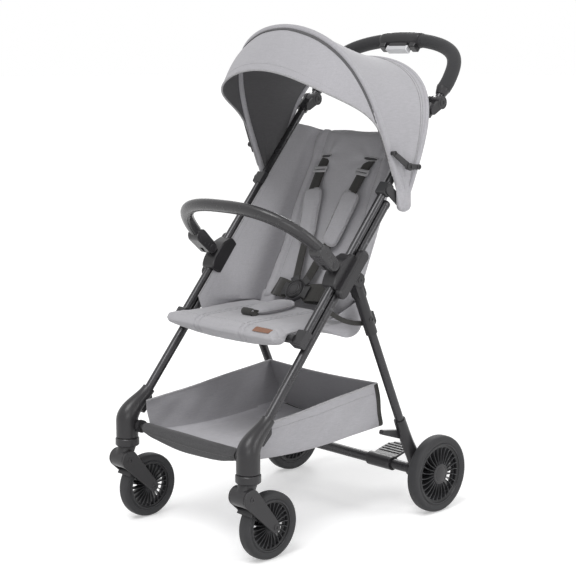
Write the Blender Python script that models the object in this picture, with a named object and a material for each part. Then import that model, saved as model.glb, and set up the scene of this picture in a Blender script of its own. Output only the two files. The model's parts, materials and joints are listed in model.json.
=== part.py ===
"""Travel stroller with a sliding frame, swivelling front wheels, hood, bumper bar and basket.

Units are metres. +Z is up, the child faces -Y and +X is the child's left.
Lengths along Y are counted from the front axle until the last step, which
puts the origin on the floor under the middle of the whole stroller.
"""
import math

import bmesh
import bpy
from mathutils import Matrix, Vector

# Clearances
GAP = 0.0003                  # between fixed pieces that seat on each other
SLIDE_GAP = 0.0004            # between a sliding tube and its guide
HINGE_GAP = 0.0006            # on each side of a hinge leaf

# Wheels
FRONT_WHEEL_R = 0.0675
FRONT_WHEEL_W = 0.027
FRONT_RIM_R = 0.0525          # where the tyre sits
FRONT_OPEN_R = 0.0448         # outer end of the spokes
FRONT_NAVE_R = 0.0105
REAR_WHEEL_R = 0.083
REAR_WHEEL_W = 0.028
REAR_RIM_R = 0.0665
REAR_OPEN_R = 0.0568
REAR_NAVE_R = 0.0235
SPOKES = 14
SPOKE_T = 0.0013
AXLE_R = 0.0042
CAP_T = 0.004
CAP_LIP = 0.0015

# Side frame, a plane at each side that holds the two long tubes
SIDE_X = 0.183
FOOT_Y = -0.003
FOOT_Z = 0.283
SLOPE_DEG = 49.99
LEG_TUBE_R = 0.0095
LEG_TUBE_BACK = 0.0105        # its centre line, behind the side frame's line
LEG_TUBE_TOP = 0.505
SEAT_TUBE_R = 0.0085
SEAT_TUBE_FRONT = 0.0095      # its centre line, in front of the side frame's line
SEAT_TUBE_LOW = 0.16
SEAT_TUBE_TOP = 0.7665

# Front casting and caster
STEM_X = 0.187
TRAIL = 0.051
STEM_R = 0.0232
STEM_LOW = 0.1803
STEM_TOP = 0.216
SOCKET_R = 0.0137
SOCKET_DEPTH = 0.018
RING_R = 0.0250
RING_H = 0.0165
BARREL_Y = -0.062
BARREL_Z = 0.136
BARREL_R = 0.0195
FORK_HALF = 0.0240            # outer faces of the fork, from the wheel's middle
ARM_T = 0.0048
ARM_END_R = 0.0115

# Front crossbar and its fabric sleeve
BAR_Y = -0.037
BAR_Z = 0.206
BAR_R = 0.0085
STUB_R = 0.0115
STUB_IN = 0.153               # inner end of the casting's stub
SLEEVE_HALF = 0.142
SLEEVE_DROP = 0.016
SLEEVE_R = 0.0115

# Side hub
HUB_LOW = 0.288
HUB_HIGH = 0.368
HUB_FRONT = 0.0285
HUB_BACK = 0.0232
HUB_IN = 0.0195               # half thickness of the block, inwards
HUB_OUT = 0.0165              # and outwards
PLATE_T = 0.0115
PLATE_R = 0.0128
BUMPER_S = 0.325              # bumper pivot, along the side frame
BUMPER_N = 0.0440             # and in front of it
BUMPER_EYE_R = 0.0125
LUG_T = 0.0090
LEG_PIVOT_S = 0.342
LEG_PIVOT_N = 0.0350
LEG_EYE_R = 0.0115
LEG_EYE_HALF = 0.0105
CHEEK_T = 0.0050
CHEEK_R = 0.0140

# Rear legs and rear axle
REAR_LEG_R = 0.0094
REAR_LEG_END_Y = 0.391
REAR_LEG_END_Z = 0.197
COLLAR_R = 0.0125
COLLAR_LEN = 0.128
REAR_HUB_X = 0.1915
REAR_AXLE_Y = 0.463
REAR_WHEEL_X = 0.2225
CROSS_AXLE_Y = 0.430
CROSS_AXLE_Z = 0.091
CROSS_AXLE_R = 0.0110
PEDAL_X = 0.094
PEDAL_HALF = 0.034
PEDAL_REACH = 0.066
PEDAL_T = 0.0052
PEDAL_RIBS = 5

# Seat
SEAT_BAR_Y = 0.090
SEAT_BAR_Z = 0.418
SEAT_BAR_R = 0.0080
SEAT_SIDE_GAP = 0.020         # from the cushion's side to the middle of the side tube
SEAT_HALF_W = SIDE_X - SEAT_SIDE_GAP
SEAT_FRONT_Y = 0.030
CREASE_GAP = 0.0005           # from the seat's rear end to the backrest's hinge line
SEAT_TOP_Z = 0.437
SEAT_CROWN = 0.003
SEAT_SEAM_X = 0.068
SEAT_SEAM_W = 0.014
BACK_Y = 0.2785
BACK_Z = 0.436
BACK_LEAN_DEG = 24.5
BACK_LEN = 0.418
BACK_HALF_LOW = 0.143
BACK_HALF_TOP = 0.130
BACK_T = 0.024
BACK_CHANNEL_X = 0.098
PANEL_X = 0.1615
PANEL_TOP_S = 0.660
PANEL_T = 0.0018
SLOT_X = 0.066
SLOT_H = 0.343
PAD_H_TOP = 0.263
PAD_H_LOW = 0.138
PAD_X_TOP = 0.058
PAD_X_LOW = 0.034
PAD_LIFT = 0.010
STRAP_W = 0.025
STRAP_T = 0.0018
BELT_HALF = 0.092
BELT_END_H = 0.040
BELT_END_OFF = 0.0052
BUCKLE_Y = 0.258
BUCKLE_Z = 0.478
BUCKLE_R = 0.0205
BUCKLE_T = 0.014
BUCKLE_TILT_DEG = 38.0
BUCKLE_BUTTON_R = 0.0145
BUCKLE_TRAVEL = 0.003
CROTCH_FRONT_Y = 0.125
CROTCH_SHIFT = 0.012
CROTCH_T = 0.0052

# Bumper bar
BUMPER_HALF = 0.187
BUMPER_CROWN_Y = 0.052
BUMPER_CROWN_Z = 0.671
BUMPER_W = 0.0145
BUMPER_H = 0.0115
BUMPER_END_HALF = 0.0165

# Handle
HANDLE_TILT_DEG = 52.6
HANDLE_PIVOT_N = 0.0          # behind the side frame's line
HANDLE_RISE = 0.166
HANDLE_HALF = 0.186
HANDLE_R = 0.0085
GRIP_R = 0.0150
HANDLE_EYE_R = 0.0125
HANDLE_EYE_HALF = 0.0085
HANDLE_CHEEK_T = 0.0075
SEAT_TUBE_SEAT = 0.0200       # from the handle's pivot down to the tube's end
GRIP_START = 0.035
HOUSING_HALF = 0.036
HOUSING_WALL = 0.0016
SKIRT_DEPTH = 0.0245
BUTTON_HALF = 0.022
BUTTON_W = 0.0065
BUTTON_REACH = 0.0315
BUTTON_SEAT = 0.0218

# Hood
HOOD_Y = 0.370
HOOD_Z = 0.665
HOOD_ARM_IN = 0.0027          # from the seat tube's outer side to the arm
HOOD_ARM_T = 0.0036
BOW_Y = 0.222
BOW_Z = 1.024
REAR_BOW_Y = 0.478
REAR_BOW_Z = 0.962
REAR_BULGE = 0.009
VISOR_Y = 0.150
VISOR_Z = 0.940
VISOR_START = 0.40            # height on the bow where the visor grows, as a share
HOOD_SKIN = 0.0020
HOOD_SAG = 0.010
HOOD_FLAT = 0.43              # the lower it is, the squarer the arch
REAR_FLAT = 0.37
BOW_R = 0.0046
REAR_BOW_R = 0.0034
REAR_BOW_OUT = 0.0025          # wider than the front bow at each side
EYE_T = 0.0040
EYE_R = 0.0085
PIN_R = 0.0030
STAY_W = 0.0062
STAY_T = 0.0040
STAY_FRONT = 0.30             # place on the front bow, as a share of its height
STAY_REAR = 0.265
STAY_SPLIT = 0.58
STAY_DROP = 0.011

# Basket
BASKET_HALF = 0.163
BASKET_FRONT_Y = -0.018
BASKET_REAR_Y = 0.336
BASKET_FLOOR_Z = 0.188
BASKET_SAG = 0.010
BASKET_RIM_FRONT_Z = 0.256
BASKET_RIM_REAR_Z = 0.290
BASKET_SKIN = 0.0026

SEAT_REAR_Y = BACK_Y - CREASE_GAP
HOOD_X = SIDE_X + SEAT_TUBE_R + HOOD_ARM_IN + HOOD_ARM_T + HINGE_GAP + EYE_T / 2
ROUND = 16
HEM_GAP = GAP + 0.36 * HOOD_SKIN
BOW_SIDES = 6
BOW_FLAT = math.cos(math.pi / BOW_SIDES)
HANDLE_STEPS = 20
BOW_STEPS = 20
HANDLE_SIDES = 8
TYRE_STEPS = 24
SLOPE = math.radians(SLOPE_DEG)
LINE = (math.cos(SLOPE), math.sin(SLOPE))
BACKWARD = (math.sin(SLOPE), -math.cos(SLOPE))


# Materials

def material(name, colour, roughness, metallic=0.0):
    mat = bpy.data.materials.new(name)
    mat.use_nodes = True
    shader = mat.node_tree.nodes["Principled BSDF"]
    shader.inputs["Base Color"].default_value = (*colour, 1.0)
    shader.inputs["Roughness"].default_value = roughness
    shader.inputs["Metallic"].default_value = metallic
    mat.diffuse_color = (*colour, 1.0)
    return mat


def clear_scene():
    for obj in list(bpy.data.objects):
        bpy.data.objects.remove(obj, do_unlink=True)


# Places

def on_side(along, behind):
    """Y and Z of a point of the side frame."""
    y = FOOT_Y + along * LINE[0] + behind * BACKWARD[0]
    z = FOOT_Z + along * LINE[1] + behind * BACKWARD[1]
    return y, z


def side_outline(points):
    return [on_side(s, n) for s, n in points]


def polar(cy, cz, radius, angle):
    return cy + radius * math.cos(angle), cz + radius * math.sin(angle)


def mix(a, b, t):
    return a + (b - a) * t


def ease(t):
    t = min(max(t, 0.0), 1.0)
    return t * t * (3.0 - 2.0 * t)


# Mesh building

def skin(rings, closed=False, caps=True):
    """A closed body through rings of equal length."""
    bm = bmesh.new()
    rows = []
    for ring in rings:
        rows.append([bm.verts.new(p) for p in ring])
    count = len(rows[0])
    last = len(rows) if closed else len(rows) - 1
    for i in range(last):
        lower = rows[i]
        upper = rows[(i + 1) % len(rows)]
        for j in range(count):
            k = (j + 1) % count
            bm.faces.new((lower[j], lower[k], upper[k], upper[j]))
    if caps and not closed:
        bm.faces.new(list(reversed(rows[0])))
        bm.faces.new(rows[-1])
    bmesh.ops.recalc_face_normals(bm, faces=bm.faces)
    return bm


def frame_along(path, start_side):
    """Side and upright vectors at each point, carried along the path."""
    frames = []
    side = Vector(start_side)
    for i, point in enumerate(path):
        before = path[max(i - 1, 0)]
        after = path[min(i + 1, len(path) - 1)]
        forward = (Vector(after) - Vector(before)).normalized()
        side = (side - forward * side.dot(forward)).normalized()
        frames.append((side.copy(), forward.cross(side).normalized()))
    return frames


def sweep(path, size, sides=16, start_side=(1.0, 0.0, 0.0), closed=False):
    """A tube along a path. size is a radius, a pair of half axes, or one of these per point."""
    frames = frame_along(path, start_side)
    rings = []
    for i, point in enumerate(path):
        here = size[i] if isinstance(size, list) else size
        half_a, half_b = here if isinstance(here, tuple) else (here, here)
        side, up = frames[i]
        ring = []
        for j in range(sides):
            angle = 2.0 * math.pi * (j + 0.5) / sides
            offset = side * (half_a * math.cos(angle)) + up * (half_b * math.sin(angle))
            ring.append(Vector(point) + offset)
        rings.append(ring)
    return skin(rings, closed)


def rod(start, end, radius, sides=16, start_side=None):
    axis = (Vector(end) - Vector(start)).normalized()
    side = start_side or ((0.0, 0.0, 1.0) if abs(axis.z) < 0.7 else (1.0, 0.0, 0.0))
    return sweep([start, end], radius, sides, side)


def turned(profile, centre, axis="X", steps=ROUND):
    """Turns (radius, height) pairs about an axis through centre. The profile is a closed loop."""
    bm = bmesh.new()
    rows = []
    for i in range(steps):
        angle = 2.0 * math.pi * (i + 0.5) / steps
        row = []
        for radius, height in profile:
            a = radius * math.cos(angle)
            b = radius * math.sin(angle)
            local = (height, a, b) if axis == "X" else (a, b, height)
            row.append(bm.verts.new(Vector(centre) + Vector(local)))
        rows.append(row)
    count = len(profile)
    for i in range(steps):
        here = rows[i]
        there = rows[(i + 1) % steps]
        for j in range(count):
            k = (j + 1) % count
            bm.faces.new((here[j], here[k], there[k], there[j]))
    bmesh.ops.recalc_face_normals(bm, faces=bm.faces)
    return bm


def disc(centre, radius, half, axis="X", steps=ROUND, edge=0.0):
    """A short cylinder whose rims are broken by edge."""
    outline = [(radius - edge, -half), (radius, -half + edge), (radius, half - edge), (radius - edge, half)]
    if edge == 0.0:
        outline = [(radius, -half), (radius, half)]
    rings = []
    for r, h in outline:
        ring = []
        for i in range(steps):
            angle = 2.0 * math.pi * (i + 0.5) / steps
            a = r * math.cos(angle)
            b = r * math.sin(angle)
            local = (h, a, b) if axis == "X" else (a, b, h)
            ring.append(Vector(centre) + Vector(local))
        rings.append(ring)
    return skin(rings)


def prism(outline, x_low, x_high, edge=0.0):
    """A plate with a Y-Z outline, between two X planes, with broken rims."""
    if edge <= 0.0:
        rings = [[(x, y, z) for y, z in outline] for x in (x_low, x_high)]
        return skin(rings)
    inner = shrink(outline, edge)
    layers = [(x_low, inner), (x_low + edge, outline), (x_high - edge, outline), (x_high, inner)]
    return skin([[(x, y, z) for y, z in loop] for x, loop in layers])


def shrink(outline, distance):
    """The outline moved inwards by a distance, corner by corner."""
    area = 0.0
    count = len(outline)
    for i in range(count):
        y0, z0 = outline[i]
        y1, z1 = outline[(i + 1) % count]
        area += y0 * z1 - y1 * z0
    turn = 1.0 if area > 0.0 else -1.0
    result = []
    for i in range(count):
        p = Vector(outline[i - 1])
        q = Vector(outline[i])
        r = Vector(outline[(i + 1) % count])
        first = (q - p).normalized()
        second = (r - q).normalized()
        normal_a = Vector((-first.y, first.x)) * turn
        normal_b = Vector((-second.y, second.x)) * turn
        bisector = (normal_a + normal_b).normalized()
        cosine = max(bisector.dot(normal_a), 0.4)
        moved = q + bisector * (distance / cosine)
        result.append((moved.x, moved.y))
    return result


def rounded(points, radius, steps=3):
    """A closed outline whose corners are rounded."""
    result = []
    count = len(points)
    for i in range(count):
        p = Vector(points[i - 1])
        q = Vector(points[i])
        r = Vector(points[(i + 1) % count])
        cut = min(radius, 0.45 * (p - q).length, 0.45 * (r - q).length)
        a = q + (p - q).normalized() * cut
        b = q + (r - q).normalized() * cut
        for j in range(steps + 1):
            t = j / steps
            point = a * (1 - t) ** 2 + q * (2 * t * (1 - t)) + b * t ** 2
            result.append((point.x, point.y))
    return result


def capsule(a, radius_a, b, radius_b, steps=8):
    """The outline around two circles of a plane."""
    direction = math.atan2(b[1] - a[1], b[0] - a[0])
    length = math.hypot(b[0] - a[0], b[1] - a[1])
    lean = math.asin(max(-0.99, min(0.99, (radius_a - radius_b) / length)))
    result = []
    for i in range(steps + 1):
        angle = direction + math.pi / 2 - lean + (math.pi + 2 * lean) * i / steps
        result.append(polar(a[0], a[1], radius_a, angle))
    for i in range(steps + 1):
        angle = direction - math.pi / 2 + lean + (math.pi - 2 * lean) * i / steps
        result.append(polar(b[0], b[1], radius_b, angle))
    return result


def box(low, high, edge=0.0):
    y0, y1 = low[1], high[1]
    z0, z1 = low[2], high[2]
    outline = [(y0, z0), (y1, z0), (y1, z1), (y0, z1)]
    return prism(outline, low[0], high[0], edge)


def moved(bm, matrix):
    bmesh.ops.transform(bm, matrix=matrix, verts=bm.verts)
    if matrix.determinant() < 0.0:
        bmesh.ops.reverse_faces(bm, faces=bm.faces)
    return bm


def mirrored(bm, hand):
    if hand < 0:
        moved(bm, Matrix.Diagonal((-1.0, 1.0, 1.0, 1.0)))
    return bm


def temp_object(bm):
    mesh = bpy.data.meshes.new("piece")
    bm.to_mesh(mesh)
    bm.free()
    obj = bpy.data.objects.new("piece", mesh)
    bpy.context.scene.collection.objects.link(obj)
    return obj


def combine(base, joined=(), cut=()):
    """Unions and cuts done with exact Booleans, returned as one mesh."""
    body = temp_object(base)
    others = []
    for operation, group in (("UNION", joined), ("DIFFERENCE", cut)):
        for bm in group:
            tool = temp_object(bm)
            others.append(tool)
            modifier = body.modifiers.new(operation.lower(), "BOOLEAN")
            modifier.operation = operation
            modifier.solver = "EXACT"
            modifier.object = tool
    graph = bpy.context.evaluated_depsgraph_get()
    graph.update()
    result = bmesh.new()
    result.from_mesh(body.evaluated_get(graph).to_mesh())
    for obj in [body] + others:
        mesh = obj.data
        bpy.data.objects.remove(obj, do_unlink=True)
        bpy.data.meshes.remove(mesh)
    bmesh.ops.remove_doubles(result, verts=result.verts, dist=0.000002)
    bmesh.ops.dissolve_degenerate(result, edges=result.edges, dist=0.000002)
    return result


def make(name, bm, mat, smooth=38.0):
    mesh = bpy.data.meshes.new(name)
    bm.to_mesh(mesh)
    bm.free()
    mesh.materials.append(mat)
    mesh.shade_smooth()
    mesh.set_sharp_from_angle(angle=math.radians(smooth))
    obj = bpy.data.objects.new(name, mesh)
    bpy.context.scene.collection.objects.link(obj)
    return obj


def pivot(name, place, parent=None):
    """An empty on a joint's axis."""
    empty = bpy.data.objects.new(name, None)
    empty.empty_display_size = 0.02
    bpy.context.scene.collection.objects.link(empty)
    empty.location = Vector(place) - (world_place(parent) if parent else Vector())
    empty.parent = parent
    return empty


def world_place(obj):
    place = Vector(obj.location)
    while obj.parent:
        obj = obj.parent
        place += Vector(obj.location)
    return place


def carry(empty, objects):
    """Puts each object's origin on the empty, which then carries it."""
    shift = world_place(empty)
    for obj in objects:
        obj.data.transform(Matrix.Translation(-shift))
        obj.parent = empty


def hands():
    return (("left", 1), ("right", -1))


# Wheels

def tyre_mesh(place, radius, rim, width):
    seat = rim + GAP
    tread = 0.30 * width
    half = 0.5 * width
    wall = half * 0.80
    step = radius / math.cos(math.pi / TYRE_STEPS)
    profile = [(seat, -wall), (mix(seat, radius, 0.6), -half), (step, -tread)]
    profile += [(step, tread), (mix(seat, radius, 0.6), half), (seat, wall)]
    return turned(profile, place, "X", TYRE_STEPS)


def rim_mesh(place, rim, opening, nave, width, nave_half, spoke_half, cap=None):
    """A turned rim and a turned nave, joined by a ring of blade spokes."""
    wall = 0.5 * width * 0.80
    lip = 0.0016
    step = rim - 0.0036
    profile = [(rim, -wall), (rim, wall), (step, wall + lip), (opening, wall - 0.0022)]
    profile += [(opening, -wall + 0.0022), (step, -wall - lip)]
    ring = turned(profile, place, "X", TYRE_STEPS)
    bore = AXLE_R + GAP
    hub_profile = [(bore, -nave_half), (nave, -nave_half), (nave, nave_half), (bore, nave_half)]
    hub = turned(hub_profile, place, "X", SPOKES)
    spokes = bmesh.new()
    for i in range(SPOKES):
        angle = 2.0 * math.pi * i / SPOKES
        blade = box((-spoke_half, nave - 0.0008, -SPOKE_T / 2), (spoke_half, opening + 0.0010, SPOKE_T / 2))
        moved(blade, Matrix.Translation(place) @ Matrix.Rotation(angle, 4, "X"))
        copy_into(spokes, blade)
    both = bmesh.new()
    copy_into(both, ring)
    copy_into(both, hub)
    return combine(both, [spokes] + ([cap] if cap else []))


def copy_into(target, source):
    index = {}
    for vert in source.verts:
        index[vert] = target.verts.new(vert.co)
    for face in source.faces:
        target.faces.new([index[v] for v in face.verts])
    source.free()


def front_wheel(side, hand, mats, parent):
    place = (hand * STEM_X, 0.0, FRONT_WHEEL_R)
    hold = pivot("front_wheel_axis_" + side, place, parent)
    tyre = make("front_tyre_" + side, tyre_mesh(place, FRONT_WHEEL_R, FRONT_RIM_R, FRONT_WHEEL_W), mats["tyre"])
    inner = FORK_HALF - ARM_T - HINGE_GAP
    rim = rim_mesh(place, FRONT_RIM_R, FRONT_OPEN_R, FRONT_NAVE_R, FRONT_WHEEL_W, inner, 0.0052)
    carry(hold, [tyre, make("front_rim_" + side, rim, mats["rim"])])


def rear_wheel(side, hand, mats, parent):
    place = (hand * REAR_WHEEL_X, REAR_AXLE_Y, REAR_WHEEL_R)
    hold = pivot("rear_wheel_axis_" + side, place, parent)
    tyre = make("rear_tyre_" + side, tyre_mesh(place, REAR_WHEEL_R, REAR_RIM_R, REAR_WHEEL_W), mats["tyre"])
    nave_half = 0.5 * REAR_WHEEL_W * 0.80 - 0.001
    face = place[0] + hand * (nave_half + CAP_T / 2 - 0.0008)
    cap = disc((face, place[1], place[2]), REAR_NAVE_R + CAP_LIP, CAP_T / 2, "X", SPOKES, 0.0012)
    rim = rim_mesh(place, REAR_RIM_R, REAR_OPEN_R, REAR_NAVE_R, REAR_WHEEL_W, nave_half, 0.0060, cap)
    carry(hold, [tyre, make("rear_rim_" + side, rim, mats["rim"])])


# Front casting, caster and fork

def casting_path():
    mouth = on_side(0.0, LEG_TUBE_BACK)
    start = (-TRAIL, STEM_TOP)
    reach = 0.024
    handle_a = (start[0], start[1] + reach)
    handle_b = (mouth[0] - LINE[0] * reach, mouth[1] - LINE[1] * reach)
    path = [(STEM_X, -TRAIL, STEM_LOW), (STEM_X, -TRAIL, STEM_LOW + 0.002)]
    sizes = [STEM_R - 0.0015, STEM_R]
    steps = 6
    for i in range(steps + 1):
        t = i / steps
        a = (1 - t) ** 3
        b = 3 * t * (1 - t) ** 2
        c = 3 * t * t * (1 - t)
        d = t ** 3
        y = a * start[0] + b * handle_a[0] + c * handle_b[0] + d * mouth[0]
        z = a * start[1] + b * handle_a[1] + c * handle_b[1] + d * mouth[1]
        path.append((mix(STEM_X, SIDE_X, t), y, z))
        sizes.append(mix(STEM_R, SOCKET_R, ease(t * 1.05)))
    return path, sizes


def front_casting(side, hand, mats):
    path, sizes = casting_path()
    body = sweep(path, sizes, ROUND)
    clip_low = on_side(-0.046, LEG_TUBE_BACK + 0.008)
    clip_high = on_side(-0.008, LEG_TUBE_BACK + 0.010)
    clip_tip = on_side(-0.020, LEG_TUBE_BACK + SOCKET_R + 0.0075)
    clip_foot = on_side(-0.052, LEG_TUBE_BACK + SOCKET_R + 0.0035)
    clip_outline = rounded([clip_low, clip_foot, clip_tip, clip_high], 0.004, 1)
    clip = prism(clip_outline, SIDE_X - 0.0072, SIDE_X + 0.0072)
    stub = rod((STEM_X, BAR_Y, BAR_Z), (STUB_IN, BAR_Y, BAR_Z), STUB_R, 14)
    flange = disc((STUB_IN + 0.004, BAR_Y, BAR_Z), STUB_R + 0.0018, 0.004, "X", 14)
    start = on_side(-SOCKET_DEPTH, LEG_TUBE_BACK)
    end = on_side(0.02, LEG_TUBE_BACK)
    bore = rod((SIDE_X, *start), (SIDE_X, *end), LEG_TUBE_R + GAP, 16, (1.0, 0.0, 0.0))
    bm = combine(body, [clip, stub, flange], [bore])
    return make("front_hub_" + side, mirrored(bm, hand), mats["plastic"])


def caster_head(side, hand, mats):
    """Collar ring under the casting, a neck, and the round barrel between the fork's arms."""
    top = STEM_LOW - GAP
    low = top - RING_H
    barrel_half = FORK_HALF - ARM_T - GAP
    ring = disc((STEM_X, -TRAIL, (top + low) / 2), RING_R, RING_H / 2, "Z", ROUND, 0.0018)
    neck_path = [(STEM_X, -TRAIL, low + 0.004), (STEM_X, mix(-TRAIL, BARREL_Y, 0.4), mix(low, BARREL_Z, 0.35))]
    neck_path.append((STEM_X, BARREL_Y, BARREL_Z + 0.004))
    neck = sweep(neck_path, [(0.0185, 0.0195), (0.0172, 0.0185), (0.0165, 0.0175)], 14)
    barrel = disc((STEM_X, BARREL_Y, BARREL_Z), BARREL_R, barrel_half, "X", ROUND)
    bm = combine(ring, [neck, barrel])
    return make("caster_head_" + side, mirrored(bm, hand), mats["plastic"])


def caster_fork(side, hand, mats):
    """Two tapered arms, the mudguard bridge between them, and the front axle."""
    barrel = (BARREL_Y, BARREL_Z)
    hub = (0.0, FRONT_WHEEL_R)
    outline = capsule(barrel, BARREL_R + 0.0004, hub, ARM_END_R, 6)
    inner = FORK_HALF - ARM_T
    near = prism(outline, STEM_X + inner, STEM_X + FORK_HALF, 0.0011)
    far = prism(outline, STEM_X - FORK_HALF, STEM_X - inner, 0.0011)
    axle = rod((STEM_X - FORK_HALF + 0.001, *hub), (STEM_X + FORK_HALF - 0.001, *hub), AXLE_R, 16)
    bridge = bridge_outline()
    guard = prism(bridge, STEM_X - inner - 0.0005, STEM_X + inner + 0.0005)
    bm = combine(near, [axle, guard, far])
    return make("caster_fork_" + side, mirrored(bm, hand), mats["plastic"])


def bridge_outline():
    """A curved web between barrel and tyre, with an even gap to each."""
    points_out = []
    points_in = []
    tyre_gap = 0.0016
    for i in range(6):
        angle = math.radians(mix(116.0, 152.0, i / 5))
        inner = FRONT_WHEEL_R + tyre_gap
        points_in.append(polar(0.0, FRONT_WHEEL_R, inner, angle))
        away = polar(0.0, FRONT_WHEEL_R, inner + 0.0032, angle)
        distance = math.hypot(away[0] - BARREL_Y, away[1] - BARREL_Z)
        least = BARREL_R + HINGE_GAP
        if distance < least:
            scale = least / distance
            away = (BARREL_Y + (away[0] - BARREL_Y) * scale, BARREL_Z + (away[1] - BARREL_Z) * scale)
        points_out.append(away)
    return points_in + points_out[::-1]


def leg_tube(side, hand, mats):
    """Lower tube with the plug in its upper end."""
    path = []
    sizes = []
    stations = [(-SOCKET_DEPTH + GAP, 0.0), (LEG_TUBE_TOP, 0.0), (LEG_TUBE_TOP + 0.0005, 0.0008)]
    stations += [(LEG_TUBE_TOP + 0.007, 0.0008), (LEG_TUBE_TOP + 0.0105, -0.0004), (LEG_TUBE_TOP + 0.0125, -0.003)]
    for along, extra in stations:
        path.append((SIDE_X, *on_side(along, LEG_TUBE_BACK)))
        sizes.append(LEG_TUBE_R + extra)
    bm = sweep(path, sizes, 16)
    return make("front_leg_tube_" + side, mirrored(bm, hand), mats["tube"])


def front_crossbar(mats):
    end = STUB_IN - GAP
    bm = rod((-end, BAR_Y, BAR_Z), (end, BAR_Y, BAR_Z), BAR_R, 16)
    return make("front_crossbar", bm, mats["tube"])


def crossbar_sleeve(mats):
    """Fabric sleeve whose lower edge bellies between its ends."""
    rings = []
    steps = 10
    for i in range(steps + 1):
        u = mix(-1.0, 1.0, i / steps)
        drop = SLEEVE_DROP * (1.0 - abs(u) ** 2.4)
        ring = []
        for j in range(12):
            angle = 2.0 * math.pi * (j + 0.5) / 12
            y = SLEEVE_R * math.cos(angle)
            z = SLEEVE_R * math.sin(angle)
            if z < 0.0:
                z *= 1.0 + drop / SLEEVE_R
                y *= 1.0 - 0.25 * drop / SLEEVE_DROP
            ring.append((u * SLEEVE_HALF, BAR_Y + y, BAR_Z + z))
        rings.append(ring)
    bore = rod((-0.2, BAR_Y, BAR_Z), (0.2, BAR_Y, BAR_Z), BAR_R + GAP, 16)
    bm = combine(skin(rings), [], [bore])
    return make("crossbar_sleeve", bm, mats["dark_fabric"], 60.0)


# Side hub

def side_hub(side, hand, mats):
    """Moulding that holds the lower tube, guides the seat tube and carries the two pivots."""
    low_x = SIDE_X - HUB_IN
    high_x = SIDE_X + HUB_OUT
    block_points = [(HUB_LOW, -HUB_FRONT * 0.72), (HUB_LOW + 0.020, -HUB_FRONT), (HUB_HIGH - 0.020, -HUB_FRONT)]
    block_points += [(HUB_HIGH + 0.006, -HUB_FRONT * 0.50), (HUB_HIGH, HUB_BACK), (HUB_LOW + 0.006, HUB_BACK)]
    block = prism(rounded(side_outline(block_points), 0.009, 2), low_x, high_x, 0.0025)
    plate_line = capsule(on_side(HUB_LOW + 0.004, 0.004), PLATE_R, on_side(HUB_HIGH + 0.012, 0.006), PLATE_R, 6)
    plate = prism(plate_line, SIDE_X + HUB_OUT - 0.006, SIDE_X + HUB_OUT + PLATE_T, 0.0035)
    pivot_at = on_side(BUMPER_S, -BUMPER_N)
    lug_line = capsule(on_side(BUMPER_S, -HUB_FRONT + 0.006), 0.0100, pivot_at, BUMPER_EYE_R - 0.0015, 5)
    lug = prism(lug_line, SIDE_X - LUG_T / 2, SIDE_X + LUG_T / 2)
    leg_at = on_side(LEG_PIVOT_S, LEG_PIVOT_N)
    root = on_side(LEG_PIVOT_S - 0.004, HUB_BACK - 0.010)
    cheeks = []
    reach = LEG_EYE_HALF + HINGE_GAP
    for start, end in ((-reach - CHEEK_T, -reach), (reach, reach + CHEEK_T)):
        line = capsule(root, 0.0150, leg_at, CHEEK_R, 5)
        cheeks.append(prism(line, SIDE_X + start, SIDE_X + end))
    pin = rod((SIDE_X - reach - 0.001, *leg_at), (SIDE_X + reach + 0.001, *leg_at), 0.0040, 10)
    bores = []
    for offset, radius in ((LEG_TUBE_BACK, LEG_TUBE_R + GAP), (-SEAT_TUBE_FRONT, SEAT_TUBE_R + SLIDE_GAP)):
        start = on_side(HUB_LOW - 0.05, offset)
        end = on_side(HUB_HIGH + 0.08, offset)
        bores.append(rod((SIDE_X, *start), (SIDE_X, *end), radius, 16, (1.0, 0.0, 0.0)))
    bm = combine(block, [plate, lug] + cheeks + [pin], bores)
    return make("side_hub_" + side, mirrored(bm, hand), mats["plastic"])


# Basket

def basket_outline(y, inset):
    """Half widths and heights of the basket's section at one place along it."""
    t = (y - BASKET_FRONT_Y) / (BASKET_REAR_Y - BASKET_FRONT_Y)
    t = min(max(t, 0.0), 1.0)
    rim_z = mix(BASKET_RIM_FRONT_Z, BASKET_RIM_REAR_Z, t)
    floor_z = BASKET_FLOOR_Z - BASKET_SAG * math.sin(math.pi * t) + inset
    half = BASKET_HALF - inset
    low_half = half - 0.012
    return rim_z, floor_z, half, low_half


def basket_section(y, inset, over):
    rim_z, floor_z, half, low_half = basket_outline(y, inset)
    ring = []
    top = rim_z + over
    fold = 0.0035 * math.sin((y - BASKET_FRONT_Y) * 34.0)
    right = [(half, top), (half - 0.001 + 0.3 * fold, mix(top, floor_z, 0.33)), (half - 0.004 - fold, mix(top, floor_z, 0.66))]
    right += [(low_half, floor_z + 0.011), (low_half - 0.012, floor_z + 0.001)]
    middle = [(low_half * 0.5, floor_z - 0.003), (0.0, floor_z - 0.0045)]
    for x, z in right + middle:
        ring.append((x, y, z))
    for x, z in reversed(right + middle[:-1]):
        ring.append((-x, y, z))
    return ring


def basket(mats):
    """Fabric tray, open in front over the crossbar and closed by a wall behind."""
    stations = 9
    outer = []
    inner = []
    for i in range(stations + 1):
        t = i / stations
        outer.append(basket_section(mix(BASKET_FRONT_Y, BASKET_REAR_Y, t), 0.0, 0.0))
        far = BASKET_REAR_Y - BASKET_SKIN
        inner.append(basket_section(mix(BASKET_FRONT_Y - 0.01, far, t), BASKET_SKIN, 0.03))
    bm = combine(skin(outer), [basket_lip()], [skin(inner)])
    return make("basket", bm, mats["fabric"], 50.0)


# Sliding seat frame

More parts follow.
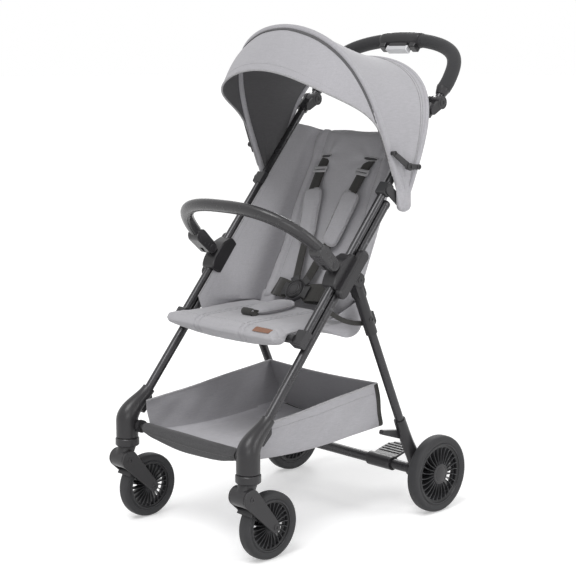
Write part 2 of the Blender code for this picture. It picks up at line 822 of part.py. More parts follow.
def seat_tube(side, hand, mats):
    low = on_side(SEAT_TUBE_LOW, -SEAT_TUBE_FRONT)
    high = on_side(SEAT_TUBE_TOP - SEAT_TUBE_SEAT, -SEAT_TUBE_FRONT)
    bm = rod((SIDE_X, *low), (SIDE_X, *high), SEAT_TUBE_R, 16, (1.0, 0.0, 0.0))
    return make("seat_tube_" + side, mirrored(bm, hand), mats["tube"])


def seat_bar(mats):
    """Seat front bar with a fitting at each end that takes the seat tube's foot."""
    foot = SEAT_TUBE_LOW
    back = -0.0028
    corners = [(foot - 0.010, -0.0222), (foot + 0.026, -0.0222), (foot + 0.026, back), (foot - 0.010, back)]
    outline = rounded(side_outline(corners), 0.005, 2)
    centre = (SEAT_BAR_Y, SEAT_BAR_Z)
    joined = []
    bores = []
    for side, hand in hands():
        block = prism(outline, SIDE_X - 0.0125, SIDE_X + 0.0118)
        joined.append(mirrored(block, hand))
        boss = rod((SIDE_X - 0.011, *centre), (SIDE_X - 0.0185, *centre), SEAT_BAR_R + 0.0028, 12)
        joined.append(mirrored(boss, hand))
        start = on_side(foot - GAP, -SEAT_TUBE_FRONT)
        end = on_side(foot + 0.05, -SEAT_TUBE_FRONT)
        bore = rod((SIDE_X, *start), (SIDE_X, *end), SEAT_TUBE_R + GAP, 16, (1.0, 0.0, 0.0))
        bores.append(mirrored(bore, hand))
    bar = rod((-SIDE_X + 0.012, *centre), (SIDE_X - 0.012, *centre), SEAT_BAR_R, 12)
    return make("seat_bar", combine(bar, joined, bores), mats["tube"])


# Shared curves

def arch(half, height, power_x, power_up, count, low=0.0):
    """Evenly spaced points of an arch as (x, share of height), from -x to +x."""
    fine = []
    for i in range(1201):
        angle = math.pi * (i / 1200 - 0.5)
        x = half * math.copysign(abs(math.sin(angle)) ** power_x, angle)
        up = max(math.cos(angle), 0.0) ** power_up
        if up >= low:
            fine.append((x, up))
    lengths = [0.0]
    for a, b in zip(fine, fine[1:]):
        lengths.append(lengths[-1] + math.hypot(b[0] - a[0], (b[1] - a[1]) * height))
    result = []
    k = 0
    for i in range(count + 1):
        want = lengths[-1] * i / count
        while k < len(lengths) - 2 and lengths[k + 1] < want:
            k += 1
        t = (want - lengths[k]) / max(lengths[k + 1] - lengths[k], 1e-9)
        result.append((mix(fine[k][0], fine[k + 1][0], t), mix(fine[k][1], fine[k + 1][1], t)))
    return result


def sheet(grid, thickness):
    """A closed sheet of even thickness about a grid of points."""
    rings = []
    rows = len(grid)
    columns = len(grid[0])
    for i in range(rows):
        outer = []
        inner = []
        for j in range(columns):
            along = grid[min(i + 1, rows - 1)][j] - grid[max(i - 1, 0)][j]
            across = grid[i][min(j + 1, columns - 1)] - grid[i][max(j - 1, 0)]
            normal = along.cross(across).normalized() * (thickness / 2)
            outer.append(grid[i][j] + normal)
            inner.append(grid[i][j] - normal)
        rings.append(outer + inner[::-1])
    return skin(rings)


# Rear frame

def leg_pivot():
    return on_side(LEG_PIVOT_S, LEG_PIVOT_N)


def on_leg(distance, sideways=0.0):
    """Y and Z of a point down the rear leg from its pivot."""
    top = leg_pivot()
    dy = REAR_LEG_END_Y - top[0]
    dz = REAR_LEG_END_Z - top[1]
    length = math.hypot(dy, dz)
    y = top[0] + distance * dy / length - sideways * dz / length
    z = top[1] + distance * dz / length + sideways * dy / length
    return y, z


def leg_length():
    top = leg_pivot()
    return math.hypot(REAR_LEG_END_Y - top[0], REAR_LEG_END_Z - top[1])


def rear_leg(side, hand, mats):
    start = on_leg(COLLAR_LEN * 0.35)
    end = on_leg(leg_length())
    bm = rod((SIDE_X, *start), (SIDE_X, *end), REAR_LEG_R, 16, (1.0, 0.0, 0.0))
    return make("rear_leg_" + side, mirrored(bm, hand), mats["tube"])


def leg_collar(side, hand, mats):
    """Moulded sleeve with the pivot eye, over the top of the rear leg."""
    eye_line = capsule(leg_pivot(), LEG_EYE_R, on_leg(0.034), LEG_EYE_R, 5)
    eye = prism(eye_line, SIDE_X - LEG_EYE_HALF, SIDE_X + LEG_EYE_HALF)
    path = []
    sizes = []
    for distance, extra in ((0.018, -0.0012), (0.024, 0.0), (COLLAR_LEN, 0.0)):
        path.append((SIDE_X, *on_leg(distance)))
        sizes.append(COLLAR_R + extra)
    sleeve = sweep(path, sizes, ROUND)
    latch_points = [(0.080, 0.008), (0.082, 0.0165), (0.108, 0.0165), (0.114, 0.008)]
    latch_line = rounded([on_leg(d, s) for d, s in latch_points], 0.003, 1)
    latch = prism(latch_line, SIDE_X - 0.0075, SIDE_X + 0.0075)
    bore = rod((SIDE_X, *on_leg(COLLAR_LEN * 0.35 - GAP)), (SIDE_X, *on_leg(0.2)), REAR_LEG_R + GAP, 16, (1.0, 0.0, 0.0))
    pin = rod((SIDE_X - 0.03, *leg_pivot()), (SIDE_X + 0.03, *leg_pivot()), 0.0040 + GAP, 10)
    bm = combine(eye, [sleeve, latch], [bore, pin])
    return make("leg_collar_" + side, mirrored(bm, hand), mats["plastic"])


def rear_hub(side, hand, mats):
    """Casting from the rear leg down to the wheel axle and the cross axle."""
    top = on_leg(leg_length() - 0.012)
    mouth = (SIDE_X, *top)
    outer_x = REAR_WHEEL_X - REAR_WHEEL_W / 2 - 0.002
    path = [mouth, (SIDE_X, *on_leg(leg_length() + 0.006))]
    path.append((mix(SIDE_X, REAR_HUB_X, 0.35), REAR_LEG_END_Y + 0.0165, REAR_LEG_END_Z - 0.040))
    path.append((mix(SIDE_X, REAR_HUB_X, 0.8), CROSS_AXLE_Y - 0.006, CROSS_AXLE_Z + 0.030))
    path.append((REAR_HUB_X, CROSS_AXLE_Y + 0.006, CROSS_AXLE_Z + 0.002))
    path.append((REAR_HUB_X, CROSS_AXLE_Y + 0.014, CROSS_AXLE_Z - 0.012))
    sizes = [(0.0126, 0.0126), (0.0128, 0.0130), (0.0124, 0.0140), (0.0132, 0.0155), (0.0138, 0.0170), (0.0105, 0.0120)]
    body = sweep(path, sizes, 12)
    axle = (REAR_AXLE_Y, REAR_WHEEL_R)
    boss_line = capsule((CROSS_AXLE_Y + 0.004, CROSS_AXLE_Z - 0.001), 0.0165, axle, 0.0145, 6)
    boss = prism(boss_line, REAR_HUB_X - 0.0085, outer_x - 0.0015, 0.0018)
    nave_face = REAR_WHEEL_X - (0.5 * REAR_WHEEL_W * 0.80 - 0.001)
    shoulder = rod((outer_x - 0.005, *axle), (nave_face - HINGE_GAP, *axle), 0.0085, 12)
    pin_end = REAR_WHEEL_X + 0.5 * REAR_WHEEL_W * 0.80 - 0.001 - 0.0014
    pin = rod((outer_x - 0.005, *axle), (pin_end, *axle), AXLE_R, 12)
    inner_x = REAR_HUB_X - 0.0155
    socket = rod((inner_x, CROSS_AXLE_Y, CROSS_AXLE_Z), (REAR_HUB_X, CROSS_AXLE_Y, CROSS_AXLE_Z), 0.0150, 14)
    prong_line = capsule((BASKET_REAR_Y + 0.006, BASKET_FLOOR_Z - 0.002), 0.0050, (REAR_LEG_END_Y + 0.006, 0.172), 0.0095, 4)
    prong = prism(prong_line, SIDE_X - 0.0135, SIDE_X - 0.0025)
    bore = rod((SIDE_X, *on_leg(leg_length() + GAP)), (SIDE_X, *on_leg(leg_length() - 0.05)), REAR_LEG_R + GAP, 16, (1.0, 0.0, 0.0))
    bm = combine(body, [boss, shoulder, pin, socket, prong], [bore])
    return make("rear_hub_" + side, mirrored(bm, hand), mats["plastic"])


def cross_axle(mats):
    end = REAR_HUB_X - 0.0155 - GAP
    centre = (CROSS_AXLE_Y, CROSS_AXLE_Z)
    bm = rod((-end, *centre), (end, *centre), CROSS_AXLE_R, 16)
    return make("cross_axle", bm, mats["tube"])


def brake_pedal(mats):
    """Ribbed paddle on a sleeve that turns on the cross axle."""
    centre = (CROSS_AXLE_Y, CROSS_AXLE_Z)
    low_x = PEDAL_X - PEDAL_HALF
    high_x = PEDAL_X + PEDAL_HALF
    sleeve = rod((low_x, *centre), (high_x, *centre), CROSS_AXLE_R + 0.0042, 16)
    rise = math.radians(14.0)
    plan = [(0.0, -PEDAL_HALF + 0.002), (PEDAL_REACH * 0.72, -PEDAL_HALF + 0.002)]
    plan += [(PEDAL_REACH, -PEDAL_HALF * 0.45), (PEDAL_REACH, PEDAL_HALF * 0.45)]
    plan += [(PEDAL_REACH * 0.72, PEDAL_HALF - 0.002), (0.0, PEDAL_HALF - 0.002)]
    outline = rounded(plan, 0.012, 2)
    place = Matrix.Translation((PEDAL_X, centre[0] + 0.006, centre[1] + 0.009)) @ Matrix.Rotation(rise, 4, "X")
    lay_flat = Matrix(((0.0, 0.0, 1.0, 0.0), (0.0, 1.0, 0.0, 0.0), (1.0, 0.0, 0.0, 0.0), (0.0, 0.0, 0.0, 1.0)))
    paddle = moved(prism(outline, -PEDAL_T / 2, PEDAL_T / 2, 0.0012), place @ lay_flat)
    ribs = []
    for i in range(PEDAL_RIBS):
        at = mix(0.30, 0.88, i / (PEDAL_RIBS - 1)) * PEDAL_REACH
        half = PEDAL_HALF - 0.006 - (0.010 if i == PEDAL_RIBS - 1 else 0.0)
        rib = box((-half, at - 0.0015, PEDAL_T / 2 - 0.0005), (half, at + 0.0015, PEDAL_T / 2 + 0.0016))
        ribs.append(moved(rib, place))
    bore = rod((low_x - 0.01, *centre), (high_x + 0.01, *centre), CROSS_AXLE_R + SLIDE_GAP, 16)
    bm = combine(sleeve, [paddle] + ribs, [bore])
    return make("brake_pedal", bm, mats["plastic"])


# Bumper bar

def bumper_path():
    foot = on_side(BUMPER_S, -BUMPER_N)
    height = math.hypot(BUMPER_CROWN_Y - foot[0], BUMPER_CROWN_Z - foot[1])
    path = []
    for x, up in arch(BUMPER_HALF, height, 0.75, 0.85, 20, 0.12):
        y = foot[0] + (BUMPER_CROWN_Y - foot[0]) * up
        z = foot[1] + (BUMPER_CROWN_Z - foot[1]) * up ** 0.88
        path.append((x, y, z))
    return path


def bumper_bar(mats):
    """Padded U with a forked end on each hub lug."""
    foot = on_side(BUMPER_S, -BUMPER_N)
    path = bumper_path()
    rise = Vector((0.0, BUMPER_CROWN_Z - foot[1], foot[0] - BUMPER_CROWN_Y)).normalized()
    bar = sweep(path, (BUMPER_H, BUMPER_W), 8, tuple(rise))
    joined = []
    slots = []
    first = path[0]
    second = path[2]
    length = math.hypot(second[1] - first[1], second[2] - first[2])
    toward = ((second[1] - first[1]) / length, (second[2] - first[2]) / length)
    far = (foot[0] + toward[0] * 0.040, foot[1] + toward[1] * 0.040)
    for side, hand in hands():
        end = prism(capsule(foot, BUMPER_EYE_R, far, BUMPER_EYE_R + 0.0018, 5), SIDE_X - BUMPER_END_HALF, SIDE_X + BUMPER_END_HALF, 0.0016)
        joined.append(mirrored(end, hand))
        cut_far = (foot[0] + toward[0] * 0.004, foot[1] + toward[1] * 0.004)
        reach = BUMPER_EYE_R + 0.0040
        half = LUG_T / 2 + HINGE_GAP
        slot = prism(capsule((foot[0] - toward[0] * 0.03, foot[1] - toward[1] * 0.03), reach + 0.012, cut_far, reach, 6), SIDE_X - half, SIDE_X + half)
        slots.append(mirrored(slot, hand))
    bm = combine(bar, joined, slots)
    return make("bumper_bar", bm, mats["leatherette"])


# Handle

def handle_place():
    y, z = on_side(SEAT_TUBE_TOP, HANDLE_PIVOT_N)
    return (0.0, y, z)


def handle_direction():
    tilt = math.radians(HANDLE_TILT_DEG)
    return Vector((0.0, math.cos(tilt), math.sin(tilt)))


def handle_path():
    """Centre line of the handle's tube, from foot to foot."""
    foot = Vector(handle_place())
    path = []
    for x, up in arch(HANDLE_HALF, HANDLE_RISE, 1.09, 0.39, HANDLE_STEPS):
        pull = (HANDLE_HALF - SIDE_X) * (1.0 - ease((up - 0.14) / 0.2))
        x -= math.copysign(min(pull, abs(x)), x)
        path.append(foot + handle_direction() * (HANDLE_RISE * up) + Vector((x, 0.0, 0.0)))
    return path


def trimmed(path, start, inside):
    """The part of a path from start to its mirror image, where inside tells a point that is kept."""
    kept = [i for i, place in enumerate(path) if inside(place)]
    first = path[kept[0] - 1].lerp(path[kept[0]], start(path[kept[0] - 1], path[kept[0]]))
    last = Vector((-first.x, first.y, first.z))
    return [first] + [path[i] for i in kept] + [last]


def pipe(path, radius, bore, sides, start_side):
    """A tube with an open bore along a path."""
    frames = frame_along(path, start_side)
    outer = []
    inner = []
    for point, (side, up) in zip(path, frames):
        rings = []
        for size in (radius, bore):
            half_a, half_b = size if isinstance(size, tuple) else (size, size)
            ring = []
            for j in range(sides):
                angle = 2.0 * math.pi * (j + 0.5) / sides
                ring.append(Vector(point) + side * (half_a * math.cos(angle)) + up * (half_b * math.sin(angle)))
            rings.append(ring)
        outer.append(rings[0])
        inner.append(rings[1])
    return skin(outer + inner[::-1], True)


def handle_normal():
    direction = handle_direction()
    return (0.0, -direction.z, direction.y)


def handle_frame(mats):
    """Bent tube with an eye at each end."""
    bar = sweep(handle_path(), HANDLE_R, HANDLE_SIDES, handle_normal())
    place = handle_place()
    joined = []
    for side, hand in hands():
        eye = disc((hand * SIDE_X, place[1], place[2]), HANDLE_EYE_R, HANDLE_EYE_HALF, "X", 14)
        joined.append(eye)
    return make("handle_frame", combine(bar, joined), mats["tube"])


def handle_grip(mats):
    foot = Vector(handle_place())
    direction = handle_direction()

    def height(place):
        return (place - foot).dot(direction)

    def share(a, b):
        return (GRIP_START - height(a)) / (height(b) - height(a))

    kept = trimmed(handle_path(), share, lambda place: height(place) > GRIP_START + 0.001)
    bm = pipe(kept, GRIP_R, HANDLE_R + GAP, HANDLE_SIDES, handle_normal())
    return make("handle_grip", bm, mats["foam"])


def handle_top():
    return Vector(handle_place()) + handle_direction() * HANDLE_RISE


def handle_housing(mats):
    """Shell round the middle of the grip, with a skirt that holds the fold button."""
    kept = trimmed(
        handle_path(),
        lambda a, b: (-HOUSING_HALF - a.x) / (b.x - a.x),
        lambda place: abs(place.x) < HOUSING_HALF - 0.001,
    )
    outer = GRIP_R + GAP + HOUSING_WALL
    shell = sweep(kept, outer, HANDLE_SIDES, handle_normal())
    half = BUTTON_HALF + 0.0035
    skirt = local_block(-half, half, -SKIRT_DEPTH, -0.006, -BUTTON_W - 0.0028, BUTTON_W + 0.0028, 0.003)
    pocket_x = BUTTON_HALF + SLIDE_GAP
    pocket_w = BUTTON_W + SLIDE_GAP
    pocket = local_block(-pocket_x, pocket_x, -SKIRT_DEPTH - 0.02, -GRIP_R - 0.0006, -pocket_w, pocket_w, 0.0)
    bore = sweep(handle_path(), GRIP_R + GAP, HANDLE_SIDES, handle_normal())
    return make("handle_housing", combine(shell, [skirt], [bore, pocket]), mats["plastic"])


def local_block(x0, x1, up0, up1, front0, front1, edge):
    """A block beside the handle's crossbar: up is along the handle, front is square to it."""
    outline = rounded([(up0, front0), (up1, front0), (up1, front1), (up0, front1)], 0.003, 2) if edge else None
    outline = outline or [(up0, front0), (up1, front0), (up1, front1), (up0, front1)]
    block = prism(outline, x0, x1, 0.0012 if edge else 0.0)
    up = handle_direction()
    normal = Vector(handle_normal())
    turn = Matrix((
        (1.0, 0.0, 0.0, 0.0),
        (0.0, up.y, normal.y, 0.0),
        (0.0, up.z, normal.z, 0.0),
        (0.0, 0.0, 0.0, 1.0),
    ))
    middle = handle_top()
    return moved(block, Matrix.Translation(middle) @ turn)


def fold_button(mats):
    bm = local_block(-BUTTON_HALF, BUTTON_HALF, -BUTTON_REACH, -BUTTON_SEAT, -BUTTON_W, BUTTON_W, 0.002)
    return make("fold_button", bm, mats["light_plastic"])


def handle_joint(side, hand, mats):
    """Fork on top of the seat tube that carries the handle's eye."""
    place = handle_place()
    inner = HANDLE_EYE_HALF + HINGE_GAP
    outer = inner + HANDLE_CHEEK_T
    joined = []
    for start, end in ((-outer, -inner), (inner, outer)):
        middle = SIDE_X + (start + end) / 2
        joined.append(disc((middle, place[1], place[2]), HANDLE_EYE_R + 0.0012, (end - start) / 2, "X", 14))
        web_low = on_side(SEAT_TUBE_TOP - 0.030, -SEAT_TUBE_FRONT)
        web = prism(capsule(web_low, 0.0080, (place[1], place[2]), 0.0105, 4), SIDE_X + start + 0.0004, SIDE_X + end - 0.0004)
        joined.append(web)
    low = on_side(SEAT_TUBE_TOP - 0.040, -SEAT_TUBE_FRONT)
    high = on_side(SEAT_TUBE_TOP - HANDLE_EYE_R - 0.0035, -SEAT_TUBE_FRONT)
    cup = rod((SIDE_X, *low), (SIDE_X, *high), SEAT_TUBE_R + 0.0032, 16, (1.0, 0.0, 0.0))
    bridge_low = on_side(SEAT_TUBE_TOP - 0.034, -SEAT_TUBE_FRONT * 0.7)
    bridge_high = on_side(SEAT_TUBE_TOP - HANDLE_EYE_R - 0.0040, -SEAT_TUBE_FRONT * 0.3)
    bridge = sweep([(SIDE_X, *bridge_low), (SIDE_X, *bridge_high)], (outer - 0.002, 0.0070), 10)
    tube_end = on_side(SEAT_TUBE_TOP - SEAT_TUBE_SEAT + GAP, -SEAT_TUBE_FRONT)
    below = on_side(SEAT_TUBE_TOP - 0.12, -SEAT_TUBE_FRONT)
    bore = rod((SIDE_X, *below), (SIDE_X, *tube_end), SEAT_TUBE_R + GAP, 16, (1.0, 0.0, 0.0))
    eye_room = disc((SIDE_X, place[1], place[2]), HANDLE_EYE_R + 0.0022, inner, "X", 16)
    bm = combine(cup, [bridge] + joined, [bore, eye_room])
    return make("handle_joint_" + side, mirrored(bm, hand), mats["plastic"])


# Hood

def hood_foot():
    return Vector((0.0, HOOD_Y, HOOD_Z))


def bow_line(crown_y, crown_z, half, flat, bulge=0.0):
    """Points of a hood bow, with the direction square to its plane, rearwards."""
    crown = Vector((0.0, crown_y, crown_z)) - hood_foot()
    radius = crown.length
    radial = crown.normalized()
    rearward = Vector((0.0, radial.z, -radial.y))
    result = []
    for x, up in arch(half, radius, 1.0, flat, BOW_STEPS):
        place = hood_foot() + radial * (radius * up) + rearward * (bulge * math.sin(math.pi * up))
        result.append((Vector((x, place.y, place.z)), up))
    return result, rearward, radial


def rear_bow_line():
    return bow_line(REAR_BOW_Y, REAR_BOW_Z, HOOD_X + REAR_BOW_OUT, REAR_FLAT, REAR_BULGE)


def bow_sweep(points, rearward, foot_x, radius):
    """A bow that flattens into its foot near the pivot."""
    path = []
    sizes = []
    for place, up in points:
        near = 1.0 - ease((up - 0.06) / 0.24)
        x = math.copysign(mix(abs(place.x), foot_x, near), place.x)
        path.append((x, place.y, place.z))
        sizes.append((radius, mix(radius, EYE_T / 2 - 0.0004, near)))
    return sweep(path, sizes, BOW_SIDES, tuple(rearward))


def hood_bow_front(mats):
    points, rearward, radial = bow_line(BOW_Y, BOW_Z, HOOD_X, HOOD_FLAT)
    bow = bow_sweep(points, rearward, HOOD_X, BOW_R)
    eyes = []
    bores = []
    foot = hood_foot()
    for side, hand in hands():
        eyes.append(disc((hand * HOOD_X, foot.y, foot.z), EYE_R, EYE_T / 2, "X", 12))
        bores.append(disc((hand * HOOD_X, foot.y, foot.z), PIN_R + SLIDE_GAP, EYE_T, "X", 8))
    return make("hood_bow_front", combine(bow, eyes, bores), mats["trim"])


def hood_bow_rear(mats):
    """Rear bow fixed to a clip on each seat tube, with the pin of the front bow."""
    points, rearward, radial = rear_bow_line()
    arm_in = SIDE_X + SEAT_TUBE_R + HOOD_ARM_IN
    arm_out = arm_in + HOOD_ARM_T
    points[0] = (points[0][0].lerp(points[1][0], 0.12), 0.0)
    points[-1] = (points[-1][0].lerp(points[-2][0], 0.12), 0.0)
    bow = bow_sweep(points, rearward, (arm_in + arm_out) / 2, REAR_BOW_R)
    foot = hood_foot()
    along = (foot.y - FOOT_Y) * LINE[0] + (foot.z - FOOT_Z) * LINE[1]
    joined = []
    bores = []
    corners = [(along - 0.014, -0.0215), (along + 0.014, -0.0215), (along + 0.014, -0.0024), (along - 0.014, -0.0024)]
    block_line = rounded(side_outline(corners), 0.004, 1)
    arm_line = capsule(on_side(along, -0.0110), 0.0100, (foot.y, foot.z), 0.0095, 4)
    for side, hand in hands():
        block = prism(block_line, SIDE_X - 0.0118, arm_in + 0.001)
        arm = prism(arm_line, arm_in, arm_out)
        pin = rod((arm_out - 0.002, foot.y, foot.z), (HOOD_X + EYE_T / 2 + 0.001, foot.y, foot.z), PIN_R, 8)
        for piece in (block, arm, pin):
            joined.append(mirrored(piece, hand))
        low = on_side(along - 0.05, -SEAT_TUBE_FRONT)
        high = on_side(along + 0.05, -SEAT_TUBE_FRONT)
        bore = rod((SIDE_X, *low), (SIDE_X, *high), SEAT_TUBE_R + GAP, 16, (1.0, 0.0, 0.0))
        bores.append(mirrored(bore, hand))
    return make("hood_bow_rear", combine(bow, joined, bores), mats["trim"])


def hood_fabric(mats):
    """Cloth stretched between the two bows, sagging a little between them."""
    front, back_a, up_a = bow_line(BOW_Y, BOW_Z, HOOD_X, HOOD_FLAT)
    rear, back_b, up_b = rear_bow_line()
    grid = []
    for (a, up), (b, also) in list(zip(front, rear))[1:-1]:
        row = []
        start = a + back_a * (BOW_FLAT * BOW_R + HEM_GAP)
        end = b - back_b * (BOW_FLAT * REAR_BOW_R + HEM_GAP)
        for j in range(6):
            v = j / 5
            place = start.lerp(end, v)
            sag = HOOD_SAG * math.sin(math.pi * v) * up
            row.append(place - (up_a + up_b).normalized() * sag)
        grid.append(row)
    return make("hood_fabric", sheet(grid, HOOD_SKIN), mats["fabric"], 60.0)


def hood_visor(mats):
    """Front panel of the hood, from the bow to its own hem."""
    front, back, radial = bow_line(BOW_Y, BOW_Z, HOOD_X, HOOD_FLAT)
    off = BOW_FLAT * BOW_R + HEM_GAP
    reach = Vector((0.0, VISOR_Y - BOW_Y, VISOR_Z - BOW_Z))
    grid = []
    for place, up in front[2:-2]:
        share = 0.06 + 0.94 * ease((up - VISOR_START) / (1.02 - VISOR_START))
        start = place - back * off
        row = []
        for j in range(5):
            v = j / 4
            swell = 0.010 * math.sin(math.pi * v) * share
            row.append(start + reach * (v * share) + radial * swell)
        grid.append(row)
    return make("hood_visor", sheet(grid, HOOD_SKIN), mats["fabric"], 60.0)


def stay_places():
    """Ends and elbow of the hood stay, as Y-Z pairs."""
    foot = hood_foot()
    front = foot + (Vector((0.0, BOW_Y, BOW_Z)) - foot) * STAY_FRONT
    crown = Vector((0.0, REAR_BOW_Y, REAR_BOW_Z)) - foot
    rearward = Vector((0.0, crown.z, -crown.y)).normalized()
    rear = foot + crown * STAY_REAR + rearward * (REAR_BULGE * math.sin(math.pi * STAY_REAR))
    elbow = front.lerp(rear, STAY_SPLIT)
    elbow.z -= STAY_DROP
    return (front.y, front.z), (elbow.y, elbow.z), (rear.y, rear.z)


def stay_inner():
    """X of the stay's inner face, clear of both bows."""
    return HOOD_X + max(BOW_R, REAR_BOW_OUT + REAR_BOW_R) + GAP


def stay_rear(side, hand, mats):
    front, elbow, rear = stay_places()
    inner = stay_inner()
    plate = prism(capsule(rear, STAY_W * 0.8, elbow, STAY_W, 5), inner, inner + STAY_T)
    pin = rod((inner + STAY_T / 2, *elbow), (inner + 2 * STAY_T + HINGE_GAP, *elbow), 0.0026, 10)
    bm = combine(plate, [pin])
    return make("hood_stay_rear_" + side, mirrored(bm, hand), mats["plastic"])


def stay_front(side, hand, mats):
    front, elbow, rear = stay_places()
    inner = stay_inner()
    layer = inner + STAY_T + HINGE_GAP
    plate = prism(capsule(front, STAY_W * 0.8, elbow, STAY_W, 5), layer, layer + STAY_T)
    foot = rod((inner, *front), (layer + STAY_T / 2, *front), STAY_W * 0.72, 12)
    hole = rod((inner, *elbow), (layer + STAY_T + 0.01, *elbow), 0.0026 + GAP, 10)
    bm = combine(plate, [foot], [hole])
    return make("hood_stay_front_" + side, mirrored(bm, hand), mats["plastic"])


# Seat, back and harness

def seat_pad(mats):
    """Cushion over the seat bar, crowned, with a rounded front and two double seams."""
    low = SEAT_BAR_Z + SEAT_BAR_R + GAP
    nose = SEAT_BAR_Y - SEAT_BAR_R - 0.003
    top = SEAT_TOP_Z
    loop = [(SEAT_REAR_Y, low + 0.003), (SEAT_REAR_Y - 0.004, low), (mix(nose, SEAT_REAR_Y, 0.5), low), (nose + 0.002, low)]
    loop += [(nose - 0.001, low - 0.005), (nose - 0.010, low - 0.017), (SEAT_FRONT_Y + 0.022, low - 0.020)]
    loop += [(SEAT_FRONT_Y + 0.007, low - 0.016), (SEAT_FRONT_Y, low - 0.006), (SEAT_FRONT_Y + 0.005, top - 0.008)]
    loop += [(SEAT_FRONT_Y + 0.022, top - 0.001), (SEAT_BAR_Y - 0.02, top), (SEAT_BAR_Y + 0.04, top)]
    loop += [(mix(SEAT_BAR_Y, SEAT_REAR_Y, 0.55), top), (SEAT_REAR_Y - 0.02, top), (SEAT_REAR_Y - 0.001, top - 0.0028)]
    seams = (SEAT_SEAM_X - SEAT_SEAM_W / 2, SEAT_SEAM_X + SEAT_SEAM_W / 2)
    stations = [0.0, 0.022, seams[0] - 0.012, seams[0], (seams[0] + seams[1]) / 2, seams[1], seams[1] + 0.012]
    stations += [0.130, SEAT_HALF_W - 0.008, SEAT_HALF_W]
    stations = [-x for x in stations[:0:-1]] + stations
    rings = []
    for x in stations:
        across = abs(x) / SEAT_HALF_W
        crown = SEAT_CROWN * (1.0 - across ** 2.5)
        groove = 0.0022 if abs(abs(x) - seams[0]) < 1e-6 or abs(abs(x) - seams[1]) < 1e-6 else 0.0
        tuck = 0.0
        if across > 0.999:
            tuck = 0.0042
        elif across > 0.94:
            tuck = 0.0012
        ring = []
        for y, z in loop:
            if z > low + 0.004:
                share = (z - low) / (top - low)
                z += crown * share - groove - tuck
            elif z < low - 0.001:
                y += groove + tuck * 1.5
                z += tuck
            ring.append((x, y, z))
        rings.append(ring)
    return make("seat_pad", skin(rings), mats["fabric"], 60.0)


def on_back(x, height, forward):
    lean = math.radians(BACK_LEAN_DEG)
    y = BACK_Y + height * math.sin(lean) - forward * math.cos(lean)
    z = BACK_Z + height * math.cos(lean) + forward * math.sin(lean)
    return Vector((x, y, z))


def back_half(height):
    """Half width of the backrest, with rounded upper corners."""
    half = mix(BACK_HALF_LOW, BACK_HALF_TOP, height / BACK_LEN)
    corner = 0.030
    over = height - (BACK_LEN - corner)
    if over > 0.0:
        half -= corner * (1.0 - math.sqrt(max(1.0 - (over / corner) ** 2, 0.0)))
    return half


def back_pad(mats):
    """Backrest cushion with a middle panel between two side channels."""
    rings = []
    heights = [0.0005, 0.010] + [mix(0.03, BACK_LEN - 0.045, i / 8) for i in range(9)]
    heights += [BACK_LEN - 0.030, BACK_LEN - 0.020, BACK_LEN - 0.010, BACK_LEN - 0.003]
    for height in heights:
        half = back_half(height)
        swell = 1.0
        if height < 0.02 or height > BACK_LEN - 0.012:
            swell = 0.4
        channel = BACK_CHANNEL_X * half / BACK_HALF_LOW
        front = [(half, -0.010), (half * 0.985, -0.003)]
        front += [(channel + 0.016, 0.003 * swell), (channel + 0.005, 0.001), (channel, -0.0022), (channel - 0.006, 0.001)]
        front += [(channel - 0.030, 0.0045 * swell), (0.0, 0.007 * swell)]
        loop = [(x, d) for x, d in front] + [(-x, d) for x, d in reversed(front[:-1])]
        rear = [(-half * 0.97, -BACK_T + 0.002), (-half * 0.5, -BACK_T), (half * 0.5, -BACK_T), (half * 0.97, -BACK_T + 0.002)]
        rings.append([on_back(x, height, d) for x, d in loop + rear])
    return make("back_pad", skin(rings), mats["fabric"], 60.0)


def side_panel(side, hand, mats):
    """Cloth wing between the seat tube's line and the side of the backrest."""
    grid = []
    rows = 8
    for i in range(rows + 1):
        t = i / rows
        along = mix(0.222, PANEL_TOP_S, t)
        y, z = on_side(along, -SEAT_TUBE_FRONT + 0.002)
        start = Vector((PANEL_X, y, max(z, SEAT_TOP_Z + 0.004)))
        height = mix(0.026, BACK_LEN - 0.040, t)
        end = on_back(back_half(height) + PANEL_T / 2 + 0.0006, height, -0.012)
        row = []
        for j in range(6):
            v = j / 5
            place = start.lerp(end, v)
            bow = 0.006 * math.sin(math.pi * v) * (1.0 - t)
            row.append(place + Vector((-bow if v < 0.5 else -bow, 0.0, 0.0)))
        grid.append(row)
    return make("side_panel_" + side, mirrored(sheet(grid, PANEL_T), hand), mats["fabric"], 60.0)


def harness_line(height):
    """Half spacing of the shoulder straps at a height on the back."""
    t = (height - PAD_H_LOW) / (PAD_H_TOP - PAD_H_LOW)
    return mix(PAD_X_LOW, PAD_X_TOP, t)


def shoulder_pad(side, hand, mats):
    path = []
    sizes = []
    steps = 7
    for i in range(steps + 1):
        t = i / steps
        height = mix(PAD_H_LOW, PAD_H_TOP, t)
        path.append(tuple(on_back(harness_line(height), height, PAD_LIFT + 0.0095)))
        round_off = math.sqrt(max(1.0 - (2.0 * t - 1.0) ** 6, 0.0))
        sizes.append((mix(0.006, 0.0215, round_off) * mix(0.86, 1.0, t), mix(0.0025, 0.0062, round_off)))
    bm = sweep(path, sizes, 10, (1.0, 0.0, 0.0))
    return make("shoulder_pad_" + side, mirrored(bm, hand), mats["fabric"])


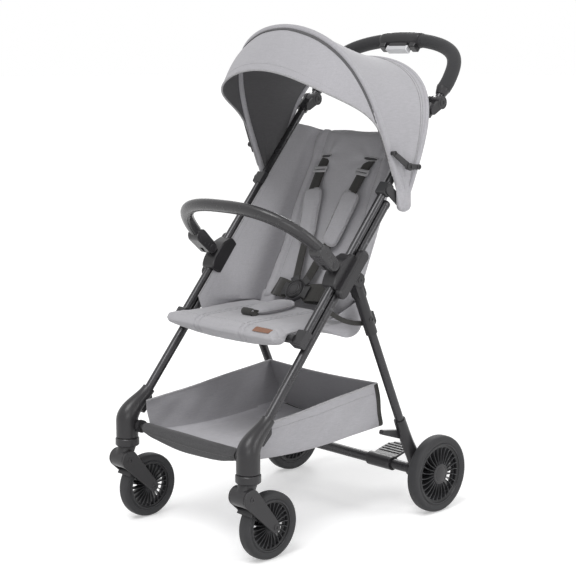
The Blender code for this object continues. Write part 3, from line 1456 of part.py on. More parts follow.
def shoulder_strap(side, hand, mats):
    """Webbing from the back's slot down to the pad, with its adjuster."""
    end = PAD_H_TOP + 0.0015
    top = on_back(SLOT_X, SLOT_H, 0.0062)
    bottom = on_back(harness_line(end), end, PAD_LIFT + 0.0095)
    middle = top.lerp(bottom, 0.5) + Vector((0.0, -0.002, 0.001))
    bm = sweep([top, middle, bottom], (STRAP_W / 2, STRAP_T / 2), 8, (1.0, 0.0, 0.0))
    clasp_a = middle + (top - bottom).normalized() * 0.005
    clasp_b = middle - (top - bottom).normalized() * 0.005
    clasp = sweep([clasp_a, clasp_b], (STRAP_W / 2 + 0.003, 0.0024), 8, (1.0, 0.0, 0.0))
    return make("shoulder_strap_" + side, mirrored(combine(bm, [clasp]), hand), mats["dark_fabric"])


def buckle_frame():
    """Place of the buckle, its outward direction and the direction up its face."""
    tilt = math.radians(BUCKLE_TILT_DEG)
    out = Vector((0.0, -math.cos(tilt), math.sin(tilt)))
    up = Vector((0.0, math.sin(tilt), math.cos(tilt)))
    return Vector((0.0, BUCKLE_Y, BUCKLE_Z)), out, up


def face_turn(profile, steps):
    """Turns (radius, height) pairs about the buckle's axis."""
    place, out, up = buckle_frame()
    rings = []
    for radius, height in profile:
        ring = []
        for i in range(steps):
            angle = 2.0 * math.pi * (i + 0.5) / steps
            ring.append(place + out * height + up * (radius * math.sin(angle)) + Vector((radius * math.cos(angle), 0.0, 0.0)))
        rings.append(ring)
    return rings


def buckle(mats):
    """Round shell with a recess for its button."""
    half = BUCKLE_T / 2
    outside = [(BUCKLE_R - 0.003, -half), (BUCKLE_R, -half + 0.003), (BUCKLE_R, half - 0.003), (BUCKLE_R - 0.003, half)]
    inside = [(BUCKLE_BUTTON_R + SLIDE_GAP, half), (BUCKLE_BUTTON_R + SLIDE_GAP, -half + 0.005)]
    bm = skin(face_turn(outside + inside, 16))
    return make("buckle", bm, mats["plastic"])


def buckle_button(mats):
    half = BUCKLE_T / 2
    floor = -half + 0.005 + BUCKLE_TRAVEL + 0.0006
    profile = [(BUCKLE_BUTTON_R, floor), (BUCKLE_BUTTON_R, half + 0.0005), (BUCKLE_BUTTON_R - 0.002, half + 0.0015)]
    return make("buckle_button", skin(face_turn(profile, 16)), mats["plastic"])


def waist_belt(mats):
    """Webbing behind the buckle, whose ends run back to the foot of the backrest."""
    place, out, up = buckle_frame()
    rear = place - out * (BUCKLE_T / 2 + 4 * GAP + STRAP_T / 2)
    back = on_back(0.0, BELT_END_H, BELT_END_OFF)
    path = []
    for i in range(9):
        u = mix(-1.0, 1.0, i / 8)
        path.append((u * BELT_HALF, mix(rear.y, back.y, abs(u) ** 3), mix(rear.z, back.z, u * u)))
    bm = sweep(path, (STRAP_T / 2 + 0.0002, STRAP_W / 2), 8, tuple(out))
    return make("waist_belt", bm, mats["dark_fabric"])


def crotch_pad(mats):
    """Padded strap that hangs from the buckle and lies forward on the seat."""
    place, out, up = buckle_frame()
    surface = SEAT_TOP_Z + SEAT_CROWN
    lying = surface + CROTCH_T + GAP
    top = place - up * (BUCKLE_R + GAP)
    low = top - up * 0.007
    path = [top, low, Vector((0.0, low.y - 0.012, mix(low.z, lying, 0.62))), Vector((0.0, low.y - 0.026, lying + 0.0008))]
    for i in range(1, 6):
        t = i / 5
        path.append(Vector((CROTCH_SHIFT * t, mix(path[3].y, CROTCH_FRONT_Y, t), lying)))
    widths = (0.010, 0.0125, 0.0165, 0.0175, 0.0178, 0.0178, 0.0175, 0.0150, 0.0080)
    sizes = []
    for i, width in enumerate(widths):
        thick = CROTCH_T * (0.35, 0.5, 0.85, 1.0, 1.0, 1.0, 1.0, 0.9, 0.5)[i]
        sizes.append((width, thick))
    bm = sweep(path, sizes, 10, (1.0, 0.0, 0.0))
    return make("crotch_pad", bm, mats["fabric"])


def basket_lip():
    """Hem of the basket's floor, reaching forward to the crossbar's sleeve."""
    high = BASKET_FLOOR_Z + 0.0035
    low = BASKET_FLOOR_Z - 0.0005
    share = (BAR_Z - high) / (SLEEVE_R + SLEEVE_DROP)
    near = BAR_Y + 0.75 * SLEEVE_R * math.sqrt(max(1.0 - share * share, 0.0)) + GAP
    return box((-0.84 * BASKET_HALF, near, low), (0.84 * BASKET_HALF, BASKET_FRONT_Y + 0.004, high))


def build_chassis(mats, root):
    pieces = [front_crossbar(mats), crossbar_sleeve(mats), basket(mats)]
    for side, hand in hands():
        pieces.append(front_casting(side, hand, mats))
        pieces.append(leg_tube(side, hand, mats))
        pieces.append(side_hub(side, hand, mats))
    carry(root, pieces)
    for side, hand in hands():
        stem = pivot("caster_axis_" + side, (hand * STEM_X, -TRAIL, STEM_LOW), root)
        carry(stem, [caster_head(side, hand, mats)])
        barrel = pivot("suspension_axis_" + side, (hand * STEM_X, BARREL_Y, BARREL_Z), stem)
        carry(barrel, [caster_fork(side, hand, mats)])
        front_wheel(side, hand, mats, barrel)


def build_rear_frame(mats, root):
    hinge = pivot("rear_leg_axis", (0.0, *leg_pivot()), root)
    pieces = [cross_axle(mats)]
    for side, hand in hands():
        pieces += [rear_leg(side, hand, mats), leg_collar(side, hand, mats), rear_hub(side, hand, mats)]
    carry(hinge, pieces)
    for side, hand in hands():
        rear_wheel(side, hand, mats, hinge)
    brake = pivot("brake_axis", (PEDAL_X, CROSS_AXLE_Y, CROSS_AXLE_Z), hinge)
    carry(brake, [brake_pedal(mats)])


def build_seat_frame(mats, root):
    slide = pivot("seat_frame_slide", (0.0, *on_side(SEAT_TUBE_LOW, -SEAT_TUBE_FRONT)), root)
    pieces = [seat_bar(mats), seat_pad(mats), hood_bow_rear(mats), hood_fabric(mats)]
    pieces += [buckle(mats), waist_belt(mats), crotch_pad(mats)]
    for side, hand in hands():
        pieces += [seat_tube(side, hand, mats), handle_joint(side, hand, mats), side_panel(side, hand, mats)]
    carry(slide, pieces)
    place, out, up = buckle_frame()
    carry(pivot("buckle_button_slide", place, slide), [buckle_button(mats)])
    return slide


def build_back(mats, slide):
    crease = pivot("recline_axis", (0.0, BACK_Y, BACK_Z), slide)
    pieces = [back_pad(mats)]
    for side, hand in hands():
        pieces += [shoulder_pad(side, hand, mats), shoulder_strap(side, hand, mats)]
    carry(crease, pieces)


def build_hood(mats, slide):
    front, elbow, rear = stay_places()
    hinge = pivot("hood_axis", hood_foot(), slide)
    carry(hinge, [hood_bow_front(mats), hood_visor(mats)])
    for side, hand in hands():
        x = hand * stay_inner()
        rear_end = pivot("stay_rear_axis_" + side, (x, *rear), slide)
        carry(rear_end, [stay_rear(side, hand, mats)])
        carry(pivot("stay_elbow_axis_" + side, (x, *elbow), rear_end), [stay_front(side, hand, mats)])


def build_handle(mats, slide):
    hinge = pivot("handle_axis", handle_place(), slide)
    carry(hinge, [handle_frame(mats), handle_grip(mats), handle_housing(mats)])
    carry(pivot("fold_button_slide", handle_top(), hinge), [fold_button(mats)])


def build_bumper(mats, root):
    hinge = pivot("bumper_axis", (0.0, *on_side(BUMPER_S, -BUMPER_N)), root)
    carry(hinge, [bumper_bar(mats)])


def centre_on_floor(root):
    """Moves the whole stroller so that the middle of its outline is over the origin."""
    graph = bpy.context.evaluated_depsgraph_get()
    graph.update()
    low = Vector((1e9, 1e9, 1e9))
    high = -low
    for obj in bpy.data.objects:
        if obj.type == "MESH":
            for vert in obj.data.vertices:
                place = vert.co + world_place(obj)
                low = Vector(map(min, low, place))
                high = Vector(map(max, high, place))
    root.location = (-(low.x + high.x) / 2, -(low.y + high.y) / 2, -low.z)


def main():
    clear_scene()
    mats = {
        "plastic": material("charcoal_plastic", (0.035, 0.036, 0.038), 0.55),
        "tube": material("dark_tube", (0.05, 0.05, 0.053), 0.3, 0.7),
        "tyre": material("tyre_rubber", (0.045, 0.045, 0.047), 0.8),
        "rim": material("wheel_plastic", (0.03, 0.03, 0.032), 0.5),
        "fabric": material("grey_fabric", (0.36, 0.36, 0.37), 0.9),
        "dark_fabric": material("charcoal_webbing", (0.04, 0.04, 0.042), 0.85),
        "leatherette": material("black_leatherette", (0.03, 0.03, 0.031), 0.5),
        "foam": material("grip_foam", (0.03, 0.03, 0.032), 0.8),
        "trim": material("grey_binding", (0.28, 0.28, 0.29), 0.85),
        "light_plastic": material("grey_plastic", (0.55, 0.55, 0.56), 0.4),
    }
    root = pivot("stroller", (0.0, 0.0, 0.0))
    build_chassis(mats, root)
    build_bumper(mats, root)
    build_rear_frame(mats, root)
    slide = build_seat_frame(mats, root)
    build_back(mats, slide)
    build_hood(mats, slide)
    build_handle(mats, slide)
    centre_on_floor(root)


main()
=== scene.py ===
"""Looks of the travel stroller: fine meshes, soft goods, materials, light and camera.

Units are metres in the row frame: +Z up, the child faces -Y. Lengths along Y in
the dimensions below are counted from the front axle, as in the part's source,
and SHIFT_Y moves each finished piece into the row frame.
"""
import json
import math

import bmesh
import bpy
from mathutils import Matrix, Vector
from mathutils.bvhtree import BVHTree


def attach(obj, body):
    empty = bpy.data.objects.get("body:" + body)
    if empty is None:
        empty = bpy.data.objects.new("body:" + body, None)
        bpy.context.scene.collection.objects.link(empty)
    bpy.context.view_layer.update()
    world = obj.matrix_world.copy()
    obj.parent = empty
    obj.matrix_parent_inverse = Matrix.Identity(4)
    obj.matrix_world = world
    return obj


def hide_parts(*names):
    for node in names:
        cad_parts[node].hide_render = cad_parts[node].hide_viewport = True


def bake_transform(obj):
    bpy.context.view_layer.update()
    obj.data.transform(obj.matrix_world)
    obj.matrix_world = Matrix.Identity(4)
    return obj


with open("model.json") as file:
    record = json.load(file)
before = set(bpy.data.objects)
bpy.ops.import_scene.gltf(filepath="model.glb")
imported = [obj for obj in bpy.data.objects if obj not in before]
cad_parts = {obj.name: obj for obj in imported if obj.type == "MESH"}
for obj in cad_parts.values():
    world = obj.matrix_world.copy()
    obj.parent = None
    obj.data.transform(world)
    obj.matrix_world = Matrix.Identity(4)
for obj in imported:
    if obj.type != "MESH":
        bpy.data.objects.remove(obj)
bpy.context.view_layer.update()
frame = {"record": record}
SHIFT_Y = -0.262895

# Clearances
GAP = 0.0003                  # between fixed pieces that seat on each other
SLIDE_GAP = 0.0004            # between a sliding tube and its guide
HINGE_GAP = 0.0006            # on each side of a hinge leaf

# Wheels
FRONT_WHEEL_R = 0.0675
FRONT_WHEEL_W = 0.027
FRONT_RIM_R = 0.0525          # where the tyre sits
FRONT_OPEN_R = 0.0448         # outer end of the spokes
FRONT_NAVE_R = 0.0105
REAR_WHEEL_R = 0.083
REAR_WHEEL_W = 0.028
REAR_RIM_R = 0.0665
REAR_OPEN_R = 0.0568
REAR_NAVE_R = 0.0235
FRONT_SPOKES = 24
REAR_SPOKES = 26
AXLE_R = 0.0042
CAP_T = 0.004
CAP_LIP = 0.0015

# Side frame, a plane at each side that holds the two long tubes
SIDE_X = 0.183
FOOT_Y = -0.003
FOOT_Z = 0.283
SLOPE_DEG = 49.99
LEG_TUBE_R = 0.0095
LEG_TUBE_BACK = 0.0105        # its centre line, behind the side frame's line
LEG_TUBE_TOP = 0.505
SEAT_TUBE_R = 0.0085
SEAT_TUBE_FRONT = 0.0095      # its centre line, in front of the side frame's line
SEAT_TUBE_LOW = 0.16
SEAT_TUBE_TOP = 0.7665

# Front casting and caster
STEM_X = 0.187
TRAIL = 0.051
STEM_R = 0.0232
STEM_LOW = 0.1803
STEM_TOP = 0.216
SOCKET_R = 0.0137
SOCKET_DEPTH = 0.018
RING_R = 0.0250
RING_H = 0.0165
BARREL_Y = -0.062
BARREL_Z = 0.136
BARREL_R = 0.0195
FORK_HALF = 0.0240            # outer faces of the fork, from the wheel's middle
ARM_T = 0.0048
ARM_END_R = 0.0115

# Front crossbar and its fabric sleeve
BAR_Y = -0.037
BAR_Z = 0.206
BAR_R = 0.0085
STUB_R = 0.0115
STUB_IN = 0.153               # inner end of the casting's stub
SLEEVE_HALF = 0.142
SLEEVE_DROP = 0.016
SLEEVE_R = 0.0115

# Side hub
HUB_LOW = 0.288
HUB_HIGH = 0.368
HUB_FRONT = 0.0285
HUB_BACK = 0.0232
HUB_IN = 0.0195               # half thickness of the block, inwards
HUB_OUT = 0.0165              # and outwards
PLATE_T = 0.0115
PLATE_R = 0.0128
BUMPER_S = 0.325              # bumper pivot, along the side frame
BUMPER_N = 0.0440             # and in front of it
BUMPER_EYE_R = 0.0125
LUG_T = 0.0090
LEG_PIVOT_S = 0.342
LEG_PIVOT_N = 0.0350
LEG_EYE_R = 0.0115
LEG_EYE_HALF = 0.0105
CHEEK_T = 0.0050
CHEEK_R = 0.0140

# Rear legs and rear axle
REAR_LEG_R = 0.0094
REAR_LEG_END_Y = 0.391
REAR_LEG_END_Z = 0.197
COLLAR_R = 0.0125
COLLAR_LEN = 0.128
REAR_HUB_X = 0.1915
REAR_AXLE_Y = 0.463
REAR_WHEEL_X = 0.2225
CROSS_AXLE_Y = 0.430
CROSS_AXLE_Z = 0.091
CROSS_AXLE_R = 0.0110
PEDAL_X = 0.094
PEDAL_HALF = 0.034
PEDAL_REACH = 0.066
PEDAL_T = 0.0052
PEDAL_RIBS = 5

# Seat
SEAT_BAR_Y = 0.090
SEAT_BAR_Z = 0.418
SEAT_BAR_R = 0.0080
SEAT_SIDE_GAP = 0.020         # from the cushion's side to the middle of the side tube
SEAT_HALF_W = SIDE_X - SEAT_SIDE_GAP
SEAT_FRONT_Y = 0.030
CREASE_GAP = 0.0005           # from the seat's rear end to the backrest's hinge line
SEAT_TOP_Z = 0.437
SEAT_CROWN = 0.003
SEAT_SEAM_X = 0.068
SEAT_SEAM_W = 0.014
BACK_Y = 0.2785
BACK_Z = 0.436
BACK_LEAN_DEG = 24.5
BACK_LEN = 0.418
BACK_HALF_LOW = 0.143
BACK_HALF_TOP = 0.130
BACK_T = 0.024
BACK_CHANNEL_X = 0.098
SLOT_X = 0.066
SLOT_H = 0.343
PAD_H_TOP = 0.263
PAD_H_LOW = 0.138
PAD_X_TOP = 0.058
PAD_X_LOW = 0.034
PAD_LIFT = 0.010
STRAP_W = 0.025
STRAP_T = 0.0018
BELT_HALF = 0.092
BELT_END_H = 0.040
BELT_END_OFF = 0.0052
BUCKLE_Y = 0.258
BUCKLE_Z = 0.478
BUCKLE_R = 0.0205
BUCKLE_T = 0.014
BUCKLE_TILT_DEG = 38.0
BUCKLE_BUTTON_R = 0.0145
BUCKLE_TRAVEL = 0.003
CROTCH_FRONT_Y = 0.125
CROTCH_SHIFT = 0.012

# Bumper bar
BUMPER_HALF = 0.187
BUMPER_CROWN_Y = 0.052
BUMPER_CROWN_Z = 0.671
BUMPER_W = 0.0145
BUMPER_H = 0.0115
BUMPER_END_HALF = 0.0165

# Handle
HANDLE_TILT_DEG = 52.6
HANDLE_PIVOT_N = 0.0          # behind the side frame's line
HANDLE_RISE = 0.166
HANDLE_HALF = 0.186
HANDLE_R = 0.0085
GRIP_R = 0.0150
HANDLE_EYE_R = 0.0125
HANDLE_EYE_HALF = 0.0085
HANDLE_CHEEK_T = 0.0075
SEAT_TUBE_SEAT = 0.0200       # from the handle's pivot down to the tube's end
GRIP_START = 0.035
GRIP_RING_R = 0.0118          # ring at each end of the grip
HOUSING_HALF = 0.036
HOUSING_WALL = 0.0016
SKIRT_DEPTH = 0.0245
BUTTON_HALF = 0.022
BUTTON_W = 0.0065
BUTTON_REACH = 0.0315
BUTTON_SEAT = 0.0218

# Hood
HOOD_Y = 0.370
HOOD_Z = 0.665
HOOD_ARM_IN = 0.0027          # from the seat tube's outer side to the arm
HOOD_ARM_T = 0.0036
BOW_Y = 0.222
BOW_Z = 1.024
REAR_BOW_Y = 0.478
REAR_BOW_Z = 0.962
REAR_BULGE = 0.009
VISOR_Y = 0.150
VISOR_Z = 0.940
VISOR_START = 0.40            # height on the bow where the visor grows, as a share
HOOD_SAG = 0.010
HOOD_FLAT = 0.43              # the lower it is, the squarer the arch
REAR_FLAT = 0.37
BOW_R = 0.0046
REAR_BOW_R = 0.0034
REAR_BOW_OUT = 0.0025          # wider than the front bow at each side
EYE_T = 0.0040
EYE_R = 0.0085
PIN_R = 0.0030
STAY_W = 0.0062
STAY_T = 0.0040
STAY_FRONT = 0.30             # place on the front bow, as a share of its height
STAY_REAR = 0.265
STAY_SPLIT = 0.58
STAY_DROP = 0.011

# Basket
BASKET_HALF = 0.163
BASKET_FRONT_Y = -0.018
BASKET_REAR_Y = 0.336
BASKET_FLOOR_Z = 0.188
BASKET_SAG = 0.010
BASKET_RIM_FRONT_Z = 0.256
BASKET_RIM_REAR_Z = 0.290

SEAT_REAR_Y = BACK_Y - CREASE_GAP
HOOD_X = SIDE_X + SEAT_TUBE_R + HOOD_ARM_IN + HOOD_ARM_T + HINGE_GAP + EYE_T / 2
HANDS = (("left", 1), ("right", -1))
ROUND = 48
BOW_SIDES = 16
HANDLE_STEPS = 96
BOW_STEPS = 96
HANDLE_SIDES = 28
TYRE_STEPS = 120
SLOPE = math.radians(SLOPE_DEG)
LINE = (math.cos(SLOPE), math.sin(SLOPE))
BACKWARD = (math.sin(SLOPE), -math.cos(SLOPE))
ACROSS = Vector((1.0, 0.0, 0.0))
UPRIGHT = Vector((0.0, 0.0, 1.0))
SHIFT = Vector((0.0, SHIFT_Y, 0.0))
CLOTH_T = 0.0016              # the usual thickness of a cloth
CLOTH_ANGLE = 60.0            # edges of cloth flatter than this, in degrees, are shaded smooth
WEBBING_ANGLE = 50.0
MOULDED_ANGLE = 34.0


def finer(count):
    """More sides than the solids have, for round outlines."""
    return count if count >= 28 else count * 3


def eased(path, sizes, steps):
    """A path and its half axes with smooth points between the given ones."""
    points = [Vector(p) for p in path]
    fine_path = []
    fine_sizes = []
    for i in range(len(points) - 1):
        p0 = points[max(i - 1, 0)]
        p1 = points[i]
        p2 = points[i + 1]
        p3 = points[min(i + 2, len(points) - 1)]
        for j in range(steps):
            t = j / steps
            a = p1 * 2.0
            b = (p2 - p0) * t
            c = (p0 * 2.0 - p1 * 5.0 + p2 * 4.0 - p3) * (t * t)
            d = (p1 * 3.0 - p0 - p2 * 3.0 + p3) * (t * t * t)
            fine_path.append((a + b + c + d) * 0.5)
            s1 = sizes[i] if isinstance(sizes[i], tuple) else (sizes[i], sizes[i])
            s2 = sizes[i + 1] if isinstance(sizes[i + 1], tuple) else (sizes[i + 1], sizes[i + 1])
            blend = ease(t)
            fine_sizes.append((mix(s1[0], s2[0], blend), mix(s1[1], s2[1], blend)))
    fine_path.append(points[-1])
    last = sizes[-1] if isinstance(sizes[-1], tuple) else (sizes[-1], sizes[-1])
    fine_sizes.append(last)
    return fine_path, fine_sizes


# Mesh helpers

def on_side(along, behind):
    """Y and Z of a point of the side frame."""
    y = FOOT_Y + along * LINE[0] + behind * BACKWARD[0]
    z = FOOT_Z + along * LINE[1] + behind * BACKWARD[1]
    return y, z


def side_outline(points):
    return [on_side(s, n) for s, n in points]


def polar(cy, cz, radius, angle):
    return cy + radius * math.cos(angle), cz + radius * math.sin(angle)


def mix(a, b, t):
    return a + (b - a) * t


def ease(t):
    t = min(max(t, 0.0), 1.0)
    return t * t * (3.0 - 2.0 * t)


def skin(rings, closed=False):
    """A closed body through rings of equal length."""
    bm = bmesh.new()
    rows = []
    for ring in rings:
        rows.append([bm.verts.new(p) for p in ring])
    count = len(rows[0])
    last = len(rows) if closed else len(rows) - 1
    for i in range(last):
        lower = rows[i]
        upper = rows[(i + 1) % len(rows)]
        for j in range(count):
            k = (j + 1) % count
            bm.faces.new((lower[j], lower[k], upper[k], upper[j]))
    if not closed:
        bm.faces.new(list(reversed(rows[0])))
        bm.faces.new(rows[-1])
    bmesh.ops.recalc_face_normals(bm, faces=bm.faces)
    return bm


def frame_along(path, start_side):
    """Side and upright vectors at each point, carried along the path."""
    frames = []
    side = Vector(start_side)
    for i in range(len(path)):
        before = path[max(i - 1, 0)]
        after = path[min(i + 1, len(path) - 1)]
        forward = (Vector(after) - Vector(before)).normalized()
        side = (side - forward * side.dot(forward)).normalized()
        frames.append((side.copy(), forward.cross(side).normalized()))
    return frames


def sweep(path, size, sides, start_side=(1.0, 0.0, 0.0), closed=False):
    """A tube along a path. size is a radius, a pair of half axes, or one of these per point."""
    sides = finer(sides)
    frames = frame_along(path, start_side)
    rings = []
    for i, point in enumerate(path):
        here = size[i] if isinstance(size, list) else size
        half_a, half_b = here if isinstance(here, tuple) else (here, here)
        side, up = frames[i]
        ring = []
        for j in range(sides):
            angle = 2.0 * math.pi * (j + 0.5) / sides
            offset = side * (half_a * math.cos(angle)) + up * (half_b * math.sin(angle))
            ring.append(Vector(point) + offset)
        rings.append(ring)
    return skin(rings, closed)


def rod(start, end, radius, sides, start_side=None):
    axis = (Vector(end) - Vector(start)).normalized()
    side = start_side or ((0.0, 0.0, 1.0) if abs(axis.z) < 0.7 else (1.0, 0.0, 0.0))
    return sweep([start, end], radius, sides, side)


def side_rod(start, end, radius):
    """A rod in the side frame's plane, between two Y-Z pairs."""
    return rod((SIDE_X, *start), (SIDE_X, *end), radius, 16, (1.0, 0.0, 0.0))


def turned(profile, centre, steps):
    """Turns (radius, height) pairs about the X axis through centre. The profile is a closed loop."""
    bm = bmesh.new()
    rows = []
    for i in range(steps):
        angle = 2.0 * math.pi * (i + 0.5) / steps
        row = []
        for radius, height in profile:
            local = Vector((height, radius * math.cos(angle), radius * math.sin(angle)))
            row.append(bm.verts.new(Vector(centre) + local))
        rows.append(row)
    count = len(profile)
    for i in range(steps):
        here = rows[i]
        there = rows[(i + 1) % steps]
        for j in range(count):
            k = (j + 1) % count
            bm.faces.new((here[j], here[k], there[k], there[j]))
    bmesh.ops.recalc_face_normals(bm, faces=bm.faces)
    return bm


def disc(centre, radius, half, axis, steps, edge=0.0):
    """A short cylinder whose rims are broken by edge."""
    steps = finer(steps)
    outline = [(radius - edge, -half), (radius, -half + edge), (radius, half - edge), (radius - edge, half)]
    if edge == 0.0:
        outline = [(radius, -half), (radius, half)]
    rings = []
    for r, h in outline:
        ring = []
        for i in range(steps):
            angle = 2.0 * math.pi * (i + 0.5) / steps
            a = r * math.cos(angle)
            b = r * math.sin(angle)
            local = (h, a, b) if axis == "X" else (a, b, h)
            ring.append(Vector(centre) + Vector(local))
        rings.append(ring)
    return skin(rings)


def prism(outline, x_low, x_high, edge=0.0):
    """A plate with a Y-Z outline, between two X planes, with broken rims."""
    if edge <= 0.0:
        rings = [[(x, y, z) for y, z in outline] for x in (x_low, x_high)]
        return skin(rings)
    inner = shrink(outline, edge)
    layers = [(x_low, inner), (x_low + edge, outline), (x_high - edge, outline), (x_high, inner)]
    return skin([[(x, y, z) for y, z in loop] for x, loop in layers])


def shrink(outline, distance):
    """The outline moved inwards by a distance, corner by corner."""
    area = 0.0
    count = len(outline)
    for i in range(count):
        y0, z0 = outline[i]
        y1, z1 = outline[(i + 1) % count]
        area += y0 * z1 - y1 * z0
    turn = 1.0 if area > 0.0 else -1.0
    result = []
    for i in range(count):
        p = Vector(outline[i - 1])
        q = Vector(outline[i])
        r = Vector(outline[(i + 1) % count])
        first = (q - p).normalized()
        second = (r - q).normalized()
        normal_a = Vector((-first.y, first.x)) * turn
        normal_b = Vector((-second.y, second.x)) * turn
        bisector = (normal_a + normal_b).normalized()
        cosine = max(bisector.dot(normal_a), 0.4)
        moved = q + bisector * (distance / cosine)
        result.append((moved.x, moved.y))
    return result


def rounded(points, radius, steps):
    """A closed outline whose corners are rounded."""
    steps = steps * 2 + 1
    result = []
    count = len(points)
    for i in range(count):
        p = Vector(points[i - 1])
        q = Vector(points[i])
        r = Vector(points[(i + 1) % count])
        cut = min(radius, 0.45 * (p - q).length, 0.45 * (r - q).length)
        a = q + (p - q).normalized() * cut
        b = q + (r - q).normalized() * cut
        for j in range(steps + 1):
            t = j / steps
            point = a * (1 - t) ** 2 + q * (2 * t * (1 - t)) + b * t ** 2
            result.append((point.x, point.y))
    return result


def capsule(a, radius_a, b, radius_b, steps):
    """The outline around two circles of a plane."""
    steps = steps * 3
    direction = math.atan2(b[1] - a[1], b[0] - a[0])
    length = math.hypot(b[0] - a[0], b[1] - a[1])
    lean = math.asin(max(-0.99, min(0.99, (radius_a - radius_b) / length)))
    result = []
    for i in range(steps + 1):
        angle = direction + math.pi / 2 - lean + (math.pi + 2 * lean) * i / steps
        result.append(polar(a[0], a[1], radius_a, angle))
    for i in range(steps + 1):
        angle = direction - math.pi / 2 + lean + (math.pi - 2 * lean) * i / steps
        result.append(polar(b[0], b[1], radius_b, angle))
    return result


def box(low, high):
    y0, y1 = low[1], high[1]
    z0, z1 = low[2], high[2]
    outline = [(y0, z0), (y1, z0), (y1, z1), (y0, z1)]
    return prism(outline, low[0], high[0])


def moved(bm, matrix):
    bmesh.ops.transform(bm, matrix=matrix, verts=bm.verts)
    if matrix.determinant() < 0.0:
        bmesh.ops.reverse_faces(bm, faces=bm.faces)
    return bm


def mirrored(bm, hand):
    if hand < 0:
        moved(bm, Matrix.Diagonal((-1.0, 1.0, 1.0, 1.0)))
    return bm


def mesh_of(name, bm):
    """A mesh with the geometry of bm, which is freed."""
    mesh = bpy.data.meshes.new(name)
    bm.to_mesh(mesh)
    bm.free()
    return mesh


def placed(name, data):
    """An object of the scene with the given mesh, lamp or camera."""
    obj = bpy.data.objects.new(name, data)
    bpy.context.scene.collection.objects.link(obj)
    return obj


def temp_object(bm):
    return placed("piece", mesh_of("piece", bm))


def combine(base, joined, cut=()):
    """Unions and cuts done with exact Booleans, returned as one mesh."""
    body = temp_object(base)
    others = []
    for operation, group in (("UNION", joined), ("DIFFERENCE", cut)):
        for bm in group:
            tool = temp_object(bm)
            others.append(tool)
            modifier = body.modifiers.new(operation.lower(), "BOOLEAN")
            modifier.operation = operation
            modifier.solver = "EXACT"
            modifier.object = tool
    graph = bpy.context.evaluated_depsgraph_get()
    graph.update()
    result = bmesh.new()
    result.from_mesh(body.evaluated_get(graph).to_mesh())
    for obj in [body] + others:
        mesh = obj.data
        bpy.data.objects.remove(obj, do_unlink=True)
        bpy.data.meshes.remove(mesh)
    bmesh.ops.remove_doubles(result, verts=result.verts, dist=0.000002)
    bmesh.ops.dissolve_degenerate(result, edges=result.edges, dist=0.000002)
    return result


def powered(value, power):
    """The value's size raised to a power, with the value's sign."""
    return math.copysign(abs(value) ** power, value)


def turns(count):
    """Evenly spaced angles of a full turn."""
    return [2.0 * math.pi * k / count for k in range(count)]


def opposite(points, hand):
    """The points, mirrored where hand is -1."""
    return [Vector((hand * p.x, p.y, p.z)) for p in points]


def copy_into(target, source):
    index = {}
    for vert in source.verts:
        index[vert] = target.verts.new(vert.co)
    for face in source.faces:
        target.faces.new([index[v] for v in face.verts])
    source.free()


def arch(half, height, power_x, power_up, count, low=0.0):
    """Evenly spaced points of an arch as (x, share of height), from -x to +x."""
    fine = []
    for i in range(1201):
        angle = math.pi * (i / 1200 - 0.5)
        x = half * powered(math.sin(angle), power_x)
        up = max(math.cos(angle), 0.0) ** power_up
        if up >= low:
            fine.append((x, up))
    lengths = [0.0]
    for a, b in zip(fine, fine[1:]):
        lengths.append(lengths[-1] + math.hypot(b[0] - a[0], (b[1] - a[1]) * height))
    result = []
    k = 0
    for i in range(count + 1):
        want = lengths[-1] * i / count
        while k < len(lengths) - 2 and lengths[k + 1] < want:
            k += 1
        t = (want - lengths[k]) / max(lengths[k + 1] - lengths[k], 1e-9)
        result.append((mix(fine[k][0], fine[k + 1][0], t), mix(fine[k][1], fine[k + 1][1], t)))
    return result


# Hard parts at a finer resolution than the solids

def casting_path():
    mouth = on_side(0.0, LEG_TUBE_BACK)
    start = (-TRAIL, STEM_TOP)
    reach = 0.024
    handle_a = (start[0], start[1] + reach)
    handle_b = (mouth[0] - LINE[0] * reach, mouth[1] - LINE[1] * reach)
    path = [(STEM_X, -TRAIL, STEM_LOW), (STEM_X, -TRAIL, STEM_LOW + 0.002)]
    sizes = [STEM_R - 0.0015, STEM_R]
    steps = 30
    for i in range(steps + 1):
        t = i / steps
        a = (1 - t) ** 3
        b = 3 * t * (1 - t) ** 2
        c = 3 * t * t * (1 - t)
        d = t ** 3
        y = a * start[0] + b * handle_a[0] + c * handle_b[0] + d * mouth[0]
        z = a * start[1] + b * handle_a[1] + c * handle_b[1] + d * mouth[1]
        path.append((mix(STEM_X, SIDE_X, t), y, z))
        sizes.append(mix(STEM_R, SOCKET_R, ease(t * 1.05)))
    return path, sizes


def front_casting(side, hand):
    path, sizes = casting_path()
    body = sweep(path, sizes, ROUND)
    clip_low = on_side(-0.046, LEG_TUBE_BACK + 0.008)
    clip_high = on_side(-0.008, LEG_TUBE_BACK + 0.010)
    clip_tip = on_side(-0.020, LEG_TUBE_BACK + SOCKET_R + 0.0075)
    clip_foot = on_side(-0.052, LEG_TUBE_BACK + SOCKET_R + 0.0035)
    clip_outline = rounded([clip_low, clip_foot, clip_tip, clip_high], 0.004, 1)
    clip = prism(clip_outline, SIDE_X - 0.0072, SIDE_X + 0.0072)
    stub = rod((STEM_X, BAR_Y, BAR_Z), (STUB_IN, BAR_Y, BAR_Z), STUB_R, 14)
    flange = disc((STUB_IN + 0.004, BAR_Y, BAR_Z), STUB_R + 0.0018, 0.004, "X", 14)
    start = on_side(-SOCKET_DEPTH, LEG_TUBE_BACK)
    end = on_side(0.02, LEG_TUBE_BACK)
    bore = side_rod(start, end, LEG_TUBE_R + GAP)
    bm = combine(body, [clip, stub, flange], [bore])
    make("front_hub_" + side, mirrored(bm, hand), mats["plastic"])


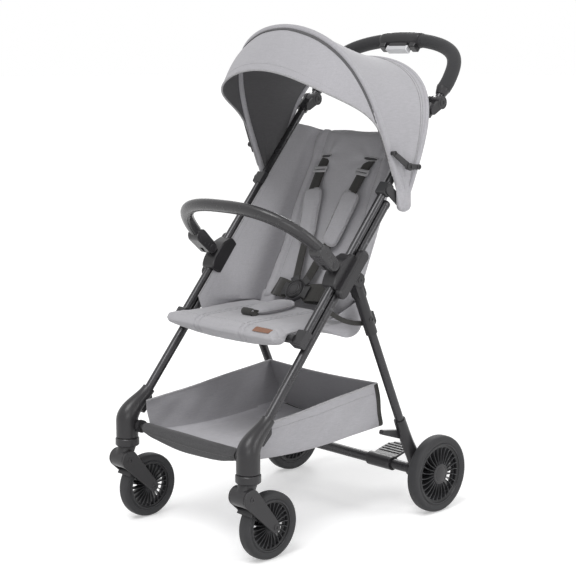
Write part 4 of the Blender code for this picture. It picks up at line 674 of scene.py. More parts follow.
def caster_head(side, hand):
    """Collar ring under the casting, a neck, and the round barrel between the fork's arms."""
    top = STEM_LOW - GAP
    low = top - RING_H
    barrel_half = FORK_HALF - ARM_T - GAP
    ring = disc((STEM_X, -TRAIL, (top + low) / 2), RING_R, RING_H / 2, "Z", ROUND, 0.0018)
    neck_path = [(STEM_X, -TRAIL, low + 0.004), (STEM_X, mix(-TRAIL, BARREL_Y, 0.4), mix(low, BARREL_Z, 0.35))]
    neck_path.append((STEM_X, BARREL_Y, BARREL_Z + 0.004))
    neck = sweep(neck_path, [(0.0185, 0.0195), (0.0172, 0.0185), (0.0165, 0.0175)], 14)
    barrel = disc((STEM_X, BARREL_Y, BARREL_Z), BARREL_R, barrel_half, "X", ROUND)
    bm = combine(ring, [neck, barrel])
    make("caster_head_" + side, mirrored(bm, hand), mats["plastic"])


def caster_fork(side, hand):
    """Two tapered arms, the mudguard bridge between them, and the front axle."""
    barrel = (BARREL_Y, BARREL_Z)
    hub = (0.0, FRONT_WHEEL_R)
    outline = capsule(barrel, BARREL_R + 0.0004, hub, ARM_END_R, 6)
    inner = FORK_HALF - ARM_T
    near = prism(outline, STEM_X + inner, STEM_X + FORK_HALF, 0.0011)
    far = prism(outline, STEM_X - FORK_HALF, STEM_X - inner, 0.0011)
    axle = rod((STEM_X - FORK_HALF + 0.001, *hub), (STEM_X + FORK_HALF - 0.001, *hub), AXLE_R, 16)
    bridge = bridge_outline()
    guard = prism(bridge, STEM_X - inner - 0.0005, STEM_X + inner + 0.0005)
    bm = combine(near, [axle, guard, far])
    make("caster_fork_" + side, mirrored(bm, hand), mats["plastic"])


def bridge_outline():
    """A curved web between barrel and tyre, with an even gap to each."""
    points_out = []
    points_in = []
    tyre_gap = 0.0016
    for i in range(6):
        angle = math.radians(mix(116.0, 152.0, i / 5))
        inner = FRONT_WHEEL_R + tyre_gap
        points_in.append(polar(0.0, FRONT_WHEEL_R, inner, angle))
        away = polar(0.0, FRONT_WHEEL_R, inner + 0.0032, angle)
        distance = math.hypot(away[0] - BARREL_Y, away[1] - BARREL_Z)
        least = BARREL_R + HINGE_GAP
        if distance < least:
            scale = least / distance
            away = (BARREL_Y + (away[0] - BARREL_Y) * scale, BARREL_Z + (away[1] - BARREL_Z) * scale)
        points_out.append(away)
    return points_in + points_out[::-1]


def leg_tube(side, hand):
    """Lower tube with the plug in its upper end."""
    path = []
    sizes = []
    stations = [(-SOCKET_DEPTH + GAP, 0.0), (LEG_TUBE_TOP, 0.0), (LEG_TUBE_TOP + 0.0005, 0.0008)]
    stations += [(LEG_TUBE_TOP + 0.007, 0.0008), (LEG_TUBE_TOP + 0.0105, -0.0004), (LEG_TUBE_TOP + 0.0125, -0.003)]
    for along, extra in stations:
        path.append((SIDE_X, *on_side(along, LEG_TUBE_BACK)))
        sizes.append(LEG_TUBE_R + extra)
    bm = sweep(path, sizes, 16)
    make("front_leg_tube_" + side, mirrored(bm, hand), mats["tube"])


def front_crossbar():
    end = STUB_IN - GAP
    bm = rod((-end, BAR_Y, BAR_Z), (end, BAR_Y, BAR_Z), BAR_R, 16)
    make("front_crossbar", bm, mats["tube"])


def side_hub(side, hand):
    """Moulding that holds the lower tube, guides the seat tube and carries the two pivots."""
    low_x = SIDE_X - HUB_IN
    high_x = SIDE_X + HUB_OUT
    block_points = [(HUB_LOW, -HUB_FRONT * 0.72), (HUB_LOW + 0.020, -HUB_FRONT), (HUB_HIGH - 0.020, -HUB_FRONT)]
    block_points += [(HUB_HIGH + 0.006, -HUB_FRONT * 0.50), (HUB_HIGH, HUB_BACK), (HUB_LOW + 0.006, HUB_BACK)]
    block = prism(rounded(side_outline(block_points), 0.009, 2), low_x, high_x, 0.0025)
    plate_line = capsule(on_side(HUB_LOW + 0.004, 0.004), PLATE_R, on_side(HUB_HIGH + 0.012, 0.006), PLATE_R, 6)
    plate = prism(plate_line, SIDE_X + HUB_OUT - 0.006, SIDE_X + HUB_OUT + PLATE_T, 0.0035)
    pivot_at = on_side(BUMPER_S, -BUMPER_N)
    lug_line = capsule(on_side(BUMPER_S, -HUB_FRONT + 0.006), 0.0100, pivot_at, BUMPER_EYE_R - 0.0015, 5)
    lug = prism(lug_line, SIDE_X - LUG_T / 2, SIDE_X + LUG_T / 2)
    leg_at = on_side(LEG_PIVOT_S, LEG_PIVOT_N)
    root = on_side(LEG_PIVOT_S - 0.004, HUB_BACK - 0.010)
    cheeks = []
    reach = LEG_EYE_HALF + HINGE_GAP
    for start, end in ((-reach - CHEEK_T, -reach), (reach, reach + CHEEK_T)):
        line = capsule(root, 0.0150, leg_at, CHEEK_R, 5)
        cheeks.append(prism(line, SIDE_X + start, SIDE_X + end))
    pin = rod((SIDE_X - reach - 0.001, *leg_at), (SIDE_X + reach + 0.001, *leg_at), 0.0040, 10)
    bores = []
    for offset, radius in ((LEG_TUBE_BACK, LEG_TUBE_R + GAP), (-SEAT_TUBE_FRONT, SEAT_TUBE_R + SLIDE_GAP)):
        start = on_side(HUB_LOW - 0.05, offset)
        end = on_side(HUB_HIGH + 0.08, offset)
        bores.append(side_rod(start, end, radius))
    bm = combine(block, [plate, lug] + cheeks + [pin], bores)
    make("side_hub_" + side, mirrored(bm, hand), mats["plastic"])


def seat_tube(side, hand):
    low = on_side(SEAT_TUBE_LOW, -SEAT_TUBE_FRONT)
    high = on_side(SEAT_TUBE_TOP - SEAT_TUBE_SEAT, -SEAT_TUBE_FRONT)
    bm = side_rod(low, high, SEAT_TUBE_R)
    make("seat_tube_" + side, mirrored(bm, hand), mats["tube"])


def seat_bar():
    """Seat front bar with a fitting at each end that takes the seat tube's foot."""
    foot = SEAT_TUBE_LOW
    back = -0.0028
    corners = [(foot - 0.010, -0.0222), (foot + 0.026, -0.0222), (foot + 0.026, back), (foot - 0.010, back)]
    outline = rounded(side_outline(corners), 0.005, 2)
    centre = (SEAT_BAR_Y, SEAT_BAR_Z)
    joined = []
    bores = []
    for hand in (1, -1):
        block = prism(outline, SIDE_X - 0.0125, SIDE_X + 0.0118)
        joined.append(mirrored(block, hand))
        boss = rod((SIDE_X - 0.011, *centre), (SIDE_X - 0.0185, *centre), SEAT_BAR_R + 0.0028, 12)
        joined.append(mirrored(boss, hand))
        start = on_side(foot - GAP, -SEAT_TUBE_FRONT)
        end = on_side(foot + 0.05, -SEAT_TUBE_FRONT)
        bore = side_rod(start, end, SEAT_TUBE_R + GAP)
        bores.append(mirrored(bore, hand))
    bar = rod((-SIDE_X + 0.012, *centre), (SIDE_X - 0.012, *centre), SEAT_BAR_R, 12)
    make("seat_bar", combine(bar, joined, bores), mats["tube"])


def leg_pivot():
    return on_side(LEG_PIVOT_S, LEG_PIVOT_N)


def on_leg(distance, sideways=0.0):
    """Y and Z of a point down the rear leg from its pivot."""
    top = leg_pivot()
    dy = REAR_LEG_END_Y - top[0]
    dz = REAR_LEG_END_Z - top[1]
    length = math.hypot(dy, dz)
    y = top[0] + distance * dy / length - sideways * dz / length
    z = top[1] + distance * dz / length + sideways * dy / length
    return y, z


def leg_length():
    top = leg_pivot()
    return math.hypot(REAR_LEG_END_Y - top[0], REAR_LEG_END_Z - top[1])


def rear_leg(side, hand):
    start = on_leg(COLLAR_LEN * 0.35)
    end = on_leg(leg_length())
    bm = side_rod(start, end, REAR_LEG_R)
    make("rear_leg_" + side, mirrored(bm, hand), mats["tube"])


def leg_collar(side, hand):
    """Moulded sleeve with the pivot eye, over the top of the rear leg."""
    eye_line = capsule(leg_pivot(), LEG_EYE_R, on_leg(0.034), LEG_EYE_R, 5)
    eye = prism(eye_line, SIDE_X - LEG_EYE_HALF, SIDE_X + LEG_EYE_HALF)
    path = []
    sizes = []
    for distance, extra in ((0.018, -0.0012), (0.024, 0.0), (COLLAR_LEN, 0.0)):
        path.append((SIDE_X, *on_leg(distance)))
        sizes.append(COLLAR_R + extra)
    sleeve = sweep(path, sizes, ROUND)
    latch_points = [(0.080, 0.008), (0.082, 0.0165), (0.108, 0.0165), (0.114, 0.008)]
    latch_line = rounded([on_leg(d, s) for d, s in latch_points], 0.003, 1)
    latch = prism(latch_line, SIDE_X - 0.0075, SIDE_X + 0.0075)
    bore = side_rod(on_leg(COLLAR_LEN * 0.35 - GAP), on_leg(0.2), REAR_LEG_R + GAP)
    pin = rod((SIDE_X - 0.03, *leg_pivot()), (SIDE_X + 0.03, *leg_pivot()), 0.0040 + GAP, 10)
    bm = combine(eye, [sleeve, latch], [bore, pin])
    make("leg_collar_" + side, mirrored(bm, hand), mats["plastic"])


def rear_hub(side, hand):
    """Casting from the rear leg down to the wheel axle and the cross axle."""
    top = on_leg(leg_length() - 0.012)
    mouth = (SIDE_X, *top)
    outer_x = REAR_WHEEL_X - REAR_WHEEL_W / 2 - 0.002
    path = [mouth, (SIDE_X, *on_leg(leg_length() + 0.006))]
    path.append((mix(SIDE_X, REAR_HUB_X, 0.35), REAR_LEG_END_Y + 0.0165, REAR_LEG_END_Z - 0.040))
    path.append((mix(SIDE_X, REAR_HUB_X, 0.8), CROSS_AXLE_Y - 0.006, CROSS_AXLE_Z + 0.030))
    path.append((REAR_HUB_X, CROSS_AXLE_Y + 0.006, CROSS_AXLE_Z + 0.002))
    path.append((REAR_HUB_X, CROSS_AXLE_Y + 0.014, CROSS_AXLE_Z - 0.012))
    sizes = [(0.0126, 0.0126), (0.0128, 0.0130), (0.0124, 0.0140), (0.0132, 0.0155), (0.0138, 0.0170), (0.0105, 0.0120)]
    body = sweep(*eased(path, sizes, 6), 12)
    axle = (REAR_AXLE_Y, REAR_WHEEL_R)
    boss_line = capsule((CROSS_AXLE_Y + 0.004, CROSS_AXLE_Z - 0.001), 0.0165, axle, 0.0145, 6)
    boss = prism(boss_line, REAR_HUB_X - 0.0085, outer_x - 0.0015, 0.0018)
    nave_face = REAR_WHEEL_X - (0.5 * REAR_WHEEL_W * 0.80 - 0.001)
    shoulder = rod((outer_x - 0.005, *axle), (nave_face - HINGE_GAP, *axle), 0.0085, 12)
    pin_end = REAR_WHEEL_X + 0.5 * REAR_WHEEL_W * 0.80 - 0.001 - 0.0014
    pin = rod((outer_x - 0.005, *axle), (pin_end, *axle), AXLE_R, 12)
    inner_x = REAR_HUB_X - 0.0155
    socket = rod((inner_x, CROSS_AXLE_Y, CROSS_AXLE_Z), (REAR_HUB_X, CROSS_AXLE_Y, CROSS_AXLE_Z), 0.0150, 14)
    prong_tip = (BASKET_REAR_Y + 0.006, BASKET_FLOOR_Z - 0.002)
    prong_line = capsule(prong_tip, 0.0050, (REAR_LEG_END_Y + 0.006, 0.172), 0.0095, 4)
    prong = prism(prong_line, SIDE_X - 0.0135, SIDE_X - 0.0025)
    bore = side_rod(on_leg(leg_length() + GAP), on_leg(leg_length() - 0.05), REAR_LEG_R + GAP)
    bm = combine(body, [boss, shoulder, pin, socket, prong], [bore])
    make("rear_hub_" + side, mirrored(bm, hand), mats["plastic"])


def cross_axle():
    end = REAR_HUB_X - 0.0155 - GAP
    centre = (CROSS_AXLE_Y, CROSS_AXLE_Z)
    bm = rod((-end, *centre), (end, *centre), CROSS_AXLE_R, 16)
    make("cross_axle", bm, mats["tube"])


def brake_pedal():
    """Ribbed paddle on a sleeve that turns on the cross axle."""
    centre = (CROSS_AXLE_Y, CROSS_AXLE_Z)
    low_x = PEDAL_X - PEDAL_HALF
    high_x = PEDAL_X + PEDAL_HALF
    sleeve = rod((low_x, *centre), (high_x, *centre), CROSS_AXLE_R + 0.0042, 16)
    rise = math.radians(14.0)
    plan = [(0.0, -PEDAL_HALF + 0.002), (PEDAL_REACH * 0.72, -PEDAL_HALF + 0.002)]
    plan += [(PEDAL_REACH, -PEDAL_HALF * 0.45), (PEDAL_REACH, PEDAL_HALF * 0.45)]
    plan += [(PEDAL_REACH * 0.72, PEDAL_HALF - 0.002), (0.0, PEDAL_HALF - 0.002)]
    outline = rounded(plan, 0.012, 2)
    place = Matrix.Translation((PEDAL_X, centre[0] + 0.006, centre[1] + 0.009)) @ Matrix.Rotation(rise, 4, "X")
    lay_flat = Matrix(((0.0, 0.0, 1.0, 0.0), (0.0, 1.0, 0.0, 0.0), (1.0, 0.0, 0.0, 0.0), (0.0, 0.0, 0.0, 1.0)))
    paddle = moved(prism(outline, -PEDAL_T / 2, PEDAL_T / 2, 0.0012), place @ lay_flat)
    ribs = []
    for i in range(PEDAL_RIBS):
        at = mix(0.30, 0.88, i / (PEDAL_RIBS - 1)) * PEDAL_REACH
        half = PEDAL_HALF - 0.006 - (0.010 if i == PEDAL_RIBS - 1 else 0.0)
        rib = box((-half, at - 0.0015, PEDAL_T / 2 - 0.0005), (half, at + 0.0015, PEDAL_T / 2 + 0.0016))
        ribs.append(moved(rib, place))
    bore = rod((low_x - 0.01, *centre), (high_x + 0.01, *centre), CROSS_AXLE_R + SLIDE_GAP, 16)
    bm = combine(sleeve, [paddle] + ribs, [bore])
    make("brake_pedal", bm, mats["plastic"])


def bumper_path():
    foot = on_side(BUMPER_S, -BUMPER_N)
    height = math.hypot(BUMPER_CROWN_Y - foot[0], BUMPER_CROWN_Z - foot[1])
    path = []
    for x, up in arch(BUMPER_HALF, height, 0.75, 0.85, 96, 0.12):
        y = foot[0] + (BUMPER_CROWN_Y - foot[0]) * up
        z = foot[1] + (BUMPER_CROWN_Z - foot[1]) * up ** 0.88
        path.append((x, y, z))
    return path


def bumper_bar():
    """Padded U with a forked end on each hub lug."""
    foot = on_side(BUMPER_S, -BUMPER_N)
    path = bumper_path()
    rise = Vector((0.0, BUMPER_CROWN_Z - foot[1], foot[0] - BUMPER_CROWN_Y)).normalized()
    bar = sweep(path, (BUMPER_H, BUMPER_W), 8, rise)
    joined = []
    slots = []
    first = path[0]
    second = path[9]
    length = math.hypot(second[1] - first[1], second[2] - first[2])
    toward = ((second[1] - first[1]) / length, (second[2] - first[2]) / length)
    far = (foot[0] + toward[0] * 0.040, foot[1] + toward[1] * 0.040)
    for hand in (1, -1):
        end_line = capsule(foot, BUMPER_EYE_R, far, BUMPER_EYE_R + 0.0018, 5)
        end = prism(end_line, SIDE_X - BUMPER_END_HALF, SIDE_X + BUMPER_END_HALF, 0.0016)
        joined.append(mirrored(end, hand))
        cut_far = (foot[0] + toward[0] * 0.004, foot[1] + toward[1] * 0.004)
        reach = BUMPER_EYE_R + 0.0040
        half = LUG_T / 2 + HINGE_GAP
        cut_near = (foot[0] - toward[0] * 0.03, foot[1] - toward[1] * 0.03)
        slot = prism(capsule(cut_near, reach + 0.012, cut_far, reach, 6), SIDE_X - half, SIDE_X + half)
        slots.append(mirrored(slot, hand))
    bm = combine(bar, joined, slots)
    make("bumper_bar", bm, mats["leatherette"])


def handle_place():
    y, z = on_side(SEAT_TUBE_TOP, HANDLE_PIVOT_N)
    return (0.0, y, z)


def handle_direction():
    tilt = math.radians(HANDLE_TILT_DEG)
    return Vector((0.0, math.cos(tilt), math.sin(tilt)))


def handle_path():
    """Centre line of the handle's tube, from foot to foot."""
    foot = Vector(handle_place())
    path = []
    for x, up in arch(HANDLE_HALF, HANDLE_RISE, 1.09, 0.39, HANDLE_STEPS):
        pull = (HANDLE_HALF - SIDE_X) * (1.0 - ease((up - 0.14) / 0.2))
        x -= math.copysign(min(pull, abs(x)), x)
        path.append(foot + handle_direction() * (HANDLE_RISE * up) + Vector((x, 0.0, 0.0)))
    return path


def trimmed(path, start, inside):
    """The part of a path from start to its mirror image, where inside tells a point that is kept."""
    kept = [i for i, place in enumerate(path) if inside(place)]
    first = path[kept[0] - 1].lerp(path[kept[0]], start(path[kept[0] - 1], path[kept[0]]))
    last = Vector((-first.x, first.y, first.z))
    return [first] + [path[i] for i in kept] + [last]


def pipe(path, radius, bore, sides, start_side):
    """A tube with an open bore along a path."""
    frames = frame_along(path, start_side)
    outer = []
    inner = []
    for point, (side, up) in zip(path, frames):
        rings = []
        for size in (radius, bore):
            half_a, half_b = size if isinstance(size, tuple) else (size, size)
            ring = []
            for j in range(sides):
                angle = 2.0 * math.pi * (j + 0.5) / sides
                ring.append(Vector(point) + side * (half_a * math.cos(angle)) + up * (half_b * math.sin(angle)))
            rings.append(ring)
        outer.append(rings[0])
        inner.append(rings[1])
    return skin(outer + inner[::-1], True)


def handle_normal():
    direction = handle_direction()
    return (0.0, -direction.z, direction.y)


def handle_frame():
    """Bent tube with an eye at each end."""
    bar = sweep(handle_path(), HANDLE_R, HANDLE_SIDES, handle_normal())
    place = handle_place()
    joined = []
    for hand in (1, -1):
        eye = disc((hand * SIDE_X, place[1], place[2]), HANDLE_EYE_R, HANDLE_EYE_HALF, "X", 14)
        joined.append(eye)
    make("handle_frame", combine(bar, joined), mats["tube"])


def handle_grip():
    foot = Vector(handle_place())
    direction = handle_direction()

    def height(place):
        return (place - foot).dot(direction)

    def share(a, b):
        return (GRIP_START - height(a)) / (height(b) - height(a))

    kept = trimmed(handle_path(), share, lambda place: height(place) > GRIP_START + 0.001)
    bm = pipe(kept, GRIP_R, HANDLE_R + GAP, HANDLE_SIDES, handle_normal())
    make("handle_grip", bm, mats["foam"])


def handle_top():
    return Vector(handle_place()) + handle_direction() * HANDLE_RISE


def handle_housing():
    """Shell round the middle of the grip, with a skirt that holds the fold button."""
    kept = trimmed(
        handle_path(),
        lambda a, b: (-HOUSING_HALF - a.x) / (b.x - a.x),
        lambda place: abs(place.x) < HOUSING_HALF - 0.001,
    )
    outer = GRIP_R + GAP + HOUSING_WALL
    shell = sweep(kept, outer, HANDLE_SIDES, handle_normal())
    half = BUTTON_HALF + 0.0035
    skirt = local_block(-half, half, -SKIRT_DEPTH, -0.006, -BUTTON_W - 0.0028, BUTTON_W + 0.0028, 0.003)
    pocket_x = BUTTON_HALF + SLIDE_GAP
    pocket_w = BUTTON_W + SLIDE_GAP
    pocket = local_block(-pocket_x, pocket_x, -SKIRT_DEPTH - 0.02, -GRIP_R - 0.0006, -pocket_w, pocket_w, 0.0)
    bore = sweep(handle_path(), GRIP_R + GAP, HANDLE_SIDES, handle_normal())
    make("handle_housing", combine(shell, [skirt], [bore, pocket]), mats["plastic"])


def local_block(x0, x1, up0, up1, front0, front1, edge):
    """A block beside the handle's crossbar: up is along the handle, front is square to it."""
    outline = rounded([(up0, front0), (up1, front0), (up1, front1), (up0, front1)], 0.003, 2) if edge else None
    outline = outline or [(up0, front0), (up1, front0), (up1, front1), (up0, front1)]
    block = prism(outline, x0, x1, 0.0012 if edge else 0.0)
    up = handle_direction()
    normal = Vector(handle_normal())
    turn = Matrix((
        (1.0, 0.0, 0.0, 0.0),
        (0.0, up.y, normal.y, 0.0),
        (0.0, up.z, normal.z, 0.0),
        (0.0, 0.0, 0.0, 1.0),
    ))
    middle = handle_top()
    return moved(block, Matrix.Translation(middle) @ turn)


def handle_joint(side, hand):
    """Fork on top of the seat tube that carries the handle's eye."""
    place = handle_place()
    inner = HANDLE_EYE_HALF + HINGE_GAP
    outer = inner + HANDLE_CHEEK_T
    joined = []
    for start, end in ((-outer, -inner), (inner, outer)):
        middle = SIDE_X + (start + end) / 2
        joined.append(disc((middle, place[1], place[2]), HANDLE_EYE_R + 0.0012, (end - start) / 2, "X", 14))
        web_low = on_side(SEAT_TUBE_TOP - 0.030, -SEAT_TUBE_FRONT)
        web_line = capsule(web_low, 0.0080, (place[1], place[2]), 0.0105, 4)
        web = prism(web_line, SIDE_X + start + 0.0004, SIDE_X + end - 0.0004)
        joined.append(web)
    low = on_side(SEAT_TUBE_TOP - 0.040, -SEAT_TUBE_FRONT)
    high = on_side(SEAT_TUBE_TOP - HANDLE_EYE_R - 0.0035, -SEAT_TUBE_FRONT)
    cup = rod((SIDE_X, *low), (SIDE_X, *high), SEAT_TUBE_R + 0.0032, 16, (1.0, 0.0, 0.0))
    bridge_low = on_side(SEAT_TUBE_TOP - 0.034, -SEAT_TUBE_FRONT * 0.7)
    bridge_high = on_side(SEAT_TUBE_TOP - HANDLE_EYE_R - 0.0040, -SEAT_TUBE_FRONT * 0.3)
    bridge = sweep([(SIDE_X, *bridge_low), (SIDE_X, *bridge_high)], (outer - 0.002, 0.0070), 10)
    tube_end = on_side(SEAT_TUBE_TOP - SEAT_TUBE_SEAT + GAP, -SEAT_TUBE_FRONT)
    below = on_side(SEAT_TUBE_TOP - 0.12, -SEAT_TUBE_FRONT)
    bore = side_rod(below, tube_end, SEAT_TUBE_R + GAP)
    eye_room = disc((SIDE_X, place[1], place[2]), HANDLE_EYE_R + 0.0022, inner, "X", 16)
    bm = combine(cup, [bridge] + joined, [bore, eye_room])
    make("handle_joint_" + side, mirrored(bm, hand), mats["plastic"])


def hood_foot():
    return Vector((0.0, HOOD_Y, HOOD_Z))


def bow_line(crown_y, crown_z, half, flat, bulge=0.0):
    """Points of a hood bow, with the direction square to its plane, rearwards."""
    crown = Vector((0.0, crown_y, crown_z)) - hood_foot()
    radius = crown.length
    radial = crown.normalized()
    rearward = Vector((0.0, radial.z, -radial.y))
    result = []
    for x, up in arch(half, radius, 1.0, flat, BOW_STEPS):
        place = hood_foot() + radial * (radius * up) + rearward * (bulge * math.sin(math.pi * up))
        result.append((Vector((x, place.y, place.z)), up))
    return result, rearward, radial


def rear_bow_line():
    return bow_line(REAR_BOW_Y, REAR_BOW_Z, HOOD_X + REAR_BOW_OUT, REAR_FLAT, REAR_BULGE)


def bow_sweep(points, rearward, foot_x, radius):
    """A bow that flattens into its foot near the pivot."""
    path = []
    sizes = []
    for place, up in points:
        near = 1.0 - ease((up - 0.06) / 0.24)
        x = math.copysign(mix(abs(place.x), foot_x, near), place.x)
        path.append((x, place.y, place.z))
        sizes.append((radius, mix(radius, EYE_T / 2 - 0.0004, near)))
    return sweep(path, sizes, BOW_SIDES, rearward)


def hood_bow_front():
    points, rearward, _ = bow_line(BOW_Y, BOW_Z, HOOD_X, HOOD_FLAT)
    bow = bow_sweep(points, rearward, HOOD_X, BOW_R)
    eyes = []
    bores = []
    foot = hood_foot()
    for hand in (1, -1):
        eyes.append(disc((hand * HOOD_X, foot.y, foot.z), EYE_R, EYE_T / 2, "X", 12))
        bores.append(disc((hand * HOOD_X, foot.y, foot.z), PIN_R + SLIDE_GAP, EYE_T, "X", 8))
    make("hood_bow_front", combine(bow, eyes, bores), mats["trim"])


def hood_bow_rear():
    """Rear bow fixed to a clip on each seat tube, with the pin of the front bow."""
    points, rearward, _ = rear_bow_line()
    arm_in = SIDE_X + SEAT_TUBE_R + HOOD_ARM_IN
    arm_out = arm_in + HOOD_ARM_T
    points[0] = (points[0][0].lerp(points[1][0], 0.12), 0.0)
    points[-1] = (points[-1][0].lerp(points[-2][0], 0.12), 0.0)
    bow = bow_sweep(points, rearward, (arm_in + arm_out) / 2, REAR_BOW_R)
    foot = hood_foot()
    along = (foot.y - FOOT_Y) * LINE[0] + (foot.z - FOOT_Z) * LINE[1]
    joined = []
    bores = []
    corners = [(along - 0.014, -0.0215), (along + 0.014, -0.0215), (along + 0.014, -0.0024), (along - 0.014, -0.0024)]
    block_line = rounded(side_outline(corners), 0.004, 1)
    arm_line = capsule(on_side(along, -0.0110), 0.0100, (foot.y, foot.z), 0.0095, 4)
    for hand in (1, -1):
        block = prism(block_line, SIDE_X - 0.0118, arm_in + 0.001)
        arm = prism(arm_line, arm_in, arm_out)
        pin = rod((arm_out - 0.002, foot.y, foot.z), (HOOD_X + EYE_T / 2 + 0.001, foot.y, foot.z), PIN_R, 8)
        for piece in (block, arm, pin):
            joined.append(mirrored(piece, hand))
        low = on_side(along - 0.05, -SEAT_TUBE_FRONT)
        high = on_side(along + 0.05, -SEAT_TUBE_FRONT)
        bore = side_rod(low, high, SEAT_TUBE_R + GAP)
        bores.append(mirrored(bore, hand))
    make("hood_bow_rear", combine(bow, joined, bores), mats["trim"])


def stay_places():
    """Ends and elbow of the hood stay, as Y-Z pairs."""
    foot = hood_foot()
    front = foot + (Vector((0.0, BOW_Y, BOW_Z)) - foot) * STAY_FRONT
    crown = Vector((0.0, REAR_BOW_Y, REAR_BOW_Z)) - foot
    rearward = Vector((0.0, crown.z, -crown.y)).normalized()
    rear = foot + crown * STAY_REAR + rearward * (REAR_BULGE * math.sin(math.pi * STAY_REAR))
    elbow = front.lerp(rear, STAY_SPLIT)
    elbow.z -= STAY_DROP
    return (front.y, front.z), (elbow.y, elbow.z), (rear.y, rear.z)


def stay_inner():
    """X of the stay's inner face, clear of both bows."""
    return HOOD_X + max(BOW_R, REAR_BOW_OUT + REAR_BOW_R) + GAP


def stay_rear(side, hand):
    _, elbow, rear = stay_places()
    inner = stay_inner()
    plate = prism(capsule(rear, STAY_W * 0.8, elbow, STAY_W, 5), inner, inner + STAY_T)
    pin = rod((inner + STAY_T / 2, *elbow), (inner + 2 * STAY_T + HINGE_GAP, *elbow), 0.0026, 10)
    bm = combine(plate, [pin])
    make("hood_stay_rear_" + side, mirrored(bm, hand), mats["plastic"])


def stay_front(side, hand):
    front, elbow, _ = stay_places()
    inner = stay_inner()
    layer = inner + STAY_T + HINGE_GAP
    plate = prism(capsule(front, STAY_W * 0.8, elbow, STAY_W, 5), layer, layer + STAY_T)
    foot = rod((inner, *front), (layer + STAY_T / 2, *front), STAY_W * 0.72, 12)
    hole = rod((inner, *elbow), (layer + STAY_T + 0.01, *elbow), 0.0026 + GAP, 10)
    bm = combine(plate, [foot], [hole])
    make("hood_stay_front_" + side, mirrored(bm, hand), mats["plastic"])


def on_back(x, height, forward):
    lean = math.radians(BACK_LEAN_DEG)
    y = BACK_Y + height * math.sin(lean) - forward * math.cos(lean)
    z = BACK_Z + height * math.cos(lean) + forward * math.sin(lean)
    return Vector((x, y, z))


def back_out():
    """Direction square to the backrest, forwards."""
    return (on_back(0, 0, 1.0) - on_back(0, 0, 0.0)).normalized()


def back_half(height):
    """Half width of the backrest, with rounded upper corners."""
    half = mix(BACK_HALF_LOW, BACK_HALF_TOP, height / BACK_LEN)
    corner = 0.030
    over = height - (BACK_LEN - corner)
    if over > 0.0:
        half -= corner * (1.0 - math.sqrt(max(1.0 - (over / corner) ** 2, 0.0)))
    return half


def harness_line(height):
    """Half spacing of the shoulder straps at a height on the back."""
    t = (height - PAD_H_LOW) / (PAD_H_TOP - PAD_H_LOW)
    return mix(PAD_X_LOW, PAD_X_TOP, t)


def harness_along(height):
    """Direction of a shoulder strap up the back."""
    above = height + 0.01
    return (on_back(harness_line(above), above, 0) - on_back(harness_line(height), height, 0)).normalized()


def buckle_frame():
    """Place of the buckle, its outward direction and the direction up its face."""
    tilt = math.radians(BUCKLE_TILT_DEG)
    out = Vector((0.0, -math.cos(tilt), math.sin(tilt)))
    up = Vector((0.0, math.sin(tilt), math.cos(tilt)))
    return Vector((0.0, BUCKLE_Y, BUCKLE_Z)), out, up


def face_turn(profile):
    """Turns (radius, height) pairs about the buckle's axis."""
    steps = ROUND
    place, out, up = buckle_frame()
    rings = []
    for radius, height in profile:
        ring = []
        for i in range(steps):
            angle = 2.0 * math.pi * (i + 0.5) / steps
            level = Vector((radius * math.cos(angle), 0.0, 0.0))
            ring.append(place + out * height + up * (radius * math.sin(angle)) + level)
        rings.append(ring)
    return rings


def buckle():
    """Round shell with a recess for its button."""
    half = BUCKLE_T / 2
    outside = [(BUCKLE_R - 0.003, -half), (BUCKLE_R, -half + 0.003), (BUCKLE_R, half - 0.003), (BUCKLE_R - 0.003, half)]
    inside = [(BUCKLE_BUTTON_R + SLIDE_GAP, half), (BUCKLE_BUTTON_R + SLIDE_GAP, -half + 0.005)]
    bm = skin(face_turn(outside + inside))
    make("buckle", bm, mats["plastic"])


def buckle_button():
    half = BUCKLE_T / 2
    floor = -half + 0.005 + BUCKLE_TRAVEL + 0.0006
    profile = [(BUCKLE_BUTTON_R, floor), (BUCKLE_BUTTON_R, half + 0.0005), (BUCKLE_BUTTON_R - 0.002, half + 0.0015)]
    make("buckle_button", skin(face_turn(profile)), mats["plastic"])


# Materials

